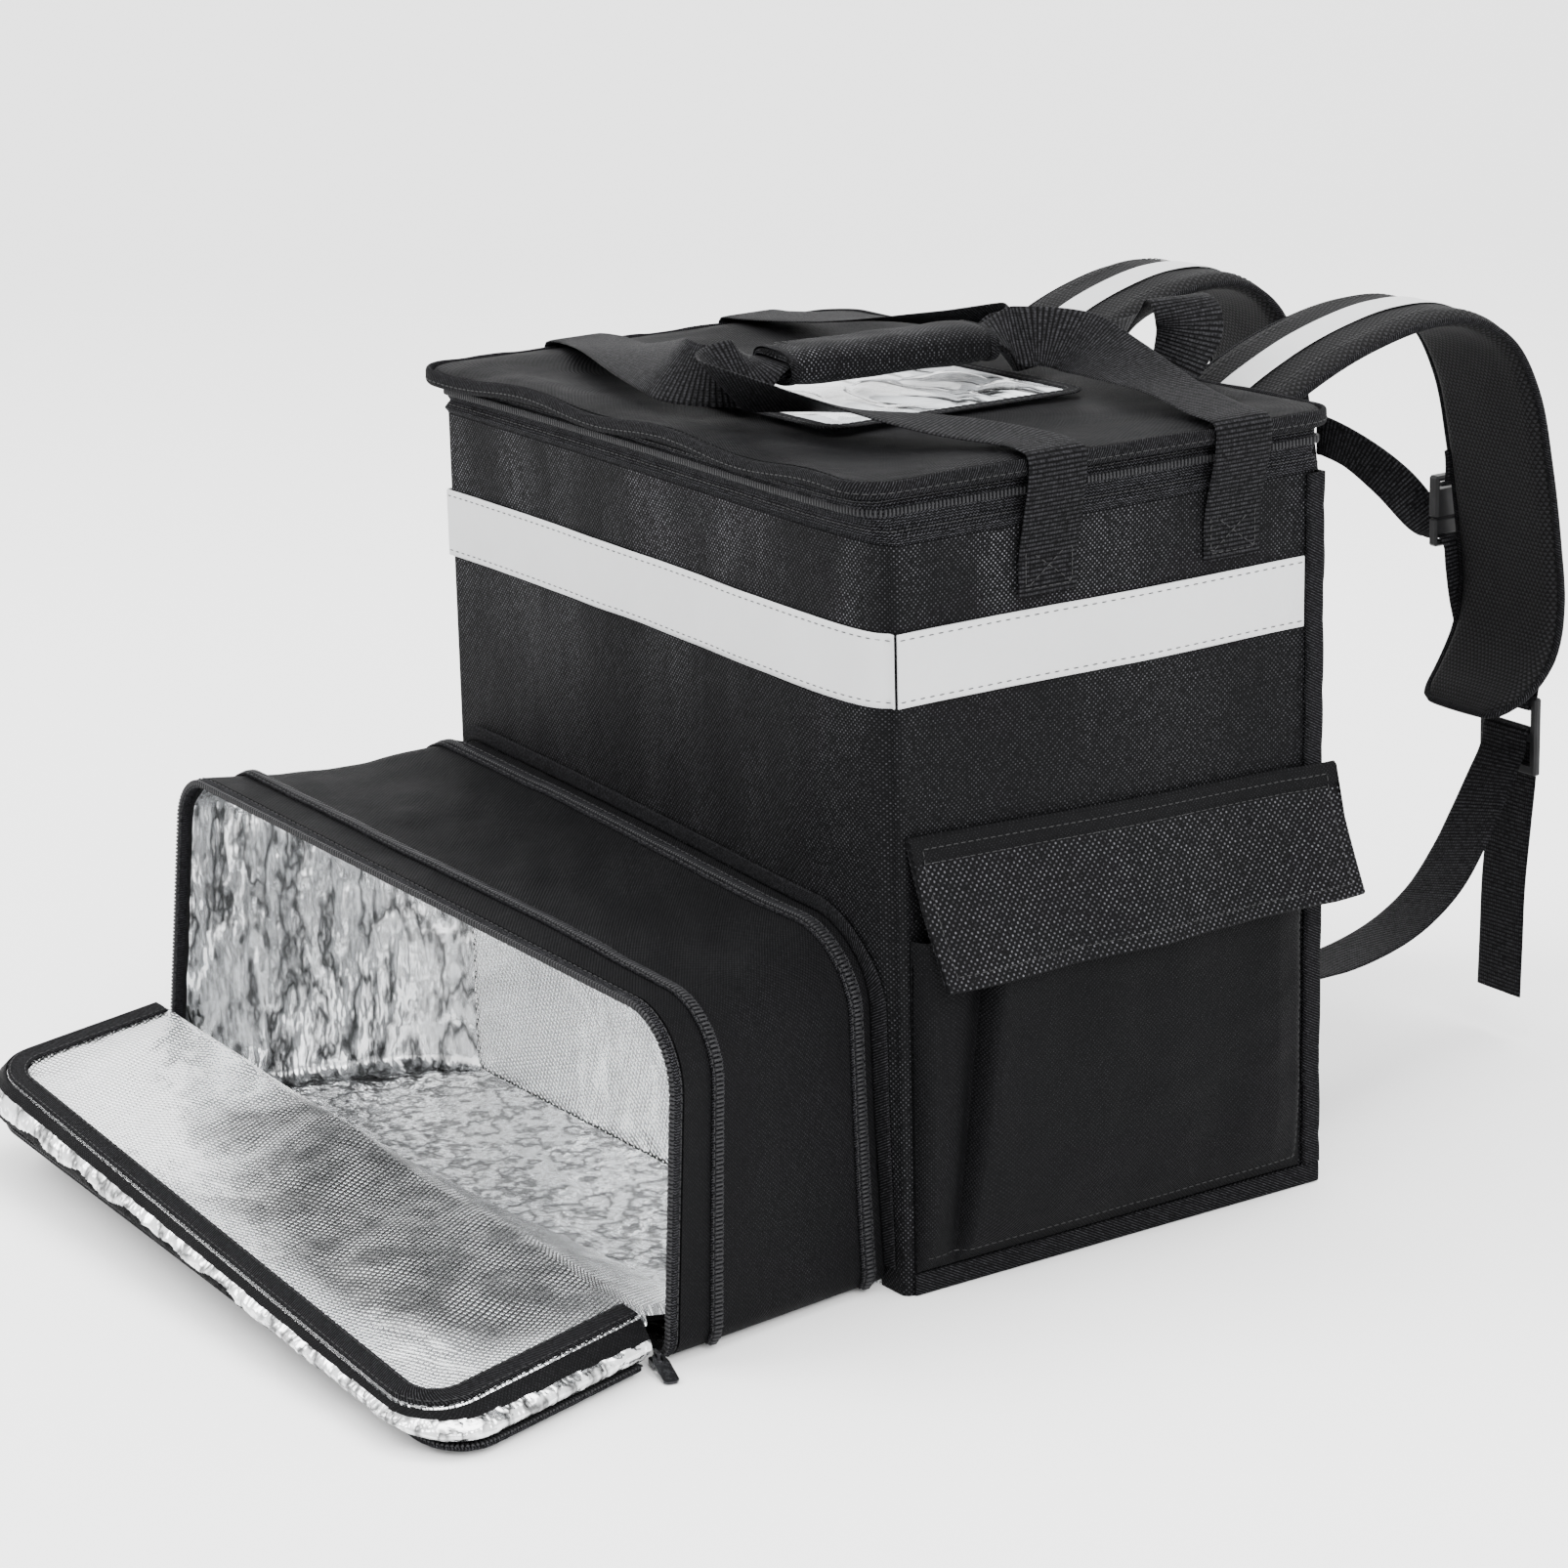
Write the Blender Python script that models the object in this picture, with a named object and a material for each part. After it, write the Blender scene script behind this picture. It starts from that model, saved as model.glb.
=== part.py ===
"""Insulated delivery backpack with its front food compartment unzipped.

Metres, +Z up. The main compartment is centred on the origin, with its base on z = 0. The front,
with the food compartment, faces -Y, and the shoulder straps hang behind the back at +Y.
"""
import math

import bmesh
import bpy
import numpy as np

# Clearances between pieces that touch on the real pack
GAP = 0.0004
LAY = 0.0006

# Main compartment
BODY_WIDTH = 0.445
BODY_DEPTH = 0.280
BODY_HEIGHT = 0.406
BODY_WALL = 0.008
BODY_CORNER = 0.005
FRONT_BULGE = 0.012
SIDE_BULGE = 0.003
BULGE_SKEW = 5.0
BULGE_FULLNESS = 0.4
FRONT_BREAKS = (0.0, 0.2, 0.35, 0.48, 0.59, 0.69, 0.78, 0.86, 0.92, 0.965, 1.0)
SIDE_BREAKS = (0.0, 0.15, 0.32, 0.5, 0.68, 0.85, 1.0)

# How much of the bulge each height has: share of the body's height, share of the bulge
BULGE_ROWS = (
    (0.00, 0.00), (0.09, 0.28), (0.20, 0.56), (0.34, 0.80), (0.54, 0.98), (0.79, 0.98),
    (0.89, 0.76), (0.95, 0.58), (1.00, 0.50),
)

# Lid, its binding and the zip band under it
LID_HEIGHT = 0.4365
LID_RISE_RIGHT = 0.0187
LID_RISE_BACK = -0.007
LID_THICKNESS = 0.008
LID_OVERHANG = 0.0065
LID_CORNER = 0.020
LID_PUFF = 0.0024
LID_PUFF_ROWS = ((1.0, 0.0), (0.96, 0.8), (0.88, 1.0), (0.78, 0.3), (0.30, 0.3))
LID_WAVE = 0.0022
LID_FRONT_PUSH = 0.020
LID_CORNER_PULL = 0.005
BAND_THICKNESS = 0.003
BAND_LEAN = 0.85
BINDING_THICKNESS = 0.003
BINDING_HEIGHT = 0.009

# Clear document window on the lid
WINDOW_WIDTH = 0.186
WINDOW_DEPTH = 0.176
WINDOW_X = 0.012
WINDOW_Y = -0.008
WINDOW_BORDER = 0.010
WINDOW_TAPE = 0.0014
WINDOW_CORNER = 0.016
FILM_THICKNESS = 0.0006

# Reflective bands
STRIPE_TOP = 0.3605
STRIPE_HEIGHT = 0.0385
STRIPE_THICKNESS = 0.0010

# Webbing
WIDE_WEBBING = 0.038
NARROW_WEBBING = 0.025
WEBBING_THICKNESS = 0.0016

# Handles and their grip
HANDLE_END = 0.3685
HANDLE_FRONT_Y = -0.045
HANDLE_BACK_Y = 0.078
GRIP_X = 0.030
GRIP_Y = -0.012
GRIP_Z = 0.4612
GRIP_LENGTH = 0.128
GRIP_WIDTH = 0.046
GRIP_HEIGHT = 0.020
GRIP_ROOM = 0.0092
GRIP_YAW = math.radians(7)
GRIP_STACK = 0.0024
HANDLE_TWIST = 0.020
HANDLE_TURN = 0.0265
HANDLE_BANK = math.radians(49)
HANDLE_DROP = -0.0015

# Grab loop at the top of the back
LOOP_X = 0.043
LOOP_SPREAD = 0.031
LOOP_FOOT = 0.392
LOOP_TOP = 0.474

# Pocket on the right wall and its flap
POCKET_FRONT = -0.1345
POCKET_BACK = 0.1275
POCKET_BOTTOM = 0.0135
POCKET_TOP = 0.196
POCKET_DEPTH = 0.013
POCKET_SLANT = 0.022
POCKET_CLOTH = 0.0018
FLAP_FRONT = -0.1365
FLAP_LENGTH = 0.2855
FLAP_TOP_FRONT = 0.2515
FLAP_TOP_BACK = 0.2425
FLAP_BOTTOM = 0.1745
FLAP_FLARE = 0.026
FLAP_SLANT = 0.006
FLAP_WAVE = 0.0015
FLAP_THICKNESS = 0.0026

# Binding tapes on the body's edges
TAPE_WIDTH = 0.010
TAPE_THICKNESS = 0.0015
BASE_TAPE_HEIGHT = 0.012

# Front compartment: left and right edges, heights and depths at its back and at its mouth
SLEEVE_BACK_LEFT = -0.2215
SLEEVE_BACK_RIGHT = 0.2060
SLEEVE_BACK_HEIGHT_LEFT = 0.2140
SLEEVE_BACK_HEIGHT_RIGHT = 0.2010
SLEEVE_LIFT = 0.0008
SLEEVE_WALL = 0.005
SLEEVE_RIGHT_CORNER = 0.042
SLEEVE_LEFT_CORNER = 0.026
SLEEVE_BOTTOM_CORNER = 0.014
SLEEVE_SAG = 0.004
SLEEVE_LEFT_SPREAD = 0.020
MOUTH_LEFT_TOP = (-0.262, -0.298, 0.2115)
MOUTH_LEFT_BOTTOM = (-0.290, -0.305, 0.0008)
MOUTH_RIGHT_TOP = (0.236, -0.2815, 0.1885)
MOUTH_RIGHT_BOTTOM = (0.223, -0.2835, 0.0008)
SLEEVE_STATIONS = (0.0, 0.05, 0.12, 0.30, 0.55, 0.80, 0.86, 1.0)
ZIP_PROUD = 0.0022
OPENING_ZIP_DEPTH = 0.006
EXPANSION_TAPE_WIDTH = 0.010

# Front panel, folded down: corners of its top face, and of its zip's outer edge
PANEL_HINGE_LEFT = (-0.284, -0.3130, 0.0660)
PANEL_HINGE_RIGHT = (0.209, -0.2920, 0.0260)
PANEL_FRONT_LEFT = (-0.262, -0.4370, 0.0600)
PANEL_FRONT_RIGHT = (0.247, -0.4480, 0.0190)
ZIP_HINGE_LEFT = (-0.294, -0.3145, 0.0350)
ZIP_HINGE_RIGHT = (0.2235, -0.3010, 0.0042)
ZIP_FRONT_LEFT = (-0.270, -0.4370, 0.0290)
ZIP_FRONT_RIGHT = (0.267, -0.4450, 0.0040)
PANEL_THICKNESS = 0.009
PANEL_CORNER = 0.036
PANEL_TONGUE = 0.044
PANEL_TONGUE_INSET_LEFT = 0.034
PANEL_TONGUE_INSET_RIGHT = 0.010
PANEL_TAPE_WIDTH = 0.015
PANEL_TAPE_THICKNESS = 0.0016
GUSSET_THICKNESS = 0.0016
GUSSET_CLEAR = 0.0012
GUSSET_BULGE = 0.009
GUSSET_RUFFLE = 0.0008
PANEL_ZIP_WIDTH = 0.007
PANEL_ZIP_THICKNESS = 0.0028

# Zip slider and its pull tab
SLIDER_X = 0.2200
SLIDER_Y = -0.2952
SLIDER_LENGTH = 0.0085
SLIDER_WIDTH = 0.0070
SLIDER_HEIGHT = 0.0042
SLIDER_LIFT = 0.0008
SLIDER_TURN = math.radians(-14)
BRIDGE_LENGTH = 0.0066
BRIDGE_WIDTH = 0.0018
BRIDGE_BAR = 0.0012
BRIDGE_WINDOW = 0.0030
TAB_LENGTH = 0.024
TAB_WIDTH = 0.0085
TAB_THICKNESS = 0.0014
TAB_EYE_LENGTH = 0.0062
TAB_PIN = 0.0012

# Shoulder straps: the route of the right strap's middle, seen from the side
STRAP_X = 0.090
STRAP_WIDTH = 0.080
STRAP_THICKNESS = 0.010
STRAP_EDGE = 0.004
STRAP_ROUTE = (
    (0.1456, 0.330), (0.1458, 0.358), (0.1570, 0.386), (0.1830, 0.4125), (0.2250, 0.4340),
    (0.2620, 0.4460), (0.3000, 0.4525), (0.3350, 0.4500), (0.3640, 0.4330), (0.3830, 0.4010),
    (0.3940, 0.3570), (0.4020, 0.3100), (0.4060, 0.2700), (0.4010, 0.2430), (0.3860, 0.2220),
    (0.3660, 0.2080),
)
STRAP_REACH_LEFT = 0.885
STRAP_CLOSE = 0.025
STRAP_ROUND_FROM = 0.90
STRAP_TIP = 0.55
STRIPE_FROM = 0.11
STRIPE_TO = 0.72
STRAP_STRIPE_WIDTH = 0.024
STRAP_STRIPE_THICKNESS = 0.0008

# Lower webbing, ladder lock and tail, right side
LOWER_ROUTE = (
    (0.172, 0.1418, 0.152), (0.171, 0.1436, 0.124), (0.168, 0.1570, 0.106),
    (0.162, 0.1920, 0.0995), (0.150, 0.2400, 0.0985), (0.136, 0.2830, 0.1025),
    (0.124, 0.3180, 0.1130), (0.112, 0.3470, 0.1290), (0.104, 0.3680, 0.1470),
    (0.100, 0.3830, 0.1640), (0.099, 0.3915, 0.1760), (0.099, 0.3942, 0.1835),
    (0.099, 0.3946, 0.1895), (0.099, 0.3959, 0.1933), (0.099, 0.3990, 0.1946),
    (0.099, 0.4021, 0.1933), (0.099, 0.4034, 0.1895), (0.099, 0.4034, 0.1800),
    (0.099, 0.4030, 0.1640), (0.099, 0.4000, 0.1350), (0.099, 0.3960, 0.0950),
    (0.100, 0.3940, 0.0600), (0.100, 0.3930, 0.0270),
)
LOCK_X = 0.099
LOCK_Y = 0.3990
LOCK_TOP = 0.2140
LOCK_HEIGHT = 0.0480
LOCK_WIDTH = 0.0490
LOCK_THICKNESS = 0.0050
LOCK_BAR = 0.0055
LOCK_UPPER_SLOT = 0.0165

# Chest strap and its buckle
CHEST_X = 0.0370
CHEST_Y = 0.4050
BUCKLE_TOP = 0.3360
BUCKLE_WIDTH = 0.0300
BUCKLE_THICKNESS = 0.0085
SOCKET_HEIGHT = 0.0260
PLUG_HEIGHT = 0.0170
BUCKLE_SLOT = 0.0050

COLOURS = {
    "black_cloth": ((0.012, 0.012, 0.013), 0.80, 0.0),
    "black_webbing": ((0.010, 0.010, 0.011), 0.85, 0.0),
    "black_tape": ((0.014, 0.014, 0.015), 0.80, 0.0),
    "zip_black": ((0.010, 0.010, 0.011), 0.45, 0.0),
    "reflective_grey": ((0.62, 0.63, 0.63), 0.40, 0.0),
    "foil": ((0.72, 0.73, 0.74), 0.28, 0.9),
    "clear_film": ((0.85, 0.87, 0.88), 0.12, 0.0),
    "strap_mesh": ((0.010, 0.010, 0.010), 0.90, 0.0),
    "black_plastic": ((0.012, 0.012, 0.013), 0.40, 0.0),
    "dark_metal": ((0.10, 0.10, 0.11), 0.32, 0.9),
}


def clear_scene():
    for item in list(bpy.data.objects):
        bpy.data.objects.remove(item, do_unlink=True)


def material(name):
    """The named Principled material, made once."""
    if name in bpy.data.materials:
        return bpy.data.materials[name]
    colour, roughness, metallic = COLOURS[name]
    made = bpy.data.materials.new(name)
    made.use_nodes = True
    shader = made.node_tree.nodes["Principled BSDF"]
    shader.inputs["Base Color"].default_value = (*colour, 1.0)
    shader.inputs["Roughness"].default_value = roughness
    shader.inputs["Metallic"].default_value = metallic
    return made


def add_object(name, bm, colour):
    """Close a bmesh into a named object with outward faces."""
    bmesh.ops.recalc_face_normals(bm, faces=bm.faces)
    mesh = bpy.data.meshes.new(name)
    bm.to_mesh(mesh)
    bm.free()
    mesh.materials.append(material(colour))
    mesh.shade_smooth()
    mesh.set_sharp_from_angle(angle=math.radians(35))
    item = bpy.data.objects.new(name, mesh)
    bpy.context.scene.collection.objects.link(item)
    return item


def ring_solid(name, rings, colour, closed=False, strap=False):
    """Bridge loops of equal length into one body, capped at both ends or joined in a circle.

    A strap's two broad faces are cut along the same diagonals, so that they twist alike.
    """
    bm = bmesh.new()
    loops = [[bm.verts.new(point) for point in ring] for ring in rings]
    pairs = list(zip(loops[:-1], loops[1:]))
    if closed:
        pairs.append((loops[-1], loops[0]))
    for one, two in pairs:
        for i in range(len(one)):
            j = (i + 1) % len(one)
            if strap and i in (0, 2):
                first, last = ((i, j), (j, i))[i == 2]
                bm.faces.new((one[i], one[j], two[last]))
                bm.faces.new((one[first], two[j], two[i]))
            else:
                bm.faces.new((one[i], one[j], two[j], two[i]))
    if not closed:
        bm.faces.new(loops[0])
        bm.faces.new(loops[-1])
    return add_object(name, bm, colour)


def sheet_solid(name, near, far, colour):
    """A cloth sheet between two grids of points with the same rows and columns."""
    bm = bmesh.new()
    rows, columns = near.shape[:2]
    low = [[bm.verts.new(near[i, j]) for j in range(columns)] for i in range(rows)]
    high = [[bm.verts.new(far[i, j]) for j in range(columns)] for i in range(rows)]
    for i in range(rows - 1):
        for j in range(columns - 1):
            bm.faces.new((low[i][j], low[i][j + 1], low[i + 1][j + 1], low[i + 1][j]))
            bm.faces.new((high[i][j], high[i + 1][j], high[i + 1][j + 1], high[i][j + 1]))
    rim = [(0, j) for j in range(columns)]
    rim += [(i, columns - 1) for i in range(1, rows)]
    rim += [(rows - 1, j) for j in range(columns - 2, -1, -1)]
    rim += [(i, 0) for i in range(rows - 2, 0, -1)]
    for (a, b), (c, d) in zip(rim, rim[1:] + rim[:1]):
        bm.faces.new((low[a][b], high[a][b], high[c][d], low[c][d]))
    return add_object(name, bm, colour)


def plan_prism(name, outline, bottom, top, colour):
    """A plan outline extruded from one height to another."""
    bm = bmesh.new()
    face = bm.faces.new([bm.verts.new((x, y, bottom)) for x, y in outline])
    grown = bmesh.ops.extrude_face_region(bm, geom=[face])
    lifted = [part for part in grown["geom"] if isinstance(part, bmesh.types.BMVert)]
    bmesh.ops.translate(bm, verts=lifted, vec=(0, 0, top - bottom))
    return add_object(name, bm, colour)


def unit(vectors):
    return vectors / np.linalg.norm(vectors, axis=-1, keepdims=True)


def smooth_path(rows, fine=20):
    """Close points of a centripetal curve through the rows; extra columns go along."""
    rows = np.asarray(rows, float)
    ends = np.vstack([2 * rows[0] - rows[1], rows, 2 * rows[-1] - rows[-2]])
    gaps = np.linalg.norm(np.diff(ends[:, :3], axis=0), axis=1) ** 0.5
    t = np.linspace(0, 1, fine, endpoint=False)[:, None]
    pieces = []
    for i in range(1, len(rows)):
        a, b, c, d = ends[i - 1: i + 3]
        before, here, after = gaps[i - 1: i + 2]
        leave = here * ((b - a) / before - (c - a) / (before + here) + (c - b) / here)
        arrive = here * ((c - b) / here - (d - b) / (here + after) + (d - c) / after)
        cubic = 2 * (b - c) + leave + arrive
        square = 3 * (c - b) - 2 * leave - arrive
        pieces.append(b + leave * t + square * t ** 2 + cubic * t ** 3)
    return np.vstack(pieces + [rows[-1:]])


def spline(rows, reach=0.022, turn=16.0):
    """Points of the curve through the rows, closer together where it bends or twists."""
    path = smooth_path(rows)
    steps = np.diff(path[:, :3], axis=0)
    length = np.linalg.norm(steps, axis=1)
    cost = length / reach
    for vectors in (steps, path[:-1, 3:6]):
        if vectors.shape[1] == 3:
            facing = unit(vectors)
            cosine = np.sum(facing[1:] * facing[:-1], axis=1).clip(-1, 1)
            cost[1:] += np.degrees(np.arccos(cosine)) / turn
    run = np.concatenate([[0.0], np.cumsum(cost)])
    wanted = np.linspace(0, run[-1], int(math.ceil(run[-1])) + 1)
    return np.stack([np.interp(wanted, run, column) for column in path.T], axis=1)


def frames(centre, across):
    """Unit directions along a path, across it and out of its face."""
    steps = unit(np.diff(centre, axis=0))
    along = unit(np.vstack([steps[:1], steps[1:] + steps[:-1], steps[-1:]]))
    across = across - np.sum(across * along, axis=1, keepdims=True) * along
    across = unit(across)
    return along, across, np.cross(along, across)


def strip_rings(centre, across, normal, width, thickness):
    """Rectangular sections of a strap; the width may change along it."""
    half = np.broadcast_to(np.asarray(width) / 2, len(centre))[:, None]
    side = across * half
    up = normal * (thickness / 2)
    corners = (-side - up, side - up, side + up, -side + up)
    return np.stack([centre + corner for corner in corners], axis=1)


def strap_between(name, rows, width, thickness, colour):
    """A flat strap along rows of x, y, z and the direction of its width."""
    points = spline(rows)
    centre = points[:, :3]
    along, across, normal = frames(centre, points[:, 3:6])
    rings = strip_rings(centre, across, normal, width, thickness)
    return ring_solid(name, rings, colour, strap=True)


def mirrored(rows, side):
    """Rows of x, y, z taken to the side whose sign is given."""
    rows = np.array(rows, float)
    rows[:, 0] *= side
    return rows


def bulge_share(height):
    table = np.array(BULGE_ROWS)
    return np.interp(np.asarray(height) / BODY_HEIGHT, table[:, 0], table[:, 1])


def front_shape(share):
    """The front wall's bulge along its width, fullest near its right end."""
    breaks = np.array(FRONT_BREAKS)
    full = np.sin(math.pi * breaks ** BULGE_SKEW).clip(0) ** BULGE_FULLNESS
    full[-1] = 0.0
    return np.interp(share, breaks, full)


def side_shape(share):
    breaks = np.array(SIDE_BREAKS)
    return np.interp(share, breaks, np.sin(math.pi * breaks) ** 2)


def wall_breaks(face):
    return np.array(FRONT_BREAKS if face == "front" else SIDE_BREAKS)


def wall(face, share, height, out=0.0, inset_corner=BODY_CORNER):
    """A point on one of the body's walls: share along it, height, distance out of it."""
    share, height, out = np.broadcast_arrays(share, height, out)
    wide = face in ("front", "back")
    half_along = (BODY_WIDTH if wide else BODY_DEPTH) / 2 - inset_corner
    half_out = (BODY_DEPTH if wide else BODY_WIDTH) / 2
    along = half_along * (2 * share - 1)
    if face == "front":
        away = half_out + out + FRONT_BULGE * front_shape(share) * bulge_share(height)
        return np.stack([along, -away, height], axis=-1)
    if face == "back":
        return np.stack([-along, half_out + out, height], axis=-1)
    away = half_out + out + SIDE_BULGE * side_shape(share) * bulge_share(height)
    if face == "right":
        return np.stack([away, along, height], axis=-1)
    return np.stack([-away, -along, height], axis=-1)


def body_ring(height, inset=0.0):
    """The loop round the main compartment at one height."""
    corner = max(BODY_CORNER, inset + BODY_CORNER / 5)
    radius = (corner - inset) / math.sqrt(2)
    loop = []
    turns = {"front": (1, -1), "right": (1, 1), "back": (-1, 1), "left": (-1, -1)}
    for face, (right, back) in turns.items():
        breaks = wall_breaks(face)
        loop.extend(wall(face, breaks, height, -inset, corner))
        x = right * (BODY_WIDTH / 2 - corner + radius)
        y = back * (BODY_DEPTH / 2 - corner + radius)
        loop.append(np.array([x, y, height]))
    return np.array(loop)


def heights_between(bottom, top):
    """The two heights and the bulge table's breaks between them."""
    rows = np.array(BULGE_ROWS)[:, 0] * BODY_HEIGHT
    inside = rows[(rows > bottom + GAP) & (rows < top - GAP)]
    return np.concatenate([[bottom], inside, [top]])


def shares_between(face, first, last):
    breaks = wall_breaks(face)
    inside = breaks[(breaks > first) & (breaks < last)]
    return np.concatenate([[first], inside, [last]])


def main_body():
    """Padded walls and floor, hollow, open at the top."""
    outer = [body_ring(share * BODY_HEIGHT) for share, _ in BULGE_ROWS]
    inner_heights = (BODY_HEIGHT, 0.85 * BODY_HEIGHT, 0.50 * BODY_HEIGHT, BODY_WALL)
    inner = [body_ring(height, BODY_WALL) for height in inner_heights]
    ring_solid("main_body", outer + inner, "black_cloth")


def rounded_rectangle(half_x, half_y, radius, per_side=6, per_corner=3):
    """Points round a rectangle with round corners, starting at its front right corner."""
    arcs = []
    for number, (right, back) in enumerate(((1, -1), (1, 1), (-1, 1), (-1, -1))):
        centre = np.array([right * (half_x - radius), back * (half_y - radius)])
        start = (number - 1) * math.pi / 2
        angles = np.linspace(start, start + math.pi / 2, per_corner + 1)
        arcs.append(centre + radius * np.stack([np.cos(angles), np.sin(angles)], axis=1))
    points = []
    for number, arc in enumerate(arcs):
        points.extend(arc)
        target = arcs[(number + 1) % 4][0]
        for share in np.linspace(0, 1, per_side + 1)[1:-1]:
            points.append(arc[-1] + (target - arc[-1]) * share)
    return np.array(points)


def lid_half():
    return BODY_WIDTH / 2 + LID_OVERHANG, BODY_DEPTH / 2 + LID_OVERHANG


def lid_plane(x, y):
    return LID_HEIGHT + LID_RISE_RIGHT * x + LID_RISE_BACK * y


def lid_ring(share, out, up, waved=1.0):
    """A loop of the lid: share of its size, distance out of its edge, height off its plane."""
    half_x, half_y = lid_half()
    flat = rounded_rectangle(half_x + out, half_y + out, LID_CORNER + out) * share
    x, y = flat[:, 0], flat[:, 1]
    frontness = np.clip(-y / half_y, 0, 1)
    leftness = np.clip(-x / half_x, 0, 1)
    pushed = LID_FRONT_PUSH * ((1 + x / half_x).clip(0, 2) / 2) ** 1.5 * frontness ** 2
    pulled = LID_CORNER_PULL * leftness ** 6 * frontness ** 6
    wave = waved * LID_WAVE * np.clip(frontness - 0.8, 0, 0.2) * 5 * np.sin(3 * math.pi * x / half_x)
    place_x, place_y = x - pulled, y - pushed - pulled
    return np.stack([place_x, place_y, lid_plane(place_x, place_y) + wave + up], axis=1)


def lid():
    """Padded lid: puffed margin, flat middle, front lip pushed out at its right end."""
    rings = [lid_ring(share, 0, -LID_THICKNESS, 0) for share in (0.30, 1.0)]
    rings += [lid_ring(share, 0, LID_PUFF * puff) for share, puff in LID_PUFF_ROWS]
    ring_solid("lid", rings, "black_cloth")


def lid_binding():
    """The bound flange round the lid's edge."""
    near, far = GAP, GAP + BINDING_THICKNESS
    low, high = -LID_THICKNESS, BINDING_HEIGHT - LID_THICKNESS
    rings = [lid_ring(1, out, up) for out, up in ((near, low), (far, low), (far, high), (near, high))]
    ring_solid("lid_binding", rings, "black_tape", closed=True)


def lid_zip_band():
    """The ribbed band and closed zip between the walls' top and the lid."""
    half_x, half_y = lid_half()
    rings = []
    for inset, top in ((0, 0), (0, 1), (BAND_THICKNESS, 1), (BAND_THICKNESS, 0)):
        loop = body_ring(BODY_HEIGHT, inset)
        if top:
            frontness = np.clip(-loop[:, 1] / half_y, 0, 1) ** 2
            rightness = ((1 + loop[:, 0] / half_x) / 2) ** 1.5
            loop[:, 1] -= LID_FRONT_PUSH * rightness * frontness * BAND_LEAN
            loop[:, 2] = lid_plane(loop[:, 0], loop[:, 1]) - LID_THICKNESS - LAY
        else:
            loop[:, 2] = BODY_HEIGHT + GAP
        rings.append(loop)
    ring_solid("lid_zip_band", rings, "zip_black", closed=True)


def window_ring(inset, high):
    """A loop of the document window at a height off the lid's flat middle."""
    half_x, half_y = WINDOW_WIDTH / 2 - inset, WINDOW_DEPTH / 2 - inset
    flat = rounded_rectangle(half_x, half_y, WINDOW_CORNER - inset, 1, 3)
    x, y = flat[:, 0] + WINDOW_X, flat[:, 1] + WINDOW_Y
    return np.stack([x, y, lid_plane(x, y) + LID_PUFF * 0.3 + LAY + high], axis=1)


def window():
    """Clear document pocket on the lid with its narrow binding."""
    tape = ((0, 0), (0, WINDOW_TAPE), (WINDOW_BORDER, WINDOW_TAPE), (WINDOW_BORDER, 0))
    rings = [window_ring(inset, high) for inset, high in tape]
    ring_solid("window_frame", rings, "black_tape", closed=True)
    inset = WINDOW_BORDER + GAP
    rings = [window_ring(inset, 0), window_ring(inset, FILM_THICKNESS)]
    ring_solid("window_film", rings, "clear_film")


def wall_sheet(name, face, shares, heights, out, thickness, colour):
    """A thin piece that lies on one wall of the body."""
    s, z = np.meshgrid(shares, heights, indexing="ij")
    near = wall(face, s, z, out)
    far = wall(face, s, z, out + thickness)
    return sheet_solid(name, near, far, colour)


def back_tape_share():
    """Where the back edge's tape begins, as a share of a side wall's length."""
    along = BODY_DEPTH - 2 * BODY_CORNER
    return 1 - (TAPE_WIDTH + GAP - BODY_CORNER) / along


def stripes():
    heights = heights_between(STRIPE_TOP - STRIPE_HEIGHT, STRIPE_TOP)
    whole = shares_between("front", 0.0, 1.0)
    wall_sheet("stripe_front", "front", whole, heights, LAY, STRIPE_THICKNESS, "reflective_grey")
    end = back_tape_share()
    right = shares_between("right", 0.0, end)
    left = shares_between("left", 1 - end, 1.0)
    wall_sheet("stripe_right", "right", right, heights, LAY, STRIPE_THICKNESS, "reflective_grey")
    wall_sheet("stripe_left", "left", left, heights, LAY, STRIPE_THICKNESS, "reflective_grey")


def body_tapes():
    """Binding tapes on both back edges and round three sides of the base."""
    x = BODY_WIDTH / 2 + LAY
    y = BODY_DEPTH / 2 + LAY
    t, w = TAPE_THICKNESS, TAPE_WIDTH
    edge = [(x, y - w), (x + t, y - w), (x + t, y + t), (x - w, y + t), (x - w, y), (x, y)]
    top = BODY_HEIGHT - GAP
    bottom = BASE_TAPE_HEIGHT + GAP
    plan_prism("back_tape_right", edge, bottom, top, "black_tape")
    plan_prism("back_tape_left", [(-a, b) for a, b in edge], bottom, top, "black_tape")
    front = -BODY_DEPTH / 2 + BODY_CORNER
    base = [(x, front), (x + t, front), (x + t, y + t), (-x - t, y + t), (-x - t, front)]
    base += [(-x, front), (-x, y), (x, y)]
    plan_prism("base_tape", base, GAP, BASE_TAPE_HEIGHT, "black_tape")


def side_out(y, height, side_width):
    """How far the right wall stands out under a piece of the given width."""
    along = BODY_DEPTH - 2 * BODY_CORNER
    shares = (np.array([y - side_width / 2, y, y + side_width / 2]) + along / 2) / along
    return BODY_WIDTH / 2 + SIDE_BULGE * max(side_shape(shares)) * float(bulge_share(height))


def grip_point(along, across, up):
    """A point given along the grip's axis, across it and up."""
    sine, cosine = math.sin(GRIP_YAW), math.cos(GRIP_YAW)
    x = GRIP_X + along * sine + across * cosine
    y = GRIP_Y + along * cosine - across * sine
    return x, y, GRIP_Z + up


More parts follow.
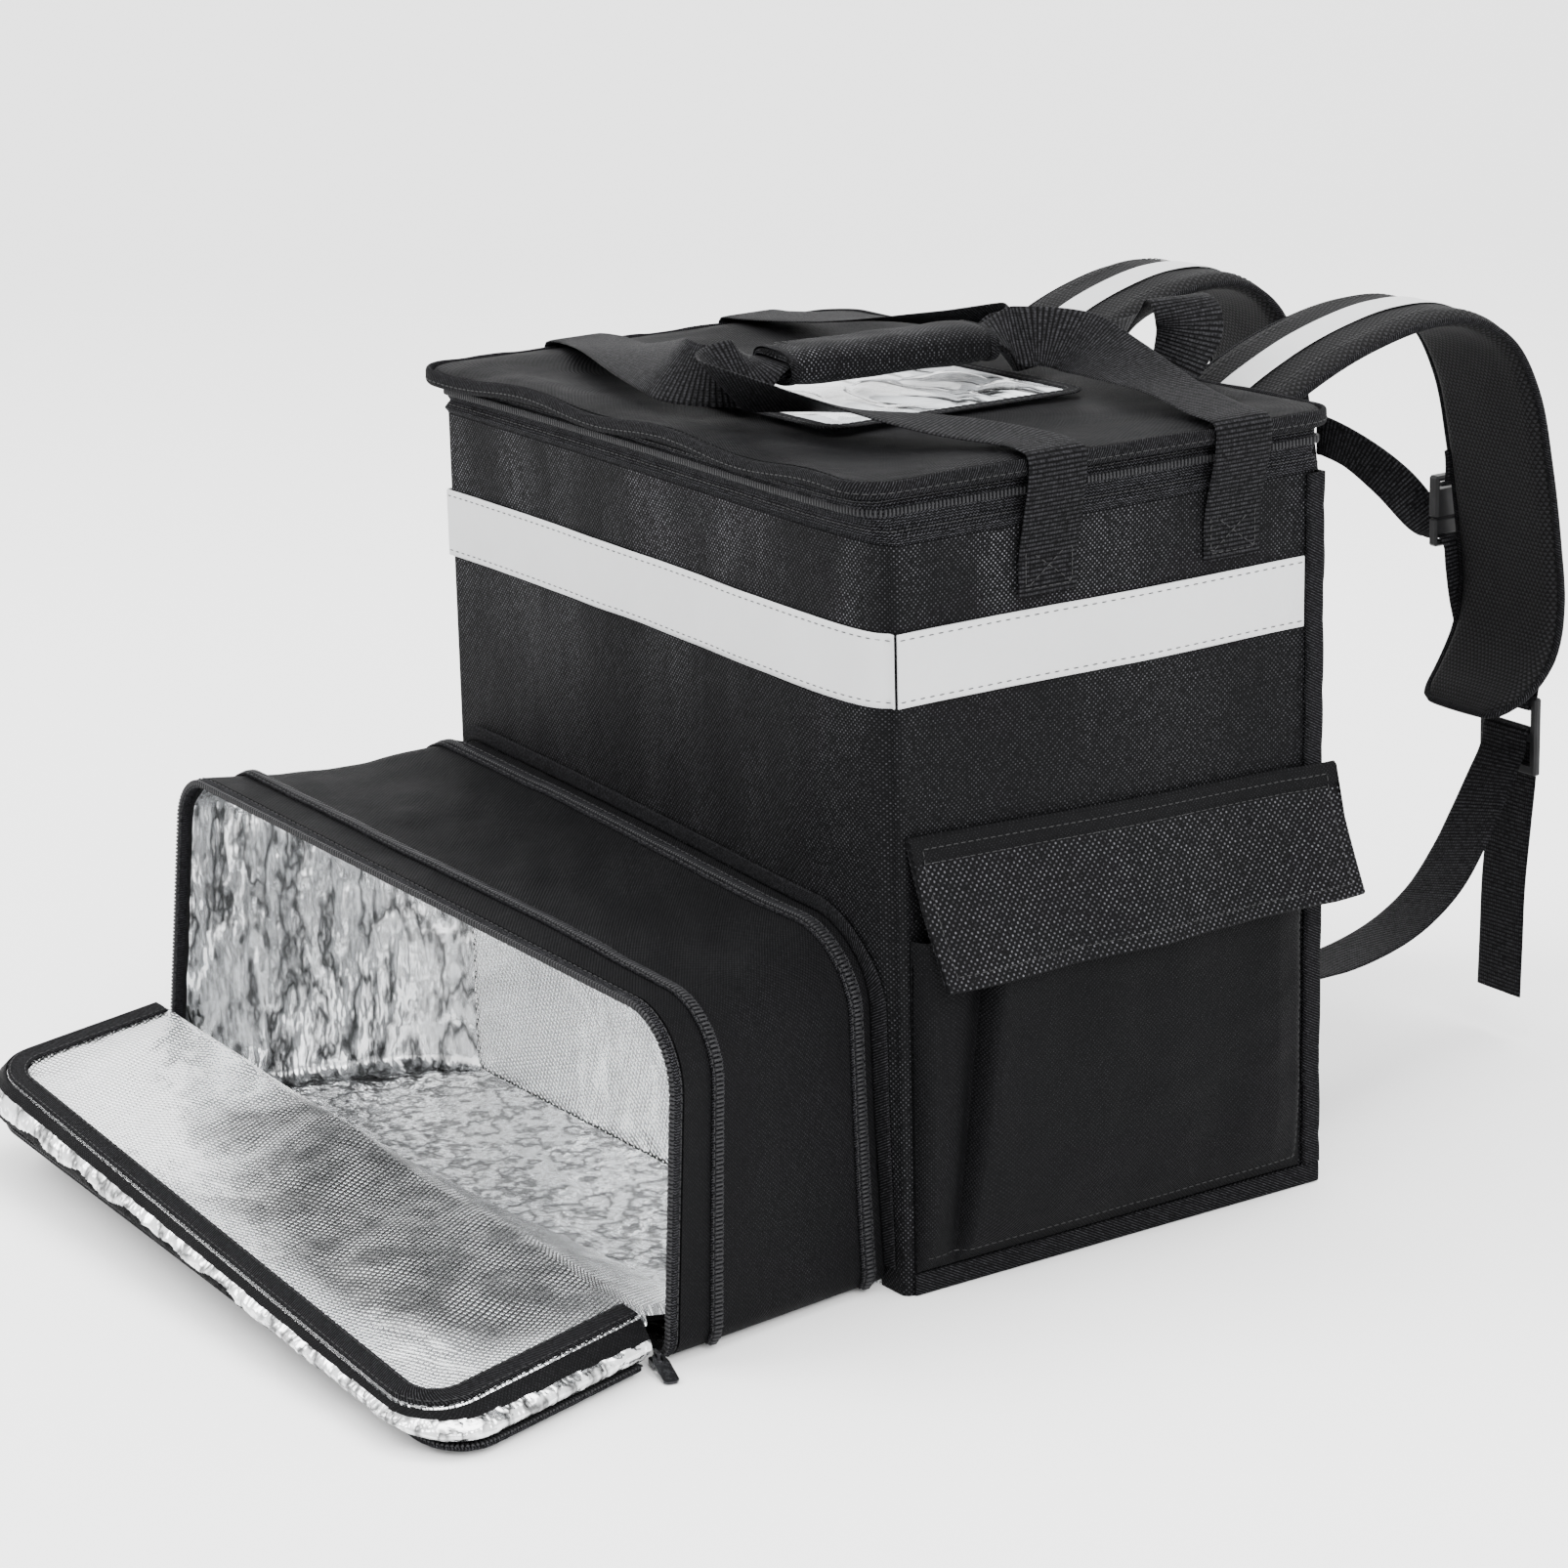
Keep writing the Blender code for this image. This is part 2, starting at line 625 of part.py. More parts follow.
def handle_leg(side, y_edge, end):
    """From the grip's mouth to the wall: x, y, z, the width's direction and the stacking."""
    mouth = GRIP_LENGTH / 2
    edge_x = lid_half()[0] + GAP + BINDING_THICKNESS + LAY + WEBBING_THICKNESS / 2
    wall_x = side_out(y_edge, HANDLE_END, WIDE_WEBBING) + LAY + WEBBING_THICKNESS / 2
    edge_z = float(lid_plane(side * edge_x, y_edge))
    over = edge_z + LID_PUFF + LAY + WEBBING_THICKNESS
    flat = -end * side
    low = -math.sin(HANDLE_BANK)
    twist = grip_point(end * (mouth + HANDLE_TWIST * 0.5), side * 0.002, HANDLE_DROP * 0.3)
    rows = [
        (*grip_point(end * (mouth - 0.006), 0, 0), 1, 0, 0, 1),
        (*grip_point(end * mouth, 0, 0), 1, 0, 0, 1),
        (*twist, 1, 0, low * 0.35, 1.6),
    ]
    reach = mouth + HANDLE_TWIST + HANDLE_TURN
    back = math.atan2(reach + end * (GRIP_Y - y_edge), edge_x - HANDLE_TURN)
    for share in (0, 0.25, 0.5, 0.75, 1):
        angle = (math.pi / 2 + back) * share
        ahead = mouth + HANDLE_TWIST + HANDLE_TURN * math.sin(angle)
        beside = side * (0.004 + HANDLE_TURN * (1 - math.cos(angle)))
        level = math.cos(HANDLE_BANK)
        width = (level * math.cos(angle), level * flat * math.sin(angle), low)
        rows.append((*grip_point(end * ahead, beside, HANDLE_DROP), *width, 2 * (1 - share)))
    far = np.array([side * (edge_x - 0.020), y_edge, over + 0.001])
    near = np.array(rows[-1][:3])
    for share, bank in ((0.22, 0.7), (0.44, 0.3), (0.70, 0.0)):
        x, y, z = near + (far - near) * share
        rows.append((x, y, z, 0, flat, low * bank, 0))
    steps = (
        (edge_x - 0.0200, over + 0.001), (edge_x - 0.0060, over), (edge_x - 0.0008, over - 0.0012),
        (edge_x + 0.0014, edge_z - 0.0010), (edge_x + 0.0012, edge_z - 0.0070),
        (edge_x + 0.0006, edge_z - 0.0130), (wall_x + 0.0020, BODY_HEIGHT - 0.006),
        (wall_x, BODY_HEIGHT - 0.018), (wall_x, HANDLE_END),
    )
    for x, z in steps:
        rows.append((side * x, y_edge, z, 0, flat, 0, 0))
    return rows


def handles():
    """Two webbing loops that run one over the other through the grip."""
    for name, side in (("handle_right", 1), ("handle_left", -1)):
        front = handle_leg(side, HANDLE_FRONT_Y, -1)
        back = handle_leg(side, HANDLE_BACK_Y, 1)
        middle = (*grip_point(0, 0, 0), 1, 0, 0, 1)
        points = spline(front[::-1] + [middle] + back, 0.030, 14.0)
        centre = points[:, :3]
        along, across, normal = frames(centre, points[:, 3:6])
        facing = np.where(normal[:, 2:3] < 0, -1, 1)
        shift = normal * facing * points[:, 6:7] * side * GRIP_STACK
        rings = strip_rings(centre + shift, across, normal, WIDE_WEBBING, WEBBING_THICKNESS)
        ring_solid(name, rings, "black_webbing", strap=True)


def superellipse(half_x, half_z, count, power=3.0):
    angles = np.linspace(0, 2 * math.pi, count, endpoint=False)
    cosine, sine = np.cos(angles), np.sin(angles)
    x = half_x * np.sign(cosine) * np.abs(cosine) ** (2 / power)
    z = half_z * np.sign(sine) * np.abs(sine) ** (2 / power)
    return x, z


def handle_grip():
    """The padded wrap: a flattened tube that the webbing runs through."""
    inner = superellipse(WIDE_WEBBING / 2 + 0.0025, GRIP_ROOM / 2, 16, 5.0)
    rings = []
    for share, size in ((-1, 0.86), (-0.93, 0.97), (0, 1.03), (0.93, 0.97), (1, 0.86)):
        x, z = superellipse(GRIP_WIDTH / 2, GRIP_HEIGHT / 2 * size, 16)
        rings.append([grip_point(share * GRIP_LENGTH / 2, a, b) for a, b in zip(x, z)])
    for share in (1, -1):
        rings.append([grip_point(share * GRIP_LENGTH / 2, a, b) for a, b in zip(*inner)])
    ring_solid("handle_grip", rings, "black_cloth", closed=True)


def grab_loop():
    """Webbing that rises behind the lid, turns on edge over the top and comes back down."""
    y = BODY_DEPTH / 2 + LAY + WEBBING_THICKNESS / 2
    rise = LOOP_TOP - LOOP_FOOT
    clear = lid_half()[1] + GAP + BINDING_THICKNESS + LAY + WEBBING_THICKNESS / 2
    rows = [
        (-1.00, y, 0.00, -1.0, 0.0), (-1.00, y + 0.001, 0.12, -1.0, 0.0),
        (-1.00, clear + 0.002, 0.30, -1.0, 0.0), (-0.97, clear + 0.005, 0.50, -1.0, 0.0),
        (-0.84, clear + 0.009, 0.62, -0.9, 0.15), (-0.40, clear + 0.018, 0.78, -0.6, 0.6),
        (0.25, clear + 0.024, 0.95, -0.1, 1.0),
        (0.78, clear + 0.020, 1.00, 0.3, 1.0), (1.20, clear + 0.016, 0.84, 0.7, 0.7),
        (1.24, clear + 0.006, 0.60, 1.0, 0.2), (1.12, clear + 0.002, 0.44, 1.0, 0.0),
        (1.00, clear + 0.001, 0.30, 1.0, 0.0), (0.98, y + 0.001, 0.12, 1.0, 0.0),
        (0.98, y, 0.00, 1.0, 0.0),
    ]
    route = [(LOOP_X + a * LOOP_SPREAD, b, LOOP_FOOT + c * rise, d, e, 0) for a, b, c, d, e in rows]
    strap_between("grab_loop", route, WIDE_WEBBING, WEBBING_THICKNESS, "black_webbing")


def side_pocket():
    """Pleated pocket, open at the top, its cloth standing off the right wall."""
    columns = (
        (0.000, 0.00), (0.018, 0.50), (0.050, 0.22), (0.085, 0.85), (0.120, 1.00), (0.300, 1.00),
        (0.500, 1.00), (0.700, 1.00), (0.900, 1.00), (0.965, 0.85), (1.000, 0.00),
    )
    rows = ((0.00, 0.0), (0.05, 0.45), (0.16, 0.85), (0.35, 1.0), (0.70, 1.0), (1.00, 1.0))
    table = np.array(columns)
    share, off = np.meshgrid(table[:, 0], [row[0] for row in rows], indexing="ij")
    depth = np.outer(table[:, 1], [row[1] for row in rows]) * POCKET_DEPTH
    z = POCKET_BOTTOM + off * (POCKET_TOP - POCKET_BOTTOM)
    lean = POCKET_SLANT * off * np.exp(-((share - 0.1) / 0.08) ** 2)
    y = POCKET_FRONT + share * (POCKET_BACK - POCKET_FRONT) + lean * (share > 0.03)
    along = BODY_DEPTH - 2 * BODY_CORNER
    place = np.clip(y / along + 0.5, 0, 1)
    seat = BODY_WIDTH / 2 + SIDE_BULGE * side_shape(place) * bulge_share(z) + LAY
    near = np.stack([seat + depth, y, z], axis=-1)
    far = np.stack([seat + depth + POCKET_CLOTH, y, z], axis=-1)
    sheet_solid("side_pocket", near, far, "black_cloth")


def side_flap():
    """The pocket's flap, sewn along its top and flared out at its lower edge."""
    columns = (0, 0.15, 0.32, 0.5, 0.68, 0.84, 0.915, 1)
    share, down = np.meshgrid(columns, (0, 0.16, 0.40, 0.70, 1.0), indexing="ij")
    top = FLAP_TOP_FRONT + (FLAP_TOP_BACK - FLAP_TOP_FRONT) * share
    z = top + (FLAP_BOTTOM - top) * down
    y = FLAP_FRONT + share * FLAP_LENGTH + FLAP_SLANT * down * (1 - share)
    wave = FLAP_WAVE * np.sin(5 * math.pi * share) * down
    along = BODY_DEPTH - 2 * BODY_CORNER
    place = np.clip((FLAP_FRONT + share * FLAP_LENGTH) / along + 0.5, 0, 1)
    over_tape = (TAPE_THICKNESS + GAP) * (share > 0.9)
    seat = BODY_WIDTH / 2 + SIDE_BULGE * side_shape(place) * bulge_share(top) + LAY + over_tape
    x = seat + FLAP_FLARE * down ** 1.3 + wave
    near = np.stack([x, y, z], axis=-1)
    far = np.stack([x + FLAP_THICKNESS, y, z + FLAP_THICKNESS * 0.3 * down], axis=-1)
    sheet_solid("side_flap", near, far, "black_cloth")


def quad_loop(corners, inset, skip=None):
    """Points round a four-cornered outline with round corners, given in its own plane.

    A skip leaves the bottom side open, with that many corner points left out at each end.
    """
    left_bottom, right_bottom, right_top, left_top = (np.array(c, float) for c in corners)
    width = np.linalg.norm(right_bottom - left_bottom)
    height = np.linalg.norm(right_top - right_bottom)
    low = SLEEVE_BOTTOM_CORNER - inset
    places = (
        (0, 0, low, 180), (1, 0, low, 270), (1, 1, SLEEVE_RIGHT_CORNER - inset, 0),
        (0, 1, SLEEVE_LEFT_CORNER - inset, 90),
    )
    flat = []
    for right, up, radius, start in places:
        centre_a = inset + radius if not right else width - inset - radius
        centre_b = inset + radius if not up else height - inset - radius
        for angle in np.radians(np.linspace(start, start + 90, 5)):
            flat.append((centre_a + radius * math.cos(angle), centre_b + radius * math.sin(angle)))
    filled = []
    segments = {4: 8, 9: 4, 14: 8, 19: 4}
    for number, point in enumerate(flat):
        filled.append(point)
        if number in segments:
            target = flat[(number + 1) % len(flat)]
            for share in np.linspace(0, 1, segments[number] + 1)[1:-1]:
                across = point[0] + (target[0] - point[0]) * share
                up = point[1] + (target[1] - point[1]) * share
                filled.append((across, up))
    filled = np.array(filled)
    if skip is not None:
        first = 4 + segments[4]
        last = len(filled) - segments[4] + 1
        filled = np.roll(filled, -first, axis=0)[skip:last - skip]
    a = (filled[:, 0] / width)[:, None]
    b = (filled[:, 1] / height)[:, None]
    bottom = left_bottom + (right_bottom - left_bottom) * a
    top = left_top + (right_top - left_top) * a
    return bottom + (top - bottom) * b


def sleeve_loop(station, inset=0.0, skip=None, forward=0.0):
    """The front compartment's outline: station 0 at the front wall, 1 at its mouth."""
    y = -BODY_DEPTH / 2
    back = (
        (SLEEVE_BACK_LEFT, y, SLEEVE_LIFT), (SLEEVE_BACK_RIGHT, y, SLEEVE_LIFT),
        (SLEEVE_BACK_RIGHT, y, SLEEVE_BACK_HEIGHT_RIGHT),
        (SLEEVE_BACK_LEFT, y, SLEEVE_BACK_HEIGHT_LEFT),
    )
    mouth = (MOUTH_LEFT_BOTTOM, MOUTH_RIGHT_BOTTOM, MOUTH_RIGHT_TOP, MOUTH_LEFT_TOP)
    start = quad_loop(back, inset, skip)
    end = quad_loop(mouth, inset, skip)
    share = (start[:, 0] + BODY_WIDTH / 2 - BODY_CORNER) / (BODY_WIDTH - 2 * BODY_CORNER)
    seat = wall("front", np.clip(share, 0, 1), start[:, 2])
    start[:, 1] = seat[:, 1] - 3 * GAP
    loop = start + (end - start) * station
    swell = math.sin(math.pi * station)
    loop[:, 2] -= SLEEVE_SAG * swell * np.clip(start[:, 2] / SLEEVE_BACK_HEIGHT_RIGHT, 0, 1)
    early = 1 - (1 - min(station / 0.30, 1)) ** 2
    leftness = np.clip((-start[:, 0] / BODY_WIDTH * 2 - 0.8) / 0.2, 0, 1)
    loop[:, 0] -= SLEEVE_LEFT_SPREAD * leftness * early * (1 - station)
    loop[:, 1] -= forward
    return loop


def front_sleeve():
    """The padded sleeve of the front compartment, open in front."""
    rings = [sleeve_loop(station) for station in SLEEVE_STATIONS]
    rings += [sleeve_loop(station, SLEEVE_WALL) for station in (1.0, 0.55, 0.12, 0.0)]
    ring_solid("front_sleeve", rings, "black_cloth", closed=True)


def strip_from_loops(name, loops, colour):
    """A strip whose sections take one point from each loop, in order."""
    ring_solid(name, np.stack(loops, axis=1), colour)


def sleeve_zips():
    """The zip lines that run up, over and down round the sleeve."""
    for name, first, last in (("expansion_zip", 0.05, 0.12), ("seam_zip", 0.80, 0.86)):
        low, high = -LAY, -LAY - ZIP_PROUD
        loops = [
            sleeve_loop(first, low, 2), sleeve_loop(last, low, 2),
            sleeve_loop(last, high, 2), sleeve_loop(first, high, 2),
        ]
        strip_from_loops(name, loops, "zip_black")
    front, back = GAP + OPENING_ZIP_DEPTH, GAP
    loops = [
        sleeve_loop(1, 0, 1, back), sleeve_loop(1, 0, 1, front),
        sleeve_loop(1, SLEEVE_WALL - GAP, 1, front), sleeve_loop(1, SLEEVE_WALL - GAP, 1, back),
    ]
    strip_from_loops("opening_zip", loops, "zip_black")


def expansion_tape():
    """Ribbed tape on the front wall, over the sleeve and down its right side."""
    loops = []
    for out, proud in ((0.0012, 0), (EXPANSION_TAPE_WIDTH, 0), (EXPANSION_TAPE_WIDTH, 1), (0.0012, 1)):
        loop = sleeve_loop(0, -out, 4)
        share = (loop[:, 0] + BODY_WIDTH / 2 - BODY_CORNER) / (BODY_WIDTH - 2 * BODY_CORNER)
        seat = wall("front", np.clip(share, 0, 1), loop[:, 2])
        loop[:, 1] = seat[:, 1] - 2 * LAY - proud * TAPE_THICKNESS
        inside = np.linspace(0, 1, len(loop))
        loops.append(loop[inside < 0.72])
    strip_from_loops("expansion_tape", loops, "black_tape")


def bilinear(corners, a, b):
    """Hinge left, hinge right, front left, front right, at shares a across and b forward."""
    hinge_left, hinge_right, front_left, front_right = (np.array(c) for c in corners)
    a, b = np.asarray(a)[..., None], np.asarray(b)[..., None]
    hinge = hinge_left + (hinge_right - hinge_left) * a
    front = front_left + (front_right - front_left) * a
    return hinge + (front - hinge) * b


PANEL_CORNERS = (PANEL_HINGE_LEFT, PANEL_HINGE_RIGHT, PANEL_FRONT_LEFT, PANEL_FRONT_RIGHT)
ZIP_CORNERS = (ZIP_HINGE_LEFT, ZIP_HINGE_RIGHT, ZIP_FRONT_LEFT, ZIP_FRONT_RIGHT)


def panel_size():
    """Nominal width and reach of the panel, from its corners."""
    corners = np.array(PANEL_CORNERS)
    width = np.linalg.norm(corners[1] - corners[0])
    reach = np.linalg.norm(corners[3] - corners[1])
    return width, reach


def panel_edge(corners, outset, side_points=5, corner_points=4, front_points=12, start=0.0):
    """The panel's three free sides, left, front and right, pushed out by a distance."""
    width, reach = panel_size()
    radius = PANEL_CORNER + outset
    inner = PANEL_CORNER
    flat = [(-outset, b) for b in np.linspace(start, reach - inner, side_points)]
    for angle in np.radians(np.linspace(180, 90, corner_points + 2)[1:-1]):
        flat.append((inner + radius * math.cos(angle), reach - inner + radius * math.sin(angle)))
    flat += [(a, reach + outset) for a in np.linspace(inner, width - inner, front_points)]
    for angle in np.radians(np.linspace(90, 0, corner_points + 2)[1:-1]):
        flat.append((width - inner + radius * math.cos(angle), reach - inner + radius * math.sin(angle)))
    flat += [(width + outset, b) for b in np.linspace(reach - inner, start, side_points)]
    flat = np.array(flat)
    return bilinear(corners, flat[:, 0] / width, flat[:, 1] / reach)


def front_panel():
    """The padded panel, foil side up, with a tongue that is sewn down inside the sleeve."""
    width, reach = panel_size()
    rows = [(-PANEL_TONGUE, 1), (-PANEL_TONGUE * 0.5, 1), (-0.006, 1), (0.004, 0)]
    rows += [(b, 0) for b in np.array((0.35, 0.7, 1.0)) * (reach - PANEL_CORNER)]
    for angle in np.radians((22, 45, 68, 84)):
        rows.append((reach - PANEL_CORNER + PANEL_CORNER * math.sin(angle), 0))
    across = np.linspace(0, 1, 12)
    near, far = [], []
    for b, tongue in rows:
        beyond = max(b - (reach - PANEL_CORNER), 0)
        round_in = PANEL_CORNER - math.sqrt(max(PANEL_CORNER ** 2 - beyond ** 2, 0))
        left = PANEL_TONGUE_INSET_LEFT if tongue else round_in
        right = PANEL_TONGUE_INSET_RIGHT if tongue else round_in
        a = (left + (width - left - right) * across) / width
        top = bilinear(PANEL_CORNERS, a, np.full(across.shape, b / reach))
        if tongue:
            down = min(-b / PANEL_TONGUE, 1)
            floor = SLEEVE_LIFT + SLEEVE_WALL + GAP * 2 + PANEL_THICKNESS
            top[:, 2] += (floor - top[:, 2]) * down ** 0.8
        far.append(top)
        near.append(top - (0, 0, PANEL_THICKNESS))
    sheet_solid("front_panel", np.array(near), np.array(far), "foil")


def panel_binding():
    """Twill tape on the panel's three free edges."""
    loops = []
    for outset, high in ((-PANEL_TAPE_WIDTH, 0), (-GAP, 0), (-GAP, 1), (-PANEL_TAPE_WIDTH, 1)):
        loop = panel_edge(PANEL_CORNERS, outset, start=0.008)
        loop[:, 2] += LAY + high * PANEL_TAPE_THICKNESS
        loops.append(loop)
    strip_from_loops("panel_binding", loops, "black_tape")


def panel_gusset():
    """The strip of lining and shell that hangs from the panel's edge down to its zip."""
    top = panel_edge(PANEL_CORNERS, GUSSET_CLEAR + GUSSET_THICKNESS, start=0.008)
    low = panel_edge(ZIP_CORNERS, -PANEL_ZIP_WIDTH * 0.5, start=0.008)
    low[:, 2] += PANEL_ZIP_THICKNESS / 2 + GAP
    outward = panel_edge(PANEL_CORNERS, 0.02, start=0.008) - top
    outward[:, 2] = 0
    outward = unit(outward)
    ruffle = GUSSET_RUFFLE * (1 + np.sin(np.arange(len(top)) * 1.9))[:, None]
    lines = []
    for share, bulge, ruffled in ((0, 0.0, 0), (0.45, 1.0, 1), (0.8, 0.6, 1), (1, 0.0, 0)):
        lines.append(top + (low - top) * share + outward * (GUSSET_BULGE * bulge + ruffle * ruffled))
    near = np.stack(lines, axis=1)
    far = near - outward[:, None, :] * GUSSET_THICKNESS
    sheet_solid("panel_gusset", near, far, "foil")


def panel_zip():
    """The loose zip half along the gusset's outer edge."""
    loops = []
    for outset, high in ((-PANEL_ZIP_WIDTH, -1), (0, -1), (0, 1), (-PANEL_ZIP_WIDTH, 1)):
        loop = panel_edge(ZIP_CORNERS, outset, start=0.008)
        loop[:, 2] += high * PANEL_ZIP_THICKNESS / 2
        loops.append(loop)
    strip_from_loops("panel_zip", loops, "zip_black")


def box(name, size, colour, bevel=0.0):
    """A centred block, bevelled on all its edges."""
    bm = bmesh.new()
    bmesh.ops.create_cube(bm, size=1.0)
    bmesh.ops.scale(bm, vec=size, verts=bm.verts)
    if bevel:
        bmesh.ops.bevel(bm, geom=bm.edges, offset=bevel, segments=1, affect="EDGES", profile=0.5)
    return add_object(name, bm, colour)


def boolean(target, tool, operation):
    """Apply one exact Boolean from a hidden guide object."""
    tool.hide_render = True
    tool.display_type = "WIRE"
    step = target.modifiers.new(tool.name, "BOOLEAN")
    step.operation = operation
    step.solver = "EXACT"
    step.object = tool


def slider_frame():
    """Centre of the slider and its direction in plan."""
    direction = (math.cos(SLIDER_TURN), math.sin(SLIDER_TURN))
    return SLIDER_X, SLIDER_Y, direction


def zip_slider():
    """Slider body with the bridge that carries the tab's pin."""
    x, y, _ = slider_frame()
    body = box("zip_slider", (SLIDER_LENGTH, SLIDER_WIDTH, SLIDER_HEIGHT), "dark_metal", 0.0006)
    body.location = (x, y, SLIDER_LIFT + SLIDER_HEIGHT / 2)
    body.rotation_euler = (0, 0, SLIDER_TURN)
    root = 0.0008
    height = BRIDGE_WINDOW + BRIDGE_BAR + root
    bridge = box("bridge_guide", (BRIDGE_LENGTH, BRIDGE_WIDTH, height), "dark_metal")
    bridge.location = (x, y, SLIDER_LIFT + SLIDER_HEIGHT - root + height / 2)
    bridge.rotation_euler = (0, 0, SLIDER_TURN)
    boolean(body, bridge, "UNION")
    window_size = (BRIDGE_LENGTH - 2 * BRIDGE_BAR, BRIDGE_WIDTH * 2, BRIDGE_WINDOW)
    hole = box("bridge_hole_guide", window_size, "dark_metal")
    hole.location = (x, y, SLIDER_LIFT + SLIDER_HEIGHT + BRIDGE_WINDOW / 2 + 0.00005)
    hole.rotation_euler = (0, 0, SLIDER_TURN)
    boolean(body, hole, "DIFFERENCE")


def tab_pivot():
    """The pin's axis runs across the slider, inside the bridge's window."""
    x, y, (ahead_x, ahead_y) = slider_frame()
    reach = BRIDGE_LENGTH / 2 - BRIDGE_BAR - TAB_PIN / 2 - 1.5 * GAP
    height = SLIDER_LIFT + SLIDER_HEIGHT + BRIDGE_WINDOW - TAB_THICKNESS / 2 - GAP
    return x + ahead_x * reach, y + ahead_y * reach, height


def pull_tab():
    """A flat metal tab with an eye; its pin end sits in the bridge and it leans on the floor."""
    pivot = tab_pivot()
    drop = pivot[2] - TAB_THICKNESS / 2 - GAP
    tilt = math.asin(drop / TAB_LENGTH)
    half = TAB_WIDTH / 2
    eye_half = BRIDGE_WIDTH / 2 + 0.0006
    start, end = -TAB_PIN / 2, TAB_LENGTH
    eye_end = TAB_PIN / 2 + TAB_EYE_LENGTH
    cut = TAB_WIDTH / 5
    outer = [
        (start, -half * 0.62), (eye_end * 0.5, -half * 0.8), (eye_end, -half), (end - cut, -half),
        (end, -half + cut), (end, half - cut), (end - cut, half), (eye_end, half),
        (eye_end * 0.5, half * 0.8), (start, half * 0.62),
    ]
    inner = [
        (TAB_PIN / 2, -eye_half), (eye_end * 0.5, -eye_half), (eye_end * 0.8, -eye_half),
        (eye_end, -eye_half * 0.8), (eye_end, -eye_half * 0.3), (eye_end, eye_half * 0.3),
        (eye_end, eye_half * 0.8), (eye_end * 0.8, eye_half), (eye_end * 0.5, eye_half),
        (TAB_PIN / 2, eye_half),
    ]
    low, high = -TAB_THICKNESS / 2, TAB_THICKNESS / 2
    rings = [
        [(a, b, low) for a, b in outer], [(a, b, high) for a, b in outer],
        [(a, b, high) for a, b in inner], [(a, b, low) for a, b in inner],
    ]
    tab = ring_solid("pull_tab", rings, "dark_metal", closed=True)
    tab.location = pivot
    tab.rotation_mode = "XYZ"
    tab.rotation_euler = (0, tilt, SLIDER_TURN)


def reach_back(y, side):
    """The left strap and its webbing hang nearer to the back than the right ones."""
    back = BODY_DEPTH / 2
    away = np.asarray(y, float) - back
    grown = np.clip((away - STRAP_CLOSE) / STRAP_CLOSE, 0, 1)
    pulled = away * (1 - STRAP_REACH_LEFT) * grown
    return back + away - (pulled if side < 0 else 0 * pulled)


def strap_path(side):
    """Centre line and directions of one shoulder strap, with each point's share of its length."""
    route = [(0.0, reach_back(y, side), z) for y, z in STRAP_ROUTE]
    flat = spline(route, 0.036, 17.0)
    run = np.concatenate([[0.0], np.cumsum(np.linalg.norm(np.diff(flat, axis=0), axis=1))])
    flat[:, 0] = side * STRAP_X
    across = np.tile((1.0, 0.0, 0.0), (len(flat), 1))
    return flat, *frames(flat, across), run / run[-1]


def strap_widths(share):
    """Full width nearly all along, rounded off at the lower end."""
    left = np.clip((share - STRAP_ROUND_FROM) / (1 - STRAP_ROUND_FROM), 0, 1)
    return STRAP_WIDTH * (STRAP_TIP + (1 - STRAP_TIP) * np.sqrt(1 - left ** 2))


def shoulder_strap(name, side):
    """Padded strap with rounded edges and its reflective stripe on the outer face."""
    centre, _, across, normal, share = strap_path(side)
    half = (strap_widths(share) / 2)[:, None]
    t = STRAP_THICKNESS / 2
    section = (
        (-1, 0, -0.5), (-1, 1, -1), (1, -1, -1), (1, 0, -0.5), (1, 0, 0.5), (1, -1, 1), (-1, 1, 1),
        (-1, 0, 0.5),
    )
    points = [
        centre + across * (half * edge + STRAP_EDGE * step) + normal * (t * up)
        for edge, step, up in section
    ]
    ring_solid(name, np.stack(points, axis=1), "strap_mesh")
    out = t + LAY + STRAP_STRIPE_THICKNESS / 2
    part = (share > STRIPE_FROM) & (share < STRIPE_TO)
    middle = centre[part] - normal[part] * out
    rings = strip_rings(middle, across[part], normal[part], STRAP_STRIPE_WIDTH, STRAP_STRIPE_THICKNESS)
    ring_solid(name.replace("shoulder_strap", "strap_stripe"), rings, "reflective_grey")


def lower_webbing(name, side):
    """From the back panel up to the ladder lock, over its bar, and down as a free tail."""
    rows = mirrored(LOWER_ROUTE, side)
    rows[:, 1] = reach_back(rows[:, 1], side)
    rows = np.column_stack([rows, np.tile((1.0, 0.0, 0.0), (len(rows), 1))])
    strap_between(name, rows, WIDE_WEBBING, WEBBING_THICKNESS, "black_webbing")


def ladder_lock(name, side):
    """Plastic adjuster: a plate with an upper and a lower slot."""
    plate = box(name, (LOCK_WIDTH, LOCK_THICKNESS, LOCK_HEIGHT), "black_plastic", 0.0012)
    centre = LOCK_TOP - LOCK_HEIGHT / 2
    plate.location = (side * LOCK_X, reach_back(LOCK_Y, side), centre)
    slot_width = WIDE_WEBBING + 0.002
    upper_top = LOCK_TOP - LOCK_BAR
    lower_top = upper_top - LOCK_UPPER_SLOT - LOCK_BAR
    lower_end = LOCK_TOP - LOCK_HEIGHT + LOCK_BAR
    slots = ((upper_top, upper_top - LOCK_UPPER_SLOT), (lower_top, lower_end))
    for number, (top, bottom) in enumerate(slots):
        slot = box(f"{name}_slot_{number}", (slot_width, LOCK_THICKNESS * 3, top - bottom), "black_plastic")
        slot.location = (side * LOCK_X, reach_back(LOCK_Y, side), (top + bottom) / 2)
        boolean(plate, slot, "DIFFERENCE")


